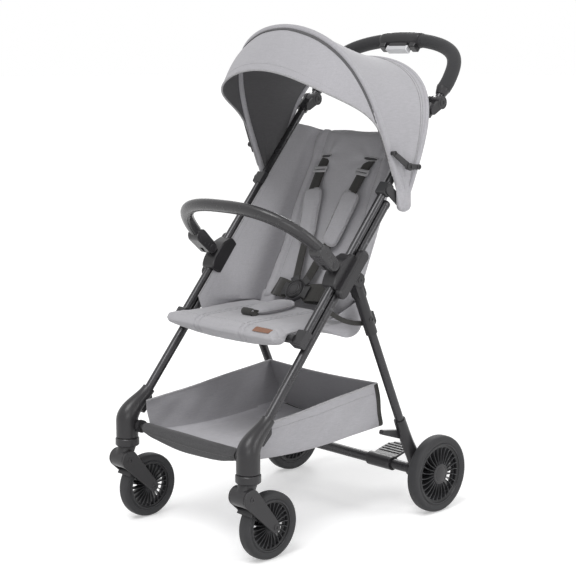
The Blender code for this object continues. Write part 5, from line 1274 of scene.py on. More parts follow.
class Surface:
    """A node material in the making, with short calls for the nodes it uses."""

    def __init__(self, name, roughness, metallic=0.0, specular=0.5, sheen=0.0):
        self.mat = bpy.data.materials.new(name)
        self.mat.use_nodes = True
        self.tree = self.mat.node_tree
        self.shader = self.tree.nodes["Principled BSDF"]
        self.shader.inputs["Roughness"].default_value = roughness
        self.shader.inputs["Metallic"].default_value = metallic
        self.shader.inputs["Specular IOR Level"].default_value = specular
        self.shader.inputs["Sheen Weight"].default_value = sheen
        self.shader.inputs["Sheen Roughness"].default_value = 0.6
        place = self.add("ShaderNodeTexCoord")
        self.place = place.outputs["Object"]

    def add(self, kind):
        return self.tree.nodes.new(kind)

    def link(self, a, b):
        self.tree.links.new(a, b)

    def stretched(self, x, y, z):
        node = self.add("ShaderNodeMapping")
        node.inputs["Scale"].default_value = (x, y, z)
        self.link(self.place, node.inputs["Vector"])
        return node.outputs["Vector"]

    def noise(self, scale, detail, vector=None, rough=0.55):
        node = self.add("ShaderNodeTexNoise")
        node.inputs["Scale"].default_value = scale
        node.inputs["Detail"].default_value = detail
        node.inputs["Roughness"].default_value = rough
        self.link(vector or self.place, node.inputs["Vector"])
        return node.outputs["Fac"]

    def cells(self, scale, feature="F1"):
        node = self.add("ShaderNodeTexVoronoi")
        node.feature = feature
        node.inputs["Scale"].default_value = scale
        self.link(self.place, node.inputs["Vector"])
        return node.outputs["Distance"]

    def math(self, operation, a, b, value=0.0):
        node = self.add("ShaderNodeMath")
        node.operation = operation
        self.link(a, node.inputs[0])
        if b is None:
            node.inputs[1].default_value = value
        else:
            self.link(b, node.inputs[1])
        return node.outputs[0]

    def ramp(self, factor, stops):
        """Colours at positions along a factor."""
        node = self.add("ShaderNodeValToRGB")
        ramp = node.color_ramp
        while len(ramp.elements) < len(stops):
            ramp.elements.new(0.5)
        for element, (position, colour) in zip(ramp.elements, stops):
            element.position = position
            element.color = (*colour, 1.0)
        self.link(factor, node.inputs["Fac"])
        return node.outputs["Color"]

    def levels(self, factor, low, high):
        node = self.add("ShaderNodeMapRange")
        node.inputs["To Min"].default_value = low
        node.inputs["To Max"].default_value = high
        self.link(factor, node.inputs["Value"])
        return node.outputs["Result"]

    def mixed(self, factor, a, b, mode="MIX"):
        node = self.add("ShaderNodeMix")
        node.data_type = "RGBA"
        node.blend_type = mode
        if isinstance(factor, float):
            node.inputs[0].default_value = factor
        else:
            self.link(factor, node.inputs[0])
        for value, socket in ((a, node.inputs[6]), (b, node.inputs[7])):
            if isinstance(value, tuple):
                socket.default_value = (*value, 1.0)
            else:
                self.link(value, socket)
        return node.outputs[2]

    def edges(self, low, high):
        """High along convex edges, from the surface's pointiness."""
        geometry = self.add("ShaderNodeNewGeometry")
        node = self.add("ShaderNodeMapRange")
        node.inputs["From Min"].default_value = low
        node.inputs["From Max"].default_value = high
        self.link(geometry.outputs["Pointiness"], node.inputs["Value"])
        return node.outputs["Result"]

    def colour(self, socket):
        self.link(socket, self.shader.inputs["Base Color"])

    def rough(self, socket):
        self.link(socket, self.shader.inputs["Roughness"])

    def bump(self, layers):
        """Bump from (height, distance, strength) layers, one on the other."""
        normal = None
        for height, distance, strength in layers:
            node = self.add("ShaderNodeBump")
            node.inputs["Strength"].default_value = strength
            node.inputs["Distance"].default_value = distance
            self.link(height, node.inputs["Height"])
            if normal is not None:
                self.link(normal, node.inputs["Normal"])
            normal = node.outputs["Normal"]
        self.link(normal, self.shader.inputs["Normal"])


def scaled(colour, factor):
    return tuple(min(c * factor, 1.0) for c in colour)


SLUB = 0.028                  # how much darker the slubs in the yarn are


def cloth_surface(name, colour, thread=0.0007, contrast=0.07, roughness=0.82, sheen=0.25):
    """Plain weave: two crossed sets of threads, slubs in the yarn and soft large shading."""
    s = Surface(name, roughness, 0.0, 0.25, sheen)
    pitch = 0.62 / thread
    warp = s.noise(pitch, 1.0, s.stretched(1.0, 1.0, 0.06))
    weft = s.noise(pitch, 1.0, s.stretched(0.06, 0.06, 1.0))
    fill = s.noise(pitch, 1.0, s.stretched(1.0, 0.06, 1.0))
    weave = s.math("MULTIPLY", s.math("ADD", warp, weft), fill)
    slubs = s.noise(260.0, 4.0, s.stretched(1.0, 0.25, 0.25))
    weft_slubs = s.noise(300.0, 3.0, s.stretched(0.2, 1.0, 1.0))
    yarn = s.math("ADD", slubs, weft_slubs)
    broad = s.noise(7.0, 3.0)
    threads = s.ramp(weave, [(0.30, scaled(colour, 1.0 - contrast)), (0.70, scaled(colour, 1.0 + contrast * 0.6))])
    tone = s.ramp(s.math("MULTIPLY", yarn, None, 0.5), [(0.32, (1.0 - SLUB * 2.2,) * 3), (0.68, (1.0,) * 3)])
    first = s.mixed(1.0, threads, tone, "MULTIPLY")
    shade = s.ramp(broad, [(0.30, (0.955,) * 3), (0.70, (1.0,) * 3)])
    s.colour(s.mixed(1.0, first, shade, "MULTIPLY"))
    s.rough(s.levels(slubs, roughness - 0.06, min(roughness + 0.08, 1.0)))
    wrinkle = s.noise(38.0, 3.0, None, 0.5)
    s.bump([(wrinkle, 0.0010, 0.30), (weave, 0.00016, 0.40), (yarn, 0.00010, 0.3)])
    return s.mat


def webbing_surface(name, colour):
    """Ribbed harness webbing."""
    s = Surface(name, 0.72, 0.0, 0.3, 0.15)
    rib = s.noise(900.0, 1.0, s.stretched(0.10, 1.0, 1.0))
    cross = s.noise(700.0, 1.0, s.stretched(1.0, 0.12, 0.12))
    weave = s.math("MULTIPLY", rib, cross)
    fuzz = s.noise(900.0, 2.0)
    tint = s.ramp(weave, [(0.12, scaled(colour, 0.70)), (0.42, scaled(colour, 1.35))])
    s.colour(s.mixed(s.levels(fuzz, 0.0, 0.25), tint, scaled(colour, 1.7)))
    s.bump([(weave, 0.0004, 0.6), (fuzz, 0.0001, 0.4)])
    return s.mat


def plastic_surface(name, colour, roughness, grain=0.5, specular=0.36, edge_wear_and_highlight=1.45):
    """Moulded plastic with a fine spark-eroded grain; its convex edges are painted lighter, partly as rubbed wear and
    partly as a painted edge highlight.
    """
    s = Surface(name, roughness, 0.0, specular)
    fine = s.noise(2600.0, 2.0)
    pits = s.cells(1500.0)
    cloud = s.noise(14.0, 3.0)
    base = s.ramp(cloud, [(0.3, scaled(colour, 0.94)), (0.7, scaled(colour, 1.05))])
    # Convex edges are painted lighter by the last factor: partly rubbed wear, partly a painted highlight.
    s.colour(s.mixed(s.edges(0.53, 0.62), base, scaled(colour, edge_wear_and_highlight)))
    s.rough(s.levels(s.noise(22.0, 4.0), roughness - 0.05, roughness + 0.07))
    s.bump([(fine, 0.00008, grain), (pits, 0.00006, grain)])
    return s.mat


def tube_surface(name, colour):
    """Powder-coated aluminium tube with a cloudy gloss and orange peel."""
    s = Surface(name, 0.30, 0.5, 0.5)
    peel = s.noise(900.0, 2.0)
    drawn = s.noise(55.0, 3.0)
    cloud = s.noise(10.0, 2.0)
    base = s.ramp(cloud, [(0.3, scaled(colour, 0.93)), (0.7, scaled(colour, 1.06))])
    # Convex edges are painted lighter: partly wear of the coat, partly a painted highlight.
    s.colour(s.mixed(s.edges(0.55, 0.65), base, scaled(colour, 1.5)))
    s.rough(s.levels(drawn, 0.22, 0.34))
    s.bump([(peel, 0.00006, 0.35)])
    return s.mat


def rubber_surface(name, colour):
    """Foamed tyre rubber, matt, with dust in its grain."""
    s = Surface(name, 0.62, 0.0, 0.35)
    grain = s.noise(1400.0, 3.0)
    dust = s.noise(30.0, 5.0)
    base = s.ramp(dust, [(0.35, scaled(colour, 0.92)), (0.75, scaled(colour, 1.18))])
    # Convex edges are painted lighter: partly wear, partly a painted highlight.
    s.colour(s.mixed(s.edges(0.52, 0.60), base, scaled(colour, 1.3)))
    s.rough(s.levels(dust, 0.56, 0.72))
    s.bump([(grain, 0.0001, 0.5)])
    return s.mat


def foam_surface(name, colour):
    """Closed-cell grip foam with fine open pores."""
    s = Surface(name, 0.78, 0.0, 0.3, 0.12)
    pores = s.cells(820.0)
    soft = s.noise(500.0, 3.0)
    # The pores are painted darker: painted shade in the open pores.
    base = s.ramp(pores, [(0.0, scaled(colour, 0.75)), (0.45, scaled(colour, 1.12))])
    s.colour(s.mixed(s.levels(soft, 0.0, 0.3), base, scaled(colour, 1.3)))
    s.bump([(pores, 0.00025, 0.5), (soft, 0.0002, 0.4)])
    return s.mat


def leather_surface(name, colour, roughness, scale=620.0, strength=0.5):
    """Leather or leatherette: small rounded cells with creases between them."""
    s = Surface(name, roughness, 0.0, 0.45, 0.05)
    cells = s.cells(scale, "DISTANCE_TO_EDGE")
    crease = s.noise(90.0, 5.0)
    # The creases between the grain's cells are painted darker: painted shade in the creases.
    base = s.ramp(cells, [(0.0, scaled(colour, 0.72)), (0.10, scaled(colour, 1.04))])
    # Convex edges are painted lighter: partly wear, partly a painted highlight.
    wear_and_edge_highlight = s.mixed(s.edges(0.54, 0.62), base, scaled(colour, 1.6))
    s.colour(s.mixed(s.levels(crease, 0.0, 0.14), wear_and_edge_highlight, scaled(colour, 1.35)))
    s.rough(s.levels(crease, roughness - 0.07, roughness + 0.10))
    s.bump([(crease, 0.0005, 0.25), (cells, 0.00018, strength)])
    return s.mat


def steel_surface(name, colour):
    s = Surface(name, 0.30, 0.9, 0.5)
    marks = s.noise(700.0, 3.0, s.stretched(1.0, 0.2, 1.0))
    s.colour(s.ramp(marks, [(0.3, scaled(colour, 0.85)), (0.7, scaled(colour, 1.1))]))
    s.rough(s.levels(marks, 0.22, 0.40))
    s.bump([(marks, 0.00005, 0.3)])
    return s.mat


GREY = (0.432, 0.425, 0.450)
mats = {
    "fabric": cloth_surface("grey_fabric", GREY),
    "seat_fabric": cloth_surface("seat_fabric", (0.428, 0.422, 0.444)),
    # Darker grey cloth for the inside of the basket's walls and its rear wall: painted shade.
    "basket_painted_shade_fabric": cloth_surface("basket_painted_shade_fabric", (0.300, 0.295, 0.312)),
    # Dark cloth for the inner sides of the hood and visor: partly a darker lining, partly painted shade under the hood.
    "lining_and_shade": cloth_surface("hood_lining_painted_shade", (0.110, 0.108, 0.113), 0.0006, 0.10, 0.80, 0.1),
    "binding": cloth_surface("grey_binding", (0.390, 0.386, 0.398), 0.0009, 0.20, 0.75),
    "dark_fabric": cloth_surface("dark_fabric", (0.058, 0.057, 0.060), 0.0008, 0.22, 0.72, 0.15),
    "webbing": webbing_surface("webbing", (0.021, 0.020, 0.018)),
    "thread": cloth_surface("thread", (0.30, 0.297, 0.305), 0.0004, 0.25, 0.7),
    "dark_thread": cloth_surface("dark_thread", (0.10, 0.10, 0.10), 0.0004, 0.25, 0.7),
    "plastic": plastic_surface("charcoal_plastic", (0.028, 0.027, 0.029), 0.30),
    "dark_plastic": plastic_surface("dark_plastic", (0.030, 0.030, 0.031), 0.42),
    "trim": plastic_surface("trim_plastic", (0.034, 0.034, 0.036), 0.44),
    "light_plastic": plastic_surface("light_plastic", (0.60, 0.60, 0.615), 0.40, 0.3),
    "adjuster": plastic_surface("adjuster_plastic", (0.34, 0.338, 0.345), 0.42, 0.3),
    # Rim plastic: its convex edges are painted 5.5 times lighter, a painted highlight on the spokes and the ring.
    "rim": plastic_surface("rim_plastic_edge_highlight", (0.013, 0.013, 0.014), 0.36, 0.5, 0.34, 5.5),
    "tube": tube_surface("dark_tube", (0.046, 0.045, 0.048)),
    "tyre": rubber_surface("tyre", (0.032, 0.032, 0.034)),
    "foam": foam_surface("foam", (0.024, 0.024, 0.026)),
    "leatherette": leather_surface("leatherette", (0.030, 0.029, 0.031), 0.24),
    "tag": leather_surface("tag_leather", (0.245, 0.118, 0.072), 0.55, 900.0, 0.6),
    "steel": steel_surface("steel", (0.12, 0.12, 0.125)),
}


# Pieces

RECORD = frame["record"]
BODY_OF = {n: body for body, names in RECORD["behaviour"]["bodies"].items() for n in names}


def baked(obj):
    """Replaces the object's mesh by the one its modifiers give."""
    graph = bpy.context.evaluated_depsgraph_get()
    graph.update()
    mesh = bpy.data.meshes.new_from_object(obj.evaluated_get(graph), depsgraph=graph)
    old = obj.data
    obj.modifiers.clear()
    obj.data = mesh
    bpy.data.meshes.remove(old)


def new_object(name, bm, materials, smooth, bevel=0.0):
    """A finished mesh object in the row frame. The mesh comes with lengths from the front axle."""
    mesh = mesh_of(name, bm)
    mesh.transform(Matrix.Translation(SHIFT))
    for mat in materials:
        mesh.materials.append(mat)
    obj = placed(name, mesh)
    if bevel > 0.0:
        modifier = obj.modifiers.new("bevel", "BEVEL")
        modifier.width = bevel
        modifier.segments = 2
        modifier.limit_method = "ANGLE"
        modifier.angle_limit = math.radians(34.0)
        modifier.harden_normals = False
        baked(obj)
    obj.data.shade_smooth()
    obj.data.set_sharp_from_angle(angle=math.radians(smooth))
    if bevel > 0.0:
        obj.modifiers.new("normals", "WEIGHTED_NORMAL").keep_sharp = True
        baked(obj)
    return obj


def stand_for(obj, node):
    """The piece rides with the node's body and hides the node."""
    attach(obj, BODY_OF[node])
    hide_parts(node)


def make(name, bm, mat, smooth=38.0, bevel=0.0006):
    stand_for(new_object(name + "_fine", bm, [mat], smooth, bevel), name)


def detail(name, bm, mat, body, slot, smooth=40.0, bevel=0.0):
    """A small piece that stands for no node."""
    obj = new_object(name, bm, [mat], smooth, bevel)
    if body:
        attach(obj, body)
    return obj


def bound(name, bm, body):
    """A binding, hem or cord in the binding cloth."""
    return detail(name, bm, mats["binding"], body, "grey_binding", CLOTH_ANGLE)


def sewn(name, points, lift, body):
    """A row of stitches in grey thread."""
    return detail(name, stitches(points, lift), mats["thread"], body, "grey_binding")


def webbing_piece(name, bm, body):
    return detail(name, bm, mats["webbing"], body, "charcoal_webbing", WEBBING_ANGLE)


def moulded(name, bm, mat, body, smooth, bevel=0.0):
    """A small plastic piece."""
    detail(name, bm, mats[mat], body, "charcoal_plastic", smooth, bevel)


# Sheets of cloth

def sheet_mesh(grid, thickness, inner_slot=1):
    """A closed thin sheet about a grid of points. Faces of the inner side take a second material."""
    bm = bmesh.new()
    rows = len(grid)
    columns = len(grid[0])
    top = []
    low = []
    for i in range(rows):
        row_top = []
        row_low = []
        for j in range(columns):
            along = grid[min(i + 1, rows - 1)][j] - grid[max(i - 1, 0)][j]
            across = grid[i][min(j + 1, columns - 1)] - grid[i][max(j - 1, 0)]
            normal = along.cross(across)
            normal = normal.normalized() * (thickness / 2) if normal.length > 0 else Vector()
            row_top.append(bm.verts.new(grid[i][j] + normal))
            row_low.append(bm.verts.new(grid[i][j] - normal))
        top.append(row_top)
        low.append(row_low)
    for i in range(rows - 1):
        for j in range(columns - 1):
            bm.faces.new((top[i][j], top[i + 1][j], top[i + 1][j + 1], top[i][j + 1]))
            face = bm.faces.new((low[i][j], low[i][j + 1], low[i + 1][j + 1], low[i + 1][j]))
            face.material_index = inner_slot
    for i in range(rows - 1):
        bm.faces.new((top[i][0], low[i][0], low[i + 1][0], top[i + 1][0]))
        bm.faces.new((top[i][-1], top[i + 1][-1], low[i + 1][-1], low[i][-1]))
    for j in range(columns - 1):
        bm.faces.new((top[0][j], top[0][j + 1], low[0][j + 1], low[0][j]))
        bm.faces.new((top[-1][j], low[-1][j], low[-1][j + 1], top[-1][j + 1]))
    bmesh.ops.recalc_face_normals(bm, faces=bm.faces)
    return bm


def stitches(points, lift, radius=0.00042, pitch=0.0042, dash=0.0027):
    """A row of dashes along a path, raised by the lift vectors."""
    bm = bmesh.new()
    at = 0.0
    want = 0.5 * pitch
    for a, b, up in zip(points, points[1:], lift):
        step = (b - a).length
        if step < 1e-7:
            continue
        forward = (b - a) / step
        side = forward.cross(up).normalized()
        while want <= at + step:
            middle = a + forward * (want - at)
            rings = []
            for share, size in ((-0.5, 0.25), (-0.3, 0.9), (0.3, 0.9), (0.5, 0.25)):
                centre = middle + forward * (dash * share) + up * (radius * (0.5 if abs(share) < 0.4 else -0.4))
                ring = []
                for angle in turns(5):
                    offset = side * (radius * size * math.cos(angle))
                    ring.append(bm.verts.new(centre + offset + up * (radius * size * math.sin(angle))))
                rings.append(ring)
            for lower, upper in zip(rings, rings[1:]):
                for k in range(5):
                    m = (k + 1) % 5
                    bm.faces.new((lower[k], lower[m], upper[m], upper[k]))
            bm.faces.new(rings[0][::-1])
            bm.faces.new(rings[-1])
            want += pitch
        at += step
    return bm


# Cushions

def swollen(obj, voxel, cap):
    """Remeshes a cushion and lets cloth pressure swell it, up to cap metres at any point."""
    remesh = obj.modifiers.new("remesh", "REMESH")
    remesh.mode = "VOXEL"
    remesh.voxel_size = voxel
    baked(obj)
    rest = [v.co.copy() for v in obj.data.vertices]
    cloth = obj.modifiers.new("cloth", "CLOTH")
    settings = cloth.settings
    settings.quality = 5
    settings.mass = 0.25
    settings.tension_stiffness = 22.0
    settings.compression_stiffness = 22.0
    settings.bending_stiffness = 1.2
    settings.use_pressure = True
    settings.uniform_pressure_force = 4.0
    settings.effector_weights.gravity = 0.0
    cloth.collision_settings.use_collision = False
    cloth.point_cache.frame_start = 1
    cloth.point_cache.frame_end = 20
    for number in range(1, 21):
        bpy.context.scene.frame_set(number)
    baked(obj)
    for vert, before in zip(obj.data.vertices, rest):
        move = vert.co - before
        if move.length > cap:
            vert.co = before + move * (cap / move.length)
    bpy.context.scene.frame_set(1)


def shaped(obj, change):
    """Moves each vertex to change(place, normal), with lengths from the front axle."""
    before = [(vert.co - SHIFT, vert.normal.copy()) for vert in obj.data.vertices]
    for vert, (place, normal) in zip(obj.data.vertices, before):
        vert.co = change(place, normal) + SHIFT
    obj.data.update()


def smoothed(obj):
    modifier = obj.modifiers.new("subdivide", "SUBSURF")
    modifier.levels = 1
    modifier.render_levels = 1
    baked(obj)
    obj.data.shade_smooth()


def bell(distance, width):
    return math.exp(-(distance / width) ** 2)


# Wheels

def tyre_profile(radius, seat, width):
    """Half section of a foamed tyre: bead, bulged side wall, shoulder and tread."""
    half = width / 2
    points = [(seat, -half * 0.78), (seat + 0.0012, -half * 0.82)]
    base = seat + 0.30 * (radius - seat)
    for i in range(33):
        angle = math.radians(mix(-88.0, 88.0, i / 32))
        x = half * powered(math.sin(angle), 0.72)
        r = base + (radius - base) * abs(math.cos(angle)) ** 0.50
        points.append((r, x))
    points += [(seat + 0.0012, half * 0.82), (seat, half * 0.78)]
    return points


def tyre_fine(node, place, radius, rim, width):
    make(node, turned(tyre_profile(radius, rim + GAP, width), place, TYRE_STEPS), mats["tyre"], 50.0, 0.0)


def spoke_blade(nave, opening, inner_half, outer_half, place, angle, sweep_back):
    """One thin spoke, deeper at the nave, with rounded edges and a little sweep."""
    rings = []
    for i in range(7):
        t = i / 6
        r = mix(nave - 0.0006, opening + 0.0012, t)
        half = mix(inner_half, outer_half, ease(t))
        thick = mix(0.00095, 0.0007, math.sin(math.pi * t))
        lean = angle + sweep_back * math.sin(math.pi * t)
        along = Vector((0.0, math.cos(lean), math.sin(lean)))
        side = Vector((0.0, -math.sin(lean), math.cos(lean)))
        middle = Vector(place) + along * r
        ring = []
        for a, b in ((-1, -0.6), (-0.94, -1), (0.94, -1), (1, -0.6), (1, 0.6), (0.94, 1), (-0.94, 1), (-1, 0.6)):
            ring.append(middle + Vector((half * a, 0.0, 0.0)) + side * (thick * b))
        rings.append(ring)
    return skin(rings)


def rim_fine(node, hand, place, rim, opening, nave, width, nave_half, spokes, spoke_half, dome):
    """Rim ring with stepped faces, its spokes, and the nave with its cap."""
    wall = 0.5 * width * 0.78
    step = rim - 0.0040
    profile = [(rim, -wall), (rim, wall - 0.0004), (rim - 0.0006, wall + 0.0004), (step + 0.0008, wall + 0.0012)]
    profile += [(step, wall + 0.0008), (step - 0.0006, wall - 0.0006), (opening + 0.0030, wall - 0.0014)]
    profile += [(opening + 0.0006, wall - 0.0024), (opening, wall - 0.0034)]
    profile += [(opening, -wall + 0.0034), (opening + 0.0006, -wall + 0.0024), (opening + 0.0030, -wall + 0.0014)]
    profile += [(step - 0.0006, -wall + 0.0006), (step, -wall - 0.0008)]
    profile += [(step + 0.0008, -wall - 0.0012), (rim - 0.0006, -wall - 0.0004)]
    whole = turned(profile, place, TYRE_STEPS)
    bore = AXLE_R + GAP
    hub = [(bore, -nave_half), (nave - 0.001, -nave_half), (nave, -nave_half + 0.001)]
    hub += [(nave, nave_half - 0.001), (nave - 0.001, nave_half), (bore, nave_half)]
    copy_into(whole, turned(hub, place, 72))
    for i in range(spokes):
        angle = 2.0 * math.pi * i / spokes
        copy_into(whole, spoke_blade(nave, opening, spoke_half * 1.10, spoke_half, place, angle, 0.05))
    band = [(opening + 0.0004, -0.0012), (opening + 0.0004, 0.0012)]
    band += [(opening - 0.0022, 0.0006), (opening - 0.0022, -0.0006)]
    copy_into(whole, turned(band, place, TYRE_STEPS))
    make(node, whole, mats["rim"], MOULDED_ANGLE, 0.0)
    if dome:
        face = place[0] + hand * (nave_half - 0.0008)
        rings = [(nave + CAP_LIP, 0.0), (nave + CAP_LIP, CAP_T * 0.45), (nave + CAP_LIP - 0.0009, CAP_T * 0.66)]
        rings += [(nave - 0.0022, CAP_T * 0.74), (nave - 0.0030, CAP_T * 0.60), (nave - 0.0040, CAP_T * 0.62)]
        for i in range(9):
            t = i / 8
            rings.append((mix(nave - 0.0050, 0.0012, t), CAP_T * mix(0.70, 1.0, math.sin(t * math.pi / 2))))
        cap = skin([[(face + hand * h, place[1] + r * math.cos(a), place[2] + r * math.sin(a))
                     for a in turns(96)] for r, h in rings])
        moulded(node + "_cap", cap, "plastic", BODY_OF[node], MOULDED_ANGLE)


def bolt(place, axis, radius, height, name, body, recess=True):
    """A round screw head with a hexagon recess, standing along +X or -X."""
    rings = [(radius, 0.0), (radius, height * 0.55), (radius * 0.90, height * 0.90), (radius * 0.55, height)]
    hole = [(radius * 0.50, height * 0.98), (radius * 0.48, height * 0.35), (radius * 0.10, height * 0.30)]
    made = []
    for index, (r, h) in enumerate(rings + (hole if recess else [(radius * 0.1, height * 1.02)])):
        ring = []
        for a in turns(36):
            size = r
            if recess and index >= len(rings):
                size = r * math.cos(math.pi / 6) / math.cos((a % (math.pi / 3)) - math.pi / 6)
            ring.append(Vector(place) + Vector((axis * h, size * math.cos(a), size * math.sin(a))))
        made.append(ring)
    bm = skin(made)
    moulded(name, bm, "plastic", body, 30.0)


def wheels():
    for side, hand in HANDS:
        place = (hand * STEM_X, 0.0, FRONT_WHEEL_R)
        tyre_fine("front_tyre_" + side, place, FRONT_WHEEL_R, FRONT_RIM_R, FRONT_WHEEL_W)
        inner = FORK_HALF - ARM_T - HINGE_GAP
        rim_fine("front_rim_" + side, hand, place, FRONT_RIM_R, FRONT_OPEN_R, FRONT_NAVE_R,
                 FRONT_WHEEL_W, inner, FRONT_SPOKES, 0.0082, False)
        place = (hand * REAR_WHEEL_X, REAR_AXLE_Y, REAR_WHEEL_R)
        tyre_fine("rear_tyre_" + side, place, REAR_WHEEL_R, REAR_RIM_R, REAR_WHEEL_W)
        nave_half = 0.5 * REAR_WHEEL_W * 0.80 - 0.001
        rim_fine("rear_rim_" + side, hand, place, REAR_RIM_R, REAR_OPEN_R, REAR_NAVE_R * 0.86,
                 REAR_WHEEL_W, nave_half, REAR_SPOKES, 0.0094, True)
        for face in (-1, 1):
            x = hand * STEM_X + face * (FORK_HALF - 0.0002)
            bolt((x, BARREL_Y, BARREL_Z), face, 0.0056, 0.0016, "fork_bolt_%s_%d" % (side, face + 1), "fork_" + side)
            bolt((x, 0.0, FRONT_WHEEL_R), face, 0.0060, 0.0018, "axle_bolt_%s_%d" % (side, face + 1), "fork_" + side)


# Hood

def hood_grid(columns):
    """Cloth between the bows, with a sag between them and soft gathers at the feet."""
    front, back_a, up_a = bow_line(BOW_Y, BOW_Z, HOOD_X, HOOD_FLAT)
    rear, back_b, up_b = rear_bow_line()
    outward = (up_a + up_b).normalized()
    grid = []
    for (a, up), (b, _) in list(zip(front, rear))[1:-1]:
        start = a + back_a * (BOW_R * 0.4)
        end = b - back_b * (REAR_BOW_R * 0.2)
        side = Vector((math.copysign(1.0, a.x), 0.0, 0.0))
        low = 1.0 - ease(up / 0.55)
        row = []
        for j in range(columns + 1):
            v = j / columns
            place = start.lerp(end, v)
            ridge = math.sin(math.pi * v)
            sag = HOOD_SAG * ridge * up * 0.8
            place = place - outward * sag
            gather = math.sin(v * 19.0 + 0.6 * math.sin(up * 9.0)) * 0.0034 + math.sin(v * 33.0 + 1.0) * 0.0012
            place = place + side * (gather * low * ridge ** 0.6)
            soft = 0.0016 * math.sin(v * 6.0 + up * 4.0) * math.sin(up * 7.0 + 1.0)
            place = place + side * (soft * (1.0 - up)) - outward * (soft * up)
            row.append(place)
        grid.append(row)
    return grid


def visor_grid(columns):
    """Front panel of the hood, swelling a little, with light tension creases under the bow."""
    front, back, radial = bow_line(BOW_Y, BOW_Z, HOOD_X, HOOD_FLAT)
    reach = Vector((0.0, VISOR_Y - BOW_Y, VISOR_Z - BOW_Z))
    grid = []
    trim = max(int(BOW_STEPS * 0.08), 1)
    for place, up in front[trim:-trim]:
        share = 0.05 + 0.95 * ease((up - VISOR_START) / (1.02 - VISOR_START))
        start = place - back * (BOW_R * 0.5)
        start = start - radial * 0.0012
        row = []
        for j in range(columns + 1):
            v = j / columns
            swell = 0.0095 * math.sin(math.pi * v) * share
            angle = math.atan2(place.x, max(up, 0.01) * 0.2)
            crease = bell(v - 0.16, 0.13) * (math.sin(angle * 17.0) * 0.5 + math.sin(angle * 7.0 + 1.1)) * 0.0011
            row.append(start + reach * (v * share) + radial * (swell + crease * share))
        grid.append(row)
    return grid


def hood():
    # The inner side takes the dark cloth: partly a darker lining, partly painted shade.
    outside = [mats["fabric"], mats["lining_and_shade"]]
    grid = hood_grid(26)
    cover = new_object("hood_cover", sheet_mesh(grid, CLOTH_T), outside, CLOTH_ANGLE)
    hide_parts("hood_fabric")
    across_bows(cover)
    hood_trims(grid)
    panel = visor_grid(18)
    visor = new_object("visor_panel", sheet_mesh(panel, CLOTH_T), outside[::-1], CLOTH_ANGLE)
    stand_for(visor, "hood_visor")
    hem = [row[-1] for row in panel]
    roll = sweep(hem, 0.0021, 10)
    bound("visor_hem", roll, "hood_front")
    inner = [row[-3] for row in panel]
    _, _, radial = bow_line(BOW_Y, BOW_Z, HOOD_X, HOOD_FLAT)
    raised = [p + radial * 0.0010 for p in inner]
    sewn("visor_hem_stitch", raised, [radial] * len(raised), "hood_front")
    # A strip of the dark cloth just ahead of the welt: a painted shadow line under the front bow's roll.
    edge = []
    for row in panel[3:-3]:
        first = row[1] - row[0]
        forward = first.normalized()
        edge.append([row[0] + forward * shift + radial * 0.0022 for shift in (-0.0005, 0.0035, 0.0075, 0.0105)])
    detail("visor_welt_painted_shadow", sheet_mesh(edge, 0.0009, 0), mats["lining_and_shade"], "hood_front", "grey_fabric", CLOTH_ANGLE)
    front_roll()


def across_bows(obj):
    """Bakes the object's placement into its mesh."""
    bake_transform(obj)


def front_roll():
    """Welt of cloth wrapped round the front bow, with its seam."""
    points, back, radial = bow_line(BOW_Y, BOW_Z, HOOD_X, HOOD_FLAT)
    kept = points[1:-1]
    path = []
    sizes = []
    for place, up in kept:
        near = ease(up / 0.10)
        path.append(place)
        sizes.append((mix(0.0052, 0.0068, near), mix(0.0036, 0.0060, near)))
    roll = sweep(path, sizes, 16, back)
    detail("front_bow_welt", roll, mats["fabric"], "hood_front", "grey_fabric", CLOTH_ANGLE)
    seam = [p + back * 0.0074 + radial * 0.0004 * (1.0 if up > 0.2 else 0.0) for p, up in kept]
    bound("front_bow_seam", sweep(seam, 0.0009, 8), "hood_front")


def hood_trims(grid):
    """Hem rolled round the rear bow and the seam ahead of it."""
    points, back, _ = rear_bow_line()
    path = []
    sizes = []
    for place, up in points[1:-1]:
        near = ease(up / 0.12)
        path.append(place)
        sizes.append((mix(0.0044, 0.0052, near), mix(0.0034, 0.0048, near)))
    hem = sweep(path, sizes, 14, back)
    detail("rear_bow_hem", hem, mats["fabric"], "seat_frame", "grey_fabric", CLOTH_ANGLE)
    column = len(grid[0]) - 4
    for name, at, size in (("rear_hem_seam", column, 0.0007), ("rear_hem_seam_b", column + 1, 0.0005)):
        line = []
        for i, row in enumerate(grid):
            up = hood_up(grid, i, at)
            line.append(row[at] + up * 0.0009)
        body = detail(name, sweep(line, size, 6), mats["thread"], None, "grey_binding", CLOTH_ANGLE)
        across_bows(body)


def hood_up(grid, i, j):
    """Outward normal of a grid at one point."""
    along = grid[min(i + 1, len(grid) - 1)][j] - grid[max(i - 1, 0)][j]
    across = grid[i][min(j + 1, len(grid[0]) - 1)] - grid[i][max(j - 1, 0)]
    normal = along.cross(across).normalized()
    middle = Vector((0.0, 0.36, 0.80))
    return normal if normal.dot(grid[i][j] - middle) > 0.0 else -normal


# Seat and harness

SHOULDER_HALF = 0.0255        # half width of a shoulder pad
WING_TOP_S = 0.690            # top of the side wing, along the side frame
WING_X = 0.1715               # outer edge of the wing, beside the seat tube
FLANGE_R = 0.0262             # outer ring of the buckle
CROTCH_HALF = 0.0265
CROTCH_DEEP = 0.0112
WAIST_MORE = 0.018            # how much wider the waist webbing is than the shoulder straps


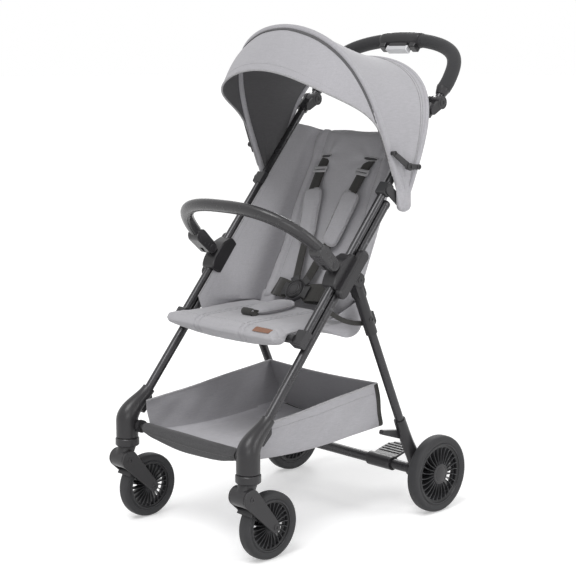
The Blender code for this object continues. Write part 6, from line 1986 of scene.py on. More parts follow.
def seat_loop():
    low = SEAT_BAR_Z + SEAT_BAR_R + GAP
    nose = SEAT_BAR_Y - SEAT_BAR_R - 0.003
    top = SEAT_TOP_Z
    loop = [(SEAT_REAR_Y, low + 0.003), (SEAT_REAR_Y - 0.004, low), (mix(nose, SEAT_REAR_Y, 0.5), low)]
    loop += [(nose + 0.002, low), (nose - 0.001, low - 0.005), (nose - 0.010, low - 0.017)]
    loop += [(SEAT_FRONT_Y + 0.022, low - 0.020), (SEAT_FRONT_Y + 0.007, low - 0.016)]
    loop += [(SEAT_FRONT_Y, low - 0.006), (SEAT_FRONT_Y + 0.005, top - 0.008)]
    loop += [(SEAT_FRONT_Y + 0.022, top - 0.001), (SEAT_BAR_Y - 0.02, top), (SEAT_BAR_Y + 0.04, top)]
    loop += [(mix(SEAT_BAR_Y, SEAT_REAR_Y, 0.55), top), (SEAT_REAR_Y - 0.02, top), (SEAT_REAR_Y - 0.001, top - 0.0028)]
    return loop


def seat_cushion():
    """The seat's cushion: swollen by pressure, then sewn with two double seams and a front welt."""
    loop = seat_loop()
    middle = (0.155, SEAT_TOP_Z - 0.006)
    rings = []
    count = 34
    for i in range(count + 1):
        x = mix(-SEAT_HALF_W + 0.0012, SEAT_HALF_W - 0.0012, i / count)
        across = abs(x) / SEAT_HALF_W
        tuck = 0.0045 * ease((across - 0.93) / 0.07)
        crown = SEAT_CROWN * 0.7 * (1.0 - across ** 2.5)
        ring = []
        for y, z in loop:
            share = (z - 0.4265) / 0.011
            rise = crown * min(max(share, 0.0), 1.0)
            toward_y = 0.0010 if y < 0.2 else 0.0008
            y += toward_y if y < middle[0] else -toward_y
            z += -0.0008 if z > middle[1] else 0.0008
            ring.append((x, y, z + rise - (tuck if share > 0.4 else -tuck * 0.7)))
        rings.append(ring)
    obj = new_object("seat_cushion", skin(rings), [mats["seat_fabric"]], CLOTH_ANGLE)
    swollen(obj, 0.0045, 0.0055)
    smoothed(obj)
    seams = (SEAT_SEAM_X - SEAT_SEAM_W / 2, SEAT_SEAM_X + SEAT_SEAM_W / 2)

    def sew(place, normal):
        if normal.z < -0.3 and place.y > 0.05:
            return place
        depth = 0.0
        for seam in seams:
            depth += 0.0034 * bell(abs(place.x) - seam, 0.0030)
        depth += 0.0016 * bell(place.y - (SEAT_FRONT_Y + 0.030), 0.0035) * (1.0 if normal.z > 0.2 else 0.0)
        pucker = 0.0005 * math.sin(place.y * 420.0) * bell(abs(place.x) - SEAT_SEAM_X, 0.012)
        lazy = 0.0011 * math.sin(place.x * 31.0 + 1.0) * math.sin(place.y * 24.0 + 0.4)
        return place - normal * (depth + pucker) + normal * lazy * (1.0 if normal.z > 0.2 else 0.3)

    shaped(obj, sew)
    stand_for(obj, "seat_pad")
    surface = sampled(obj)
    for number, seam in enumerate(seams):
        for hand in (-1, 1):
            for shift in (-0.0022, 0.0022):
                line = []
                for k in range(60):
                    y = mix(SEAT_FRONT_Y + 0.004, SEAT_REAR_Y - 0.010, k / 59)
                    line.append(surface(hand * seam + shift, y))
                line = [p for p in line if p is not None]
                name = "seat_stitch_%d_%d_%d" % (number, hand + 1, 0 if shift < 0 else 1)
                lift = [UPRIGHT] * len(line)
                sewn(name, line, lift, "seat_frame")
    line = [surface(mix(-0.155, 0.155, k / 90), SEAT_FRONT_Y + 0.0270) for k in range(91)]
    line = [p for p in line if p is not None]
    sewn("seat_front_stitch", line, [UPRIGHT] * len(line), "seat_frame")
    seat_tag(surface)


def ray_tree(obj):
    mesh = obj.data
    return BVHTree.FromPolygons([v.co.copy() for v in mesh.vertices], [tuple(p.vertices) for p in mesh.polygons])


def sampled(obj):
    """Height of the piece's upper side at a place given from the front axle."""
    tree = ray_tree(obj)

    def at(x, y):
        hit = tree.ray_cast(Vector((x, y + SHIFT_Y, 0.6)), Vector((0.0, 0.0, -1.0)))
        if hit[0] is None:
            return None
        return hit[0] - SHIFT

    return at


def seat_tag(surface):
    """A bare stitched leather patch on the seat's front edge."""
    grid = []
    for i in range(17):
        x = mix(0.100, 0.146, i / 16)
        row = []
        for j in range(7):
            y = mix(SEAT_FRONT_Y + 0.0100, SEAT_FRONT_Y + 0.0235, j / 6)
            place = surface(x, y)
            row.append((place or Vector((x, y, SEAT_TOP_Z))) + Vector((0.0, -0.0002, 0.0011)))
        grid.append(row)
    patch = sheet_mesh(relaxed(grid, 8), 0.0012, 0)
    detail("seat_tag", patch, mats["tag"], "seat_frame", "black_leatherette", CLOTH_ANGLE, 0.0003)


def relaxed(grid, rounds):
    """The grid with its heights evened out, so a stiff patch doesn't follow each ripple."""
    for _ in range(rounds):
        old = [[p.copy() for p in row] for row in grid]
        for i in range(len(grid)):
            for j in range(len(grid[0])):
                near = [old[a][b] for a, b in ((i - 1, j), (i + 1, j), (i, j - 1), (i, j + 1))
                        if 0 <= a < len(grid) and 0 <= b < len(grid[0])]
                grid[i][j].z = mix(old[i][j].z, sum(p.z for p in near) / len(near), 0.6)
    return grid


def back_surface(x, height, lift):
    """Front face of the backrest cushion, with its channels, at x and a height."""
    half = back_half(height)
    channel = BACK_CHANNEL_X * half / BACK_HALF_LOW
    middle = 0.0078 * (1.0 - (abs(x) / channel) ** 2.6) if abs(x) < channel else 0.0
    side = 0.0
    if abs(x) >= channel:
        t = (abs(x) - channel) / max(half - channel, 1e-4)
        side = 0.0048 * math.sin(math.pi * min(t, 1.0)) ** 0.8
    end = ease(height / 0.02) * ease((BACK_LEN - height) / 0.022)
    return on_back(x, height, (middle + side - 0.003) * (0.35 + 0.65 * end) + lift)


def back_cushion():
    """The backrest: a closed form swollen by pressure, with sewn channels and soft drags."""
    rings = []
    heights = [0.0015, 0.006, 0.014] + [mix(0.026, BACK_LEN - 0.040, i / 15) for i in range(16)]
    heights += [BACK_LEN - 0.031, BACK_LEN - 0.022, BACK_LEN - 0.013, BACK_LEN - 0.006, BACK_LEN - 0.0035]
    for height in heights:
        half = back_half(height) - 0.0015
        front = []
        for i in range(25):
            x = mix(half, -half, i / 24)
            place = back_surface(x, height, -0.0012)
            edge = ease((abs(x) / half - 0.90) / 0.10)
            front.append(place + (on_back(0, 0, -0.007) - on_back(0, 0, 0.0)) * edge)
        rear = [on_back(x * half, height, -BACK_T + 0.0018) for x in (-0.96, -0.6, -0.2, 0.2, 0.6, 0.96)]
        rings.append(front + rear)
    obj = new_object("back_cushion", skin(rings), [mats["seat_fabric"]], CLOTH_ANGLE)
    swollen(obj, 0.005, 0.0060)
    smoothed(obj)
    lean = math.radians(BACK_LEAN_DEG)

    def sew(place, normal):
        dy = place.y - BACK_Y
        dz = place.z - BACK_Z
        height = dy * math.sin(lean) + dz * math.cos(lean)
        forward = -dy * math.cos(lean) + dz * math.sin(lean)
        if forward < -0.012:
            return place
        half = back_half(min(max(height, 0.0), BACK_LEN - 0.0005))
        channel = BACK_CHANNEL_X * half / BACK_HALF_LOW
        depth = 0.0050 * bell(abs(place.x) - channel, 0.0042)
        drag = 0.0016 * math.sin(height * 34.0 + abs(place.x) * 26.0) * ease((abs(place.x) / half - 0.25) / 0.5)
        pulls = 0.0
        for side in (-1.0, 1.0):
            to_slot = Vector((place.x - side * SLOT_X, height - SLOT_H))
            pulls += 0.0032 * bell(to_slot.length, 0.018)
            spoke = math.atan2(to_slot.y, to_slot.x)
            pulls += 0.0010 * math.sin(spoke * 6.0) * bell(to_slot.length - 0.034, 0.024)
        top = 0.0014 * math.sin(place.x * 60.0 + 0.7) * bell(height - (BACK_LEN - 0.035), 0.05)
        return place - normal * (depth + drag + pulls + top)

    shaped(obj, sew)
    stand_for(obj, "back_pad")
    for hand in (-1, 1):
        line = []
        for k in range(90):
            height = mix(0.020, BACK_LEN - 0.034, k / 89)
            channel = BACK_CHANNEL_X * back_half(height) / BACK_HALF_LOW
            line.append((hand * channel, height))
        front_line("back_seam_%d" % (hand + 1), obj, line)
    slots(obj)
    return obj


def front_hits(obj):
    """Front face of the backrest at (x, height), as a place and a normal."""
    tree = ray_tree(obj)
    out = back_out()

    def at(x, height):
        start = on_back(x, height, 0.06) + SHIFT
        hit = tree.ray_cast(start, -out)
        if hit[0] is None:
            return on_back(x, height, 0.006), out
        return hit[0] - SHIFT, out

    return at


def front_line(name, obj, line):
    at = front_hits(obj)
    points = []
    lift = []
    for x, height in line:
        place, out = at(x, height)
        points.append(place)
        lift.append(out)
    sewn(name, points, lift, "backrest")


def slots(obj):
    """Bound buttonholes that the shoulder straps come out of."""
    at = front_hits(obj)
    for hand in (-1, 1):
        points = []
        for a in turns(40):
            x = hand * SLOT_X + 0.0175 * powered(math.cos(a), 0.45)
            height = SLOT_H + 0.0042 * math.sin(a)
            place, out = at(x, height)
            points.append(place + out * 0.0006)
        bm = sweep(points, 0.0012, 8, (1.0, 0.0, 0.0), True)
        bound("slot_binding_%d" % (hand + 1), bm, "backrest")
        # A dark sheet over the middle of each slot: painted shade inside the buttonhole.
        centre = []
        for i in range(9):
            row = []
            for j in range(4):
                place, out = at(hand * SLOT_X + mix(-0.0160, 0.0160, i / 8), SLOT_H + mix(-0.0032, 0.0032, j / 3))
                row.append(place + out * 0.0002)
            centre.append(row)
        detail("slot_mouth_%d" % (hand + 1), sheet_mesh(centre, 0.0006, 0), mats["dark_fabric"], "backrest",
               "charcoal_webbing", CLOTH_ANGLE)


def panel_grid(columns, rows):
    """Cloth wing from the seat tube's line to the side of the backrest, and its skirt down to the seat."""
    grid = []
    for i in range(rows + 1):
        t = i / rows
        along = mix(0.222, WING_TOP_S, t)
        y, z = on_side(along, -SEAT_TUBE_FRONT + 0.002)
        start = Vector((WING_X, y, max(z, SEAT_TOP_Z + 0.004)))
        height = mix(0.010, BACK_LEN - 0.010, t)
        end = on_back(back_half(height) - 0.0100, height, -0.0105)
        row = []
        for j in range(columns + 1):
            v = j / columns
            place = start.lerp(end, v)
            ridge = math.sin(math.pi * v)
            bow = 0.009 * ridge * (1.0 - t) + 0.004 * ridge
            drag = 0.0062 * ridge * math.sin(v * 6.4 + t * 2.4 + 0.2) * (1.0 - 0.4 * t)
            row.append(place + Vector((-bow + drag * 0.8, 0.0, 0.0)))
        grid.append(row)
    lower = grid[0]
    skirt = []
    for number in range(4):
        share = (number + 1) / 4
        row = []
        for j, place in enumerate(lower):
            v = j / columns
            x = mix(SEAT_HALF_W - 0.0042, BACK_HALF_LOW - 0.008, ease((v - 0.75) / 0.25))
            y = mix(place.y, SEAT_REAR_Y - 0.001, v ** 3)
            target = Vector((x, y, SEAT_TOP_Z - 0.0060))
            row.append(place.lerp(target, share))
        skirt.append(row)
    return skirt[::-1] + grid


def panels():
    for side, hand in HANDS:
        grid = [opposite(row, hand) for row in panel_grid(22, 40)]
        obj = new_object("side_wing_" + side, sheet_mesh(grid, 0.0015, 0), [mats["seat_fabric"]], CLOTH_ANGLE)
        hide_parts("side_panel_" + side)
        recline_blend(obj)
        hem = [row[0] for row in grid[4:]]
        recline_blend(bound("wing_binding_" + side, sweep(hem, 0.0016, 8), None))
        inner = [row[2] + Vector((-hand * 0.0010, 0.0, 0.0)) for row in grid[4:]]
        lift = [Vector((float(hand), 0.0, 0.0))] * len(inner)
        recline_blend(sewn("wing_stitch_" + side, inner, lift, None))


def recline_blend(obj):
    """Bakes the object's placement into its mesh."""
    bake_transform(obj)


def crease_cloth():
    """Strip of cloth sewn from the seat's rear edge to the backrest's foot, closing the crease."""
    profile = [(SEAT_REAR_Y - 0.022, SEAT_TOP_Z - 0.0012), (SEAT_REAR_Y - 0.010, SEAT_TOP_Z + 0.0005)]
    profile += [(SEAT_REAR_Y - 0.003, SEAT_TOP_Z - 0.0010), (SEAT_REAR_Y + 0.0006, SEAT_TOP_Z - 0.0030)]
    for height, forward in ((0.004, -0.0010), (0.010, 0.0005), (0.018, 0.0010), (0.028, 0.0)):
        place = on_back(0.0, height, forward)
        profile.append((place.y, place.z))
    grid = []
    for i in range(49):
        x = mix(-0.138, 0.138, i / 48)
        wave = 0.0006 * math.sin(x * 70.0)
        grid.append([Vector((x, y, z + wave)) for y, z in profile])
    bm = sheet_mesh(grid, 0.0014, 0)
    obj = detail("crease_cloth", bm, mats["seat_fabric"], None, "grey_fabric", CLOTH_ANGLE)
    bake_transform(obj)


def seat_sling():
    """Cloth under the crease: it hangs from the seat's underside and comes up behind the backrest."""
    low = SEAT_BAR_Z + SEAT_BAR_R
    rear = on_back(0.0, 0.055, -BACK_T + 0.002)
    line = [(0.170, low + 0.003), (0.200, low - 0.008), (0.235, low - 0.022), (0.264, low - 0.029)]
    line += [(0.291, low - 0.024), (0.309, low - 0.006), (0.3140, low + 0.020), (rear.y, rear.z)]
    profile = eased([(0.0, y, z) for y, z in line], [0.0] * len(line), 4)[0]
    first = profile[0]
    last = profile[-1]
    grid = []
    for i in range(61):
        u = mix(-1.0, 1.0, i / 60)
        side = ease((abs(u) - 0.80) / 0.20)
        x = math.copysign(mix(0.146 * min(abs(u) / 0.80, 1.0), 0.1525, side), u)
        row = []
        for j, place in enumerate(profile):
            share = j / (len(profile) - 1)
            chord = first.lerp(last, share) + Vector((0.0, 0.006, 0.004))
            point = place.lerp(chord, side ** 1.6)
            ripple = 0.0014 * math.sin(u * 9.0 + share * 7.0) * math.sin(math.pi * share)
            narrow = mix(1.0, 0.86, ease((share - 0.62) / 0.38))
            row.append(Vector((x * narrow, point.y, point.z + ripple)))
        grid.append(row)
    obj = detail("seat_sling", sheet_mesh(grid, CLOTH_T, 0), mats["fabric"], None, "grey_fabric", CLOTH_ANGLE)
    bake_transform(obj)


def flat_ribbon(points, across, width, thick):
    """Webbing of rectangular section whose width follows the across vectors."""
    widths = width if isinstance(width, list) else [width] * len(points)
    rings = []
    for i, point in enumerate(points):
        before = points[max(i - 1, 0)]
        after = points[min(i + 1, len(points) - 1)]
        forward = (after - before).normalized()
        side = (across[i] - forward * across[i].dot(forward)).normalized()
        up = forward.cross(side).normalized()
        ring = []
        shape = [(-1, -0.45), (-0.96, -1), (-0.5, -1), (0, -1), (0.5, -1), (0.96, -1), (1, -0.45)]
        shape += [(1, 0.45), (0.96, 1), (0.5, 1), (0, 1), (-0.5, 1), (-0.96, 1), (-1, 0.45)]
        for a, b in shape:
            ring.append(point + side * (widths[i] / 2 * a) + up * (thick / 2 * b))
        rings.append(ring)
    return skin(rings)


def bezier(a, b, c, d, steps):
    result = []
    for i in range(steps + 1):
        t = i / steps
        result.append(a * (1 - t) ** 3 + b * (3 * t * (1 - t) ** 2) + c * (3 * t * t * (1 - t)) + d * t ** 3)
    return result


def shoulder_harness(back):
    at = front_hits(back)
    for side, hand in HANDS:
        pad_rings = []
        steps = 30
        for i in range(steps + 1):
            t = i / steps
            height = mix(PAD_H_LOW + 0.001, PAD_H_TOP - 0.001, t)
            centre = on_back(harness_line(height), height, PAD_LIFT + 0.0095)
            off = math.sqrt(max(1.0 - (2.0 * t - 1.0) ** 8, 0.0))
            half = mix(0.011, SHOULDER_HALF, off) * mix(0.92, 1.0, t) - 0.0006
            thick = mix(0.0020, 0.0052, off)
            along = harness_along(height)
            out = back_out()
            across = along.cross(out).normalized()
            ring = []
            for a in turns(28):
                ca = powered(math.cos(a), 0.62)
                sa = powered(math.sin(a), 0.85)
                ring.append(centre + across * (half * ca) + out * (thick * sa))
            pad_rings.append(opposite(ring, hand))
        pad = new_object("strap_pad_" + side, skin(pad_rings), [mats["seat_fabric"]], CLOTH_ANGLE)
        swollen(pad, 0.0028, 0.0022)
        smoothed(pad)
        stand_for(pad, "shoulder_pad_" + side)
        pad_welt(side, hand)
        strap(side, hand, at)
        lower_strap(side, hand)


def pad_edge():
    """Outline of a shoulder pad, for its binding."""
    points = []
    out = back_out()
    steps = 40
    for k in range(2):
        for i in range(steps + 1):
            t = i / steps if k == 0 else 1.0 - i / steps
            height = mix(PAD_H_LOW + 0.0015, PAD_H_TOP - 0.0015, t)
            off = math.sqrt(max(1.0 - (2.0 * t - 1.0) ** 8, 0.0))
            half = mix(0.011, SHOULDER_HALF, off) * mix(0.92, 1.0, t)
            centre = on_back(harness_line(height), height, PAD_LIFT + 0.0095)
            along = harness_along(height)
            across = along.cross(out).normalized()
            points.append(centre + across * (half if k == 0 else -half))
    return points


def pad_welt(side, hand):
    points = opposite(pad_edge(), hand)
    clean = [points[0]]
    for p in points[1:]:
        if (p - clean[-1]).length > 0.0012:
            clean.append(p)
    if (clean[0] - clean[-1]).length < 0.0012:
        clean.pop()
    bm = sweep(clean, 0.0014, 8, (0.0, -1.0, 0.3), True)
    bound("pad_binding_" + side, bm, "backrest")


def strap(side, hand, at):
    """Webbing from the slot over the pad's top, with its slide adjuster."""
    out = back_out()
    place, _ = at(hand * SLOT_X, SLOT_H - 0.001)
    start = Vector((abs(place.x), place.y, place.z)) - out * 0.003
    leave = start + out * 0.008
    end = on_back(harness_line(PAD_H_TOP - 0.004), PAD_H_TOP - 0.004, PAD_LIFT + 0.0105)
    line = bezier(start, leave + (end - start) * 0.12, end + (start - end) * 0.35 + out * 0.002, end, 26)
    line = opposite(line, hand)
    bm = flat_ribbon(line, [ACROSS] * len(line), STRAP_W * 1.06, STRAP_T)
    obj = new_object("shoulder_web_" + side, bm, [mats["webbing"]], WEBBING_ANGLE)
    stand_for(obj, "shoulder_strap_" + side)
    middle = line[13]
    forward = (line[14] - line[12]).normalized()
    across = (ACROSS - forward * ACROSS.dot(forward)).normalized()
    up = forward.cross(across).normalized()
    if up.dot(out) < 0.0:
        up = -up
    bars = []
    for shift in (-0.0042, 0.0042):
        reach = STRAP_W / 2 + 0.0050
        bar = [middle + forward * shift + across * (s * reach) + up * 0.0022 for s in (-1.0, -0.5, 0.0, 0.5, 1.0)]
        bars.append(sweep(bar, (0.0034, 0.0022), 16, forward))
    ends = []
    for s in (-1.0, 1.0):
        a = middle - forward * 0.0060 + across * (s * (STRAP_W / 2 + 0.0036)) + up * 0.0020
        b = middle + forward * 0.0060 + across * (s * (STRAP_W / 2 + 0.0036)) + up * 0.0020
        ends.append(sweep([a, b], (0.0026, 0.0022), 14, across))
    bm = combine(bars[0], bars[1:] + ends)
    detail("strap_slider_" + side, bm, mats["adjuster"], "backrest", "grey_plastic", 40.0)


def lower_strap(side, hand):
    """Webbing from the pad's foot down to the buckle."""
    out = back_out()
    start = on_back(harness_line(PAD_H_LOW + 0.006), PAD_H_LOW + 0.006, PAD_LIFT + 0.0088)
    place, face, up = buckle_frame()
    end = place - face * 0.001 + up * (BUCKLE_R * 0.72) + Vector((BUCKLE_R * 0.62, 0.0, 0.0))
    from_pad = start + (end - start) * 0.35 + out * 0.002
    line = bezier(start, from_pad, end + up * 0.020 + Vector((0.006, 0.0, 0.0)), end, 22)
    line = opposite(line, hand)
    bm = flat_ribbon(line, [Vector((1.0, -0.1 * hand, -0.4 * hand))] * len(line), 0.0215, STRAP_T)
    harness_blend(webbing_piece("lower_web_" + side, bm, None))


def harness_blend(obj):
    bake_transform(obj)


def buckle_details():
    """Two thin rings, the outer flange and the four belt tongues of the round buckle."""
    place, out, up = buckle_frame()

    def radial(a):
        return up * math.sin(a) + ACROSS * math.cos(a)

    ring = [place + radial(a) * (BUCKLE_R - 0.0018) + out * (BUCKLE_T / 2 + 0.0002) for a in turns(72)]
    bm = sweep(ring, 0.0009, 8, out, True)
    moulded("buckle_ring", bm, "dark_plastic", "seat_frame", CLOTH_ANGLE)
    ring = [place + radial(a) * (BUCKLE_BUTTON_R - 0.0042) + out * (BUCKLE_T / 2 + 0.0016) for a in turns(60)]
    bm = sweep(ring, 0.0007, 8, out, True)
    moulded("button_ring", bm, "plastic", "buckle_button", CLOTH_ANGLE)
    profile = [(BUCKLE_R - 0.002, -0.0050), (FLANGE_R - 0.0014, -0.0050), (FLANGE_R, -0.0036), (FLANGE_R, 0.0006)]
    profile += [(FLANGE_R - 0.0010, 0.0032), (FLANGE_R - 0.0026, 0.0042), (FLANGE_R - 0.0040, 0.0038)]
    profile += [(BUCKLE_R + 0.0006, 0.0020), (BUCKLE_R - 0.002, 0.0018)]
    bm = skin([[place + radial(a) * radius + out * height for a in turns(96)] for radius, height in profile])
    moulded("buckle_flange", bm, "plastic", "seat_frame", 40.0)
    for number, angle in enumerate((58.0, 122.0, 182.0, -2.0)):
        away = radial(math.radians(angle))
        base = place + away * (FLANGE_R - 0.0030)
        tip = place + away * (FLANGE_R + 0.0105)
        side = out.cross(away).normalized()
        wide = 0.0125 if number < 2 else 0.0160
        sizes = [(wide * 0.84, 0.0036), (wide * 0.95, 0.0032), (wide, 0.0024)]
        bm = sweep([base, base.lerp(tip, 0.7), tip], sizes, 20, side)
        moulded("buckle_tongue_%d" % number, bm, "dark_plastic", "seat_frame", MOULDED_ANGLE, 0.0005)


def waist_straps():
    """Webbing from the buckle's tongues round to the foot of the backrest."""
    place, out, up = buckle_frame()
    rear = place - out * (BUCKLE_T / 2 + 4 * GAP + STRAP_T / 2)
    back = on_back(0.0, BELT_END_H, BELT_END_OFF)
    line = []
    across = []
    for i in range(49):
        u = mix(-1.0, 1.0, i / 48)
        wave = 0.0030 * math.sin(u * 9.0) * (1.0 - abs(u)) * abs(u)
        y = mix(rear.y, back.y, abs(u) ** 3)
        z = mix(rear.z, back.z, u * u)
        line.append(Vector((u * BELT_HALF, y - wave, z + wave)))
        twist = 0.25 * math.sin(u * 3.0)
        across.append((up + out * twist).normalized())
    widths = []
    for i in range(49):
        u = abs(mix(-1.0, 1.0, i / 48))
        widths.append(STRAP_W + WAIST_MORE * ease((u - 0.15) / 0.18) * ease((1.0 - u) / 0.16))
    bm = flat_ribbon(line, across, widths, STRAP_T)
    obj = new_object("waist_web", bm, [mats["webbing"]], WEBBING_ANGLE)
    stand_for(obj, "waist_belt")
    for hand in (-1, 1):
        rise = [(k, 0.0030 + 0.0060 * math.sin(math.pi * (k - 7) / 14.0)) for k in range(7, 22)]
        first = [line[24 + hand * k] + out * height for k, height in rise]
        turn_at = line[24 + hand * 22]
        first.append(turn_at + out * 0.0034 + Vector((hand * 0.0022, 0.0, 0.0)))
        first.append(turn_at + out * 0.0016 + Vector((hand * 0.0034, 0.0, 0.0)))
        first.append(turn_at - out * 0.0002 + Vector((hand * 0.0022, 0.0, 0.0)))
        ply = flat_ribbon(first, [up] * len(first), [STRAP_W + WAIST_MORE * 0.94] * len(first), STRAP_T)
        webbing_piece("waist_ply_%d" % (hand + 1), ply, "seat_frame")
    for hand in (-1, 1):
        at = 24 + hand * 15
        middle = line[at]
        forward = (line[at + 1] - line[at - 1]).normalized()
        side = across[at]
        bars = []
        for s in (-0.0052, 0.0, 0.0052):
            a = middle + forward * s + side * 0.0218 + out * 0.0014
            b = middle + forward * s - side * 0.0218 + out * 0.0014
            bars.append(sweep([a, b], (0.0013, 0.0012), 10, forward))
        for s in (-1.0, 1.0):
            a = middle - forward * 0.0066 + side * (s * 0.0214) + out * 0.0014
            b = middle + forward * 0.0066 + side * (s * 0.0214) + out * 0.0014
            bars.append(sweep([a, b], (0.0014, 0.0014), 10, side))
        bm = combine(bars[0], bars[1:])
        moulded("waist_slider_%d" % (hand + 1), bm, "dark_plastic", "seat_frame", 40.0)


def crotch_fine():
    """Padded strap from the buckle down on to the seat, and the webbing loop at its front end."""
    place, _, up = buckle_frame()
    surface = SEAT_TOP_Z + SEAT_CROWN
    lying = surface + CROTCH_DEEP - 0.0012
    top = place - up * (FLANGE_R + GAP)
    low = top - up * 0.007
    path = [top, low, Vector((0.0, low.y - 0.012, mix(low.z, lying, 0.62)))]
    path.append(Vector((0.0, low.y - 0.026, lying + 0.0008)))
    for i in range(1, 6):
        t = i / 5
        path.append(Vector((CROTCH_SHIFT * t, mix(path[3].y, CROTCH_FRONT_Y, t), lying)))
    widths = (0.55, 0.66, 0.88, 0.97, 1.0, 1.0, 0.99, 0.88, 0.52)
    thicks = (0.35, 0.5, 0.85, 1.0, 1.0, 1.0, 1.0, 0.9, 0.45)
    sizes = [(CROTCH_HALF * w, CROTCH_DEEP * t - 0.0004) for w, t in zip(widths, thicks)]
    fine_path, fine_sizes = eased(path, sizes, 6)
    bm = sweep(fine_path, fine_sizes, 28, (1.0, 0.0, 0.0))
    obj = new_object("crotch_cushion", bm, [mats["seat_fabric"]], CLOTH_ANGLE)
    swollen(obj, 0.0026, 0.0020)
    smoothed(obj)
    stand_for(obj, "crotch_pad")
    for hand in (-1, 1):
        line = []
        for p, s in zip(fine_path[8:], fine_sizes[8:]):
            line.append(p + Vector((hand * (s[0] + 0.0002), 0.0, 0.0)))
        bound("crotch_binding_%d" % (hand + 1), sweep(line, 0.0012, 8), "seat_frame")
    end = path[-1]
    loop = []
    for i in range(15):
        a = math.radians(mix(70.0, -200.0, i / 14))
        loop.append(end + Vector((0.0, -0.0095 - 0.0108 * math.cos(a), 0.0014 + 0.0078 * math.sin(a))))
    bm = flat_ribbon(loop, [ACROSS] * len(loop), 0.030, 0.0016)
    webbing_piece("crotch_loop", bm, "seat_frame")


# Basket and crossbar sleeve

BASKET_LEAN = 0.034           # how far the rear wall's foot stands behind its rim
HOUSING_REACH = 0.060         # half length of the sleeve round the grip's middle
CUFF = ((0.0186, 0.0098), (0.0190, 0.0108), (0.0255, 0.0128), (0.0345, 0.0150), (0.0375, 0.0152), (0.0384, 0.0140))


def basket_ring(y, t, count):
    """Section of the basket's cloth: rim, wall with sag folds, rounded corner and hanging floor."""
    rim_z = mix(BASKET_RIM_FRONT_Z, BASKET_RIM_REAR_Z, t)
    floor_z = BASKET_FLOOR_Z - BASKET_SAG * math.sin(math.pi * t)
    half = BASKET_HALF - 0.0009
    low_half = half - 0.012
    points = []
    for i in range(count + 1):
        u = mix(-1.0, 1.0, i / count)
        side = math.copysign(1.0, u)
        a = abs(u)
        if a < 0.52:
            s = a / 0.52
            x = (low_half - 0.012) * s
            z = floor_z - 0.0045 + 0.0055 * s ** 2.2
            broad = 0.0016 * math.sin(x * side * 40.0 + y * 19.0) * (1.0 - s)
            z += broad + 0.0008 * math.sin(x * side * 90.0 - y * 33.0)
        elif a < 0.62:
            s = (a - 0.52) / 0.10
            x = low_half - 0.012 + 0.012 * math.sin(s * math.pi / 2)
            z = floor_z + 0.001 + 0.010 * (1.0 - math.cos(s * math.pi / 2))
        else:
            s = (a - 0.62) / 0.38
            x = mix(low_half, half, s ** 0.7)
            z = mix(floor_z + 0.011, rim_z, s)
            belly = math.sin(math.pi * s)
            drape = 0.0030 * math.sin(y * 34.0 + s * 2.2) + 0.0015 * math.sin(y * 71.0 - s * 5.0)
            x += belly * (drape - 0.001)
            z += -0.0012 * s * math.sin(math.pi * t) ** 2 * (1.0 + math.sin(y * 22.0))
        back = BASKET_LEAN * ease((t - 0.80) / 0.20) * min(max((rim_z - z) / (rim_z - floor_z), 0.0), 1.0)
        points.append(Vector((side * x, y + back, z)))
    return points


def basket_fine():
    rows = 46
    grid = []
    for i in range(rows + 1):
        t = i / rows
        y = mix(BASKET_FRONT_Y, BASKET_REAR_Y - 0.0012, t)
        grid.append(basket_ring(y, t, 96))
    # Inner faces of the walls take the second, darker cloth as painted shade; the floor's faces keep the plain grey.
    bm = sheet_mesh(grid, 0.0017)
    for face in bm.faces:
        middle = face.calc_center_median()
        t = min((middle.y - BASKET_FRONT_Y) / (BASKET_REAR_Y - BASKET_FRONT_Y), 1.0)
        if middle.z < BASKET_FLOOR_Z - BASKET_SAG * math.sin(math.pi * t) + 0.0102:
            face.material_index = 0
    tray = new_object("basket_tray", bm, [mats["fabric"], mats["basket_painted_shade_fabric"]], CLOTH_ANGLE)
    stand_for(tray, "basket")
    rear = rear_wall(grid[-1])
    lip = basket_front_hem()
    rims = basket_rims(grid)


def rear_wall(edge):
    """Upright cloth at the rear, from side to side and from rim to floor."""
    count = len(edge) - 1
    half = count // 2
    grid = []
    for i in range(half + 1):
        left = edge[i]
        right = edge[count - i]
        row = []
        for j in range(31):
            v = j / 30
            place = left.lerp(right, v)
            down = math.sin(math.pi * v)
            place.y += -0.0035 * down * math.sin(math.pi * i / half) + 0.0008 * math.sin(v * 21.0 + i * 0.2)
            place.z -= 0.0040 * down * (1.0 - i / half) ** 2
            row.append(place)
        grid.append(row)
    bm = sheet_mesh(grid, CLOTH_T, 0)
    # The rear wall is all darker cloth: painted shade inside the basket.
    return detail("basket_rear_wall", bm, mats["basket_painted_shade_fabric"], "chassis", "grey_fabric", CLOTH_ANGLE)


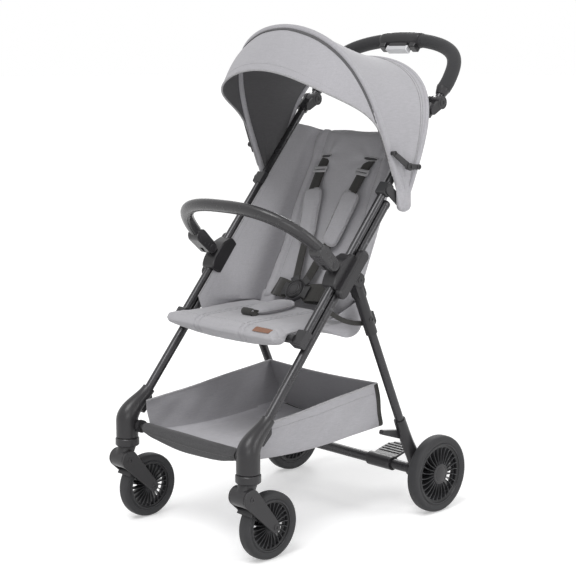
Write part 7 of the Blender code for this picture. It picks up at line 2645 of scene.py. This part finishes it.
def basket_rims(grid):
    """Bound edges along both rims and the rear, with the dark strap at the rear corners."""
    made = []
    for name, index in (("left", -1), ("right", 0)):
        line = [row[index] + Vector((0.0, 0.0, 0.0004)) for row in grid]
        made.append(bound("basket_rim_" + name, sweep(line, 0.0021, 10), "chassis"))
        inner = -5 if index == -1 else 4
        sign = 1.0 if index == -1 else -1.0
        stitch = [row[inner] + Vector((sign * 0.0012, 0.0, 0.0)) for row in grid]
        lift = [Vector((sign, 0.0, 0.0))] * len(stitch)
        made.append(sewn("basket_stitch_" + name, stitch, lift, "chassis"))
    corner = grid[-1]
    for name, hand in HANDS:
        wall = (corner[::-1] if hand > 0 else corner)[:38]
        line = [p + Vector((0.0, 0.0012, 0.0)) + Vector((hand * 0.0014, -0.004, 0.0)) for p in wall]
        across = [Vector((0.0, 1.0, 0.0))] * len(line)
        made.append(webbing_piece("basket_strap_" + name, flat_ribbon(line, across, 0.0110, 0.0013), "chassis"))
    rear_line = []
    for j in range(41):
        v = j / 40
        left = corner[0]
        right = corner[-1]
        place = left.lerp(right, v)
        place.z += 0.0004 - 0.0040 * math.sin(math.pi * v)
        place.y += 0.0010
        rear_line.append(place)
    made.append(bound("basket_rim_rear", sweep(rear_line, 0.0021, 10, (0.0, 1.0, 0.0)), "chassis"))
    return made


def basket_front_hem():
    """Hem of the floor, reaching forward round the crossbar's sleeve."""
    high = BASKET_FLOOR_Z + 0.0035
    share = (BAR_Z - high) / (SLEEVE_R + SLEEVE_DROP)
    near = BAR_Y + 0.75 * SLEEVE_R * math.sqrt(max(1.0 - share * share, 0.0)) + GAP
    grid = []
    for i in range(41):
        u = mix(-0.84, 0.84, i / 40)
        x = u * BASKET_HALF
        row = []
        for j in range(7):
            v = j / 6
            y = mix(BASKET_FRONT_Y + 0.003, near - 0.001, v)
            inner = BASKET_FLOOR_Z - 0.0045 + 0.0055 * abs(u) ** 2.2
            z = mix(inner, BASKET_FLOOR_Z + 0.0018, v)
            row.append(Vector((x, y, z + 0.0006 * math.sin(x * 55.0))))
        grid.append(row)
    bm = sheet_mesh(grid, 0.0019, 0)
    return detail("basket_front_hem", bm, mats["fabric"], "chassis", "grey_fabric", CLOTH_ANGLE)


def sleeve_fine():
    """Fabric sleeve round the crossbar: it bellies down and wrinkles at its tied ends."""
    rings = []
    steps = 90
    for i in range(steps + 1):
        u = mix(-1.0, 1.0, i / steps)
        drop = SLEEVE_DROP * (1.0 - abs(u) ** 2.4)
        pinch = 1.0 - 0.10 * bell(abs(u) - 1.0, 0.05)
        ring = []
        for angle in turns(36):
            y = SLEEVE_R * math.cos(angle) * pinch
            z = SLEEVE_R * math.sin(angle) * pinch
            if z < 0.0:
                z *= 1.0 + drop / SLEEVE_R
                y *= 1.0 - 0.25 * drop / SLEEVE_DROP
            fold = 0.00035 * math.sin(angle * 5.0 + u * 24.0) * abs(u) ** 4
            soft = 0.00025 * math.sin(u * 7.0 + angle * 2.0)
            scale = 1.0 + (fold + soft) / SLEEVE_R
            ring.append((u * SLEEVE_HALF, BAR_Y + y * scale, BAR_Z + z * scale))
        rings.append(ring)
    obj = new_object("crossbar_cover", skin(rings), [mats["dark_fabric"]], CLOTH_ANGLE)
    stand_for(obj, "crossbar_sleeve")
    line = []
    for i in range(80):
        u = mix(-0.98, 0.98, i / 79)
        drop = SLEEVE_DROP * (1.0 - abs(u) ** 2.4)
        angle = math.radians(200.0)
        y = SLEEVE_R * math.cos(angle)
        z = SLEEVE_R * math.sin(angle) * (1.0 + drop / SLEEVE_R)
        line.append(Vector((u * SLEEVE_HALF, BAR_Y + y - 0.0008, BAR_Z + z)))
    rows = stitches(line, [Vector((0.0, -1.0, 0.0))] * len(line))
    detail("sleeve_stitch", rows, mats["dark_thread"], "chassis", "charcoal_webbing")


# Small pieces on the hard parts

def bumper_trims():
    """Seam along the underside of the padded bumper, with its stitches, and pivot caps."""
    foot = on_side(BUMPER_S, -BUMPER_N)
    path = bumper_path()
    rise = Vector((0.0, BUMPER_CROWN_Z - foot[1], foot[0] - BUMPER_CROWN_Y)).normalized()
    frames = frame_along(path, rise)
    for name, degrees in (("outer", 205.0), ("inner", 335.0)):
        a = math.radians(degrees)
        seam = []
        lift = []
        for p, (side, up) in zip(path, frames):
            outward = side * (BUMPER_H * math.cos(a)) + up * (BUMPER_W * math.sin(a))
            seam.append(Vector(p) + outward)
            lift.append(outward.normalized())
        keep = slice(5, -5)
        line = [p + n * 0.0001 for p, n in zip(seam, lift)][keep]
        detail("bumper_seam_" + name, sweep(line, 0.0010, 8, rise), mats["leatherette"], "bumper",
               "black_leatherette", CLOTH_ANGLE)
        near = []
        for p, (side, up) in zip(path, frames):
            b = a + (0.22 if name == "outer" else -0.22)
            near.append(Vector(p) + side * (BUMPER_H * math.cos(b)) + up * (BUMPER_W * math.sin(b)))
        rows = stitches(near[keep], lift[keep], 0.0005, 0.0048, 0.0032)
        detail("bumper_stitch_" + name, rows, mats["dark_thread"], "bumper", "black_leatherette")
    for side, hand in HANDS:
        for face in (-1, 1):
            x = hand * SIDE_X + face * BUMPER_END_HALF
            bolt((x, *foot), face, 0.0078, 0.0012, "bumper_cap_%s_%d" % (side, face + 1), "bumper", False)


def side_frame_details():
    """Rivets and bolts on the side frame, and the raised panel of each side hub."""
    for side, hand in HANDS:
        for number, along in enumerate((0.244, 0.402)):
            for offset, name in ((-SEAT_TUBE_FRONT, "seat"), (LEG_TUBE_BACK, "leg")):
                radius = SEAT_TUBE_R if name == "seat" else LEG_TUBE_R
                body = "seat_frame" if name == "seat" else "chassis"
                at = on_side(along + (0.012 if name == "leg" else 0.0), offset)
                x = hand * (SIDE_X + radius - 0.0004)
                piece = "rivet_%s_%s_%d" % (name, side, number)
                ball = [(0.0030, 0.0), (0.0029, 0.0005), (0.0023, 0.0011), (0.0012, 0.0015), (0.0002, 0.0016)]
                rings = [[Vector((x + hand * h, at[0] + r * math.cos(a), at[1] + r * math.sin(a)))
                          for a in turns(28)] for r, h in ball]
                detail(piece, skin(rings), mats["steel"], body, "dark_tube", CLOTH_ANGLE)
        pivot_at = leg_pivot()
        x = hand * (SIDE_X + LEG_EYE_HALF + HINGE_GAP + CHEEK_T - 0.0002)
        bolt((x, *pivot_at), hand, 0.0062, 0.0014, "leg_bolt_" + side, "chassis")
        at = on_leg(0.093)
        bolt((hand * (SIDE_X + COLLAR_R - 0.0003), *at), hand, 0.0056, 0.0018, "collar_bolt_" + side, "rear_frame")
        hub_lines(side, hand)


def hub_lines(side, hand):
    """Raised panel on the hub's outer plate."""
    outer = SIDE_X + HUB_OUT + PLATE_T
    radius = PLATE_R - 0.0052
    line = capsule(on_side(HUB_LOW + 0.006, 0.004), radius, on_side(HUB_HIGH + 0.010, 0.006), radius, 6)
    panel = prism(line, outer - 0.0012, outer + 0.0006, 0.0006)
    moulded("hub_panel_" + side, mirrored(panel, hand), "plastic", "chassis", MOULDED_ANGLE)


def handle_details():
    """Screws of the handle joints, and a ring at each end of the grip."""
    place = handle_place()
    for side, hand in HANDS:
        inner = HANDLE_EYE_HALF + HINGE_GAP
        outer = inner + HANDLE_CHEEK_T
        for face in (-1, 1):
            x = hand * SIDE_X + face * (outer - 0.0002)
            bolt((x, place[1], place[2]), face, 0.0082, 0.0016, "handle_bolt_%s_%d" % (side, face + 1), "seat_frame")
    foot = Vector(handle_place())
    direction = handle_direction()
    for side, hand in HANDS:
        near = None
        for p in handle_path():
            if math.copysign(1.0, p.x) == hand:
                height = (p - foot).dot(direction)
                if height > GRIP_START - 0.002 and (near is None or height < near[1]):
                    near = (p, height)
        centre = near[0]
        ring = []
        for a in turns(40):
            level = ACROSS * (GRIP_RING_R * math.cos(a))
            ring.append(centre + level + Vector(handle_normal()) * (GRIP_RING_R * math.sin(a)))
        collar = sweep(ring, 0.0016, 10, direction, True)
        moulded("grip_end_" + side, collar, "dark_plastic", "handle", CLOTH_ANGLE)


def hood_details():
    """Rivets of the stays and the clip screws at the hood's feet."""
    front, elbow, rear = stay_places()
    inner = stay_inner()
    layer = inner + STAY_T + HINGE_GAP
    for side, hand in HANDS:
        spots = [("front", front, layer + STAY_T, "stay_front_" + side, 0.0056)]
        spots.append(("elbow", elbow, layer + STAY_T + 0.0002, "stay_front_" + side, 0.0080))
        spots.append(("rear", rear, inner + STAY_T, "stay_rear_" + side, 0.0056))
        for name, at, x, body, radius in spots:
            bolt((hand * (x - 0.0002), *at), hand, radius, 0.0022, "stay_%s_cap_%s" % (name, side), body)
        foot = hood_foot()
        x = hand * (HOOD_X + EYE_T / 2 + 0.0002)
        bolt((x, foot.y, foot.z), hand, 0.0052, 0.0012, "hood_cap_" + side, "seat_frame", False)


def fold_strap(side, hand):
    """Webbing that hangs in a shallow loop from the seat frame's rivet back to the rear leg."""
    a = Vector((SIDE_X - 0.006, *on_side(0.252, -SEAT_TUBE_FRONT + 0.004)))
    b = Vector((SIDE_X - 0.010, *on_leg(0.106)))
    line = []
    for i in range(25):
        t = i / 24
        place = a.lerp(b, t)
        place.z -= 0.012 * math.sin(math.pi * t)
        line.append(Vector((hand * place.x, place.y, place.z)))
    bm = flat_ribbon(line, [Vector((0.0, 0.35, 1.0))] * len(line), 0.0100, 0.0014)
    webbing_piece("fold_strap_" + side, bm, "seat_frame")


def fold_button_fine():
    """Pale squeeze bar under the housing, a little longer than its solid."""
    bm = local_block(-BUTTON_HALF - 0.008, BUTTON_HALF + 0.008, -BUTTON_REACH - 0.0022, -BUTTON_SEAT + 0.001,
                     -BUTTON_W - 0.0018, BUTTON_W + 0.0018, 0.002)
    make("fold_button", bm, mats["light_plastic"], 40.0, 0.0012)


def housing_shell():
    """Long moulded sleeve round the middle of the grip, tapered at its ends, with a lobe at each end of the button."""
    path = [p for p in handle_path() if abs(p.x) < HOUSING_REACH]
    sizes = []
    for place in path:
        near = ease((HOUSING_REACH - abs(place.x)) / 0.012)
        size = mix(GRIP_R + 0.0003, GRIP_R + GAP + HOUSING_WALL + 0.0010, near)
        sizes.append((size, size))
    fine_path, fine_sizes = eased(path, sizes, 3)
    bm = sweep(fine_path, fine_sizes, 48, handle_normal())
    moulded("housing_shell", bm, "plastic", "handle", 50.0)
    for hand in (-1, 1):
        lobe = local_block(hand * (BUTTON_HALF + 0.0210) - 0.0085, hand * (BUTTON_HALF + 0.0210) + 0.0085,
                           -SKIRT_DEPTH - 0.0030, -0.008, -BUTTON_W - 0.0044, BUTTON_W + 0.0044, 0.004)
        moulded("housing_lobe_%d" % (hand + 1), lobe, "plastic", "handle", 40.0, 0.0032)


def grip_cuff(side, hand):
    """Tapered plastic cuff from the joint's eye up to the end of the foam."""
    foot = Vector(handle_place())
    direction = handle_direction()
    inside = [p for p in handle_path() if math.copysign(1.0, p.x) == hand]
    near = sorted(inside, key=lambda p: (p - foot).dot(direction))[:3]
    path = []
    sizes = []
    for height, radius in CUFF:
        a, b = near[0], near[1]
        ha = (a - foot).dot(direction)
        hb = (b - foot).dot(direction)
        path.append(a.lerp(b, (height - ha) / (hb - ha)))
        sizes.append((radius, radius))
    bm = sweep(path, sizes, 40, (1.0, 0.0, 0.0))
    moulded("grip_cuff_" + side, bm, "plastic", "handle", MOULDED_ANGLE)


def hood_pouch(side, hand):
    """Closed end of the hood's cloth, drawn over its pivot, with the gathers sewn into it."""
    foot = hood_foot()
    away = Vector((0.0, -0.06, 1.0)).normalized()
    back = Vector((0.0, away.z, -away.y))
    rings = []
    for i in range(33):
        s = mix(-0.0135, 0.058, i / 32)
        if s < 0.0:
            round_off = math.sqrt(max(1.0 - (s / -0.0138) ** 2, 0.0))
            half = 0.0195 * round_off
            deep = 0.0078 * round_off ** 0.6
        else:
            half = mix(0.0195, 0.0240, s / 0.058)
            deep = mix(0.0078, 0.0010, ease(s / 0.058))
        centre = foot + away * s + Vector((hand * (HOOD_X + 0.0010), 0.0, 0.0))
        ring = []
        for a in turns(48):
            gather = 0.0010 * math.sin(math.cos(a) * 11.0 + s * 60.0) * min(deep / 0.0078, 1.0)
            flat = powered(math.sin(a), 0.8)
            ring.append(centre + back * (half * math.cos(a)) + Vector((hand * (deep * flat + gather * flat), 0.0, 0.0)))
        rings.append(ring)
    bm = skin(rings)
    detail("hood_pouch_" + side, bm, mats["fabric"], "seat_frame", "grey_fabric", CLOTH_ANGLE)


# Build

def hard_parts():
    for build in (front_crossbar, seat_bar, cross_axle, brake_pedal, bumper_bar, handle_frame, handle_grip,
                  handle_housing, hood_bow_front, hood_bow_rear, buckle, buckle_button):
        build()
    for side, hand in HANDS:
        for build in (front_casting, caster_head, caster_fork, leg_tube, side_hub, seat_tube, rear_leg, leg_collar,
                      rear_hub, handle_joint, stay_rear, stay_front):
            build(side, hand)


def soft_parts():
    hood()
    seat_cushion()
    back = back_cushion()
    crease_cloth()
    seat_sling()
    panels()
    shoulder_harness(back)
    waist_straps()
    crotch_fine()
    basket_fine()
    sleeve_fine()


def small_parts():
    buckle_details()
    fold_button_fine()
    housing_shell()
    for side, hand in HANDS:
        hood_pouch(side, hand)
        grip_cuff(side, hand)
        fold_strap(side, hand)
    bumper_trims()
    side_frame_details()
    handle_details()
    hood_details()


hard_parts()
wheels()
soft_parts()
small_parts()


# Floor, light and camera

def larger(tree, a, b):
    """The larger of two values, as a socket of a node tree."""
    node = tree.nodes.new("ShaderNodeMath")
    node.operation = "MAXIMUM"
    tree.links.new(a, node.inputs[0])
    tree.links.new(b, node.inputs[1])
    return node.outputs[0]


def white_floor():
    """Pale floor that keeps the object's shadow and meets the white background."""
    bm = bmesh.new()
    half = 60.0
    corners = [bm.verts.new((x, y, 0.0)) for x, y in ((-half, -half), (half, -half), (half, half), (-half, half))]
    bm.faces.new(corners)
    floor = placed("floor", mesh_of("floor", bm))
    mat = bpy.data.materials.new("floor")
    mat.use_nodes = True
    tree = mat.node_tree
    shader = tree.nodes["Principled BSDF"]
    shader.inputs["Base Color"].default_value = (0.82, 0.82, 0.82, 1.0)
    shader.inputs["Roughness"].default_value = 0.9
    shader.inputs["Specular IOR Level"].default_value = 0.1
    glow = tree.nodes.new("ShaderNodeEmission")
    glow.inputs["Color"].default_value = (1.0, 1.0, 1.0, 1.0)
    rays = tree.nodes.new("ShaderNodeLightPath")
    power = tree.nodes.new("ShaderNodeMath")
    power.operation = "MULTIPLY"
    power.inputs[1].default_value = FLOOR_GLOW
    seen = larger(tree, rays.outputs["Is Camera Ray"], rays.outputs["Is Glossy Ray"])
    tree.links.new(seen, power.inputs[0])
    tree.links.new(power.outputs[0], glow.inputs["Strength"])
    both = tree.nodes.new("ShaderNodeAddShader")
    tree.links.new(shader.outputs[0], both.inputs[0])
    tree.links.new(glow.outputs[0], both.inputs[1])
    tree.links.new(both.outputs[0], tree.nodes["Material Output"].inputs["Surface"])
    floor.data.materials.append(mat)


def studio_world():
    world = bpy.data.worlds.new("studio")
    bpy.context.scene.world = world
    world.use_nodes = True
    tree = world.node_tree
    back = tree.nodes["Background"]
    back.inputs["Color"].default_value = (1.0, 1.0, 1.0, 1.0)
    rays = tree.nodes.new("ShaderNodeLightPath")
    sharp = larger(tree, rays.outputs["Is Glossy Ray"], rays.outputs["Is Transmission Ray"])
    seen = larger(tree, rays.outputs["Is Camera Ray"], sharp)
    level = tree.nodes.new("ShaderNodeMapRange")
    level.inputs["To Min"].default_value = WORLD_LIGHT
    level.inputs["To Max"].default_value = 1.0
    tree.links.new(seen, level.inputs["Value"])
    tree.links.new(level.outputs["Result"], back.inputs["Strength"])


def broad_sun(toward, angle, power):
    """Even light from one wide patch of sky, so the floor is as bright far off as near the object."""
    data = bpy.data.lights.new("broad_sun", "SUN")
    data.energy = power
    data.angle = math.radians(angle)
    lamp = placed("broad_sun", data)
    lamp.rotation_euler = Vector(toward).to_track_quat("Z", "Y").to_euler()


def softbox(name, place, target, size, power):
    data = bpy.data.lights.new(name, "AREA")
    data.shape = "RECTANGLE"
    data.size = size[0]
    data.size_y = size[1]
    data.energy = power
    lamp = placed(name, data)
    lamp.location = place
    lamp.rotation_euler = (Vector(target) - Vector(place)).to_track_quat("-Z", "Y").to_euler()


def studio_camera():
    data = bpy.data.cameras.new("camera")
    data.lens = LENS_MM
    data.sensor_width = 36.0
    data.clip_end = 200.0
    camera = placed("camera", data)
    camera.location = CAMERA_PLACE
    azimuth = math.radians(CAMERA_AZIMUTH_DEG)
    elevation = math.radians(CAMERA_ELEVATION_DEG)
    level = math.cos(elevation)
    toward = Vector((math.sin(azimuth) * level, -math.cos(azimuth) * level, math.sin(elevation)))
    camera.rotation_euler = (-toward).to_track_quat("-Z", "Y").to_euler()
    bpy.context.scene.camera = camera


LENS_MM = 88.76
CAMERA_PLACE = (2.1164, -2.075495, 0.9623)
CAMERA_AZIMUTH_DEG = 45.944
CAMERA_ELEVATION_DEG = 9.211
WORLD_LIGHT = 0.46
FLOOR_GLOW = 0.34
white_floor()
studio_world()
broad_sun((0.15, -0.50, 1.0), 30.0, 1.55)
softbox("front", (2.4, -2.2, 1.3), (0.0, 0.0, 0.5), (1.6, 1.2), 17.0)
softbox("side", (3.0, 0.9, 1.7), (0.0, 0.0, 0.5), (0.8, 1.6), 22.0)
softbox("rear", (-1.6, 2.0, 1.9), (0.0, 0.0, 0.6), (1.0, 1.0), 20.0)
studio_camera()
bpy.context.scene.view_settings.view_transform = "Standard"
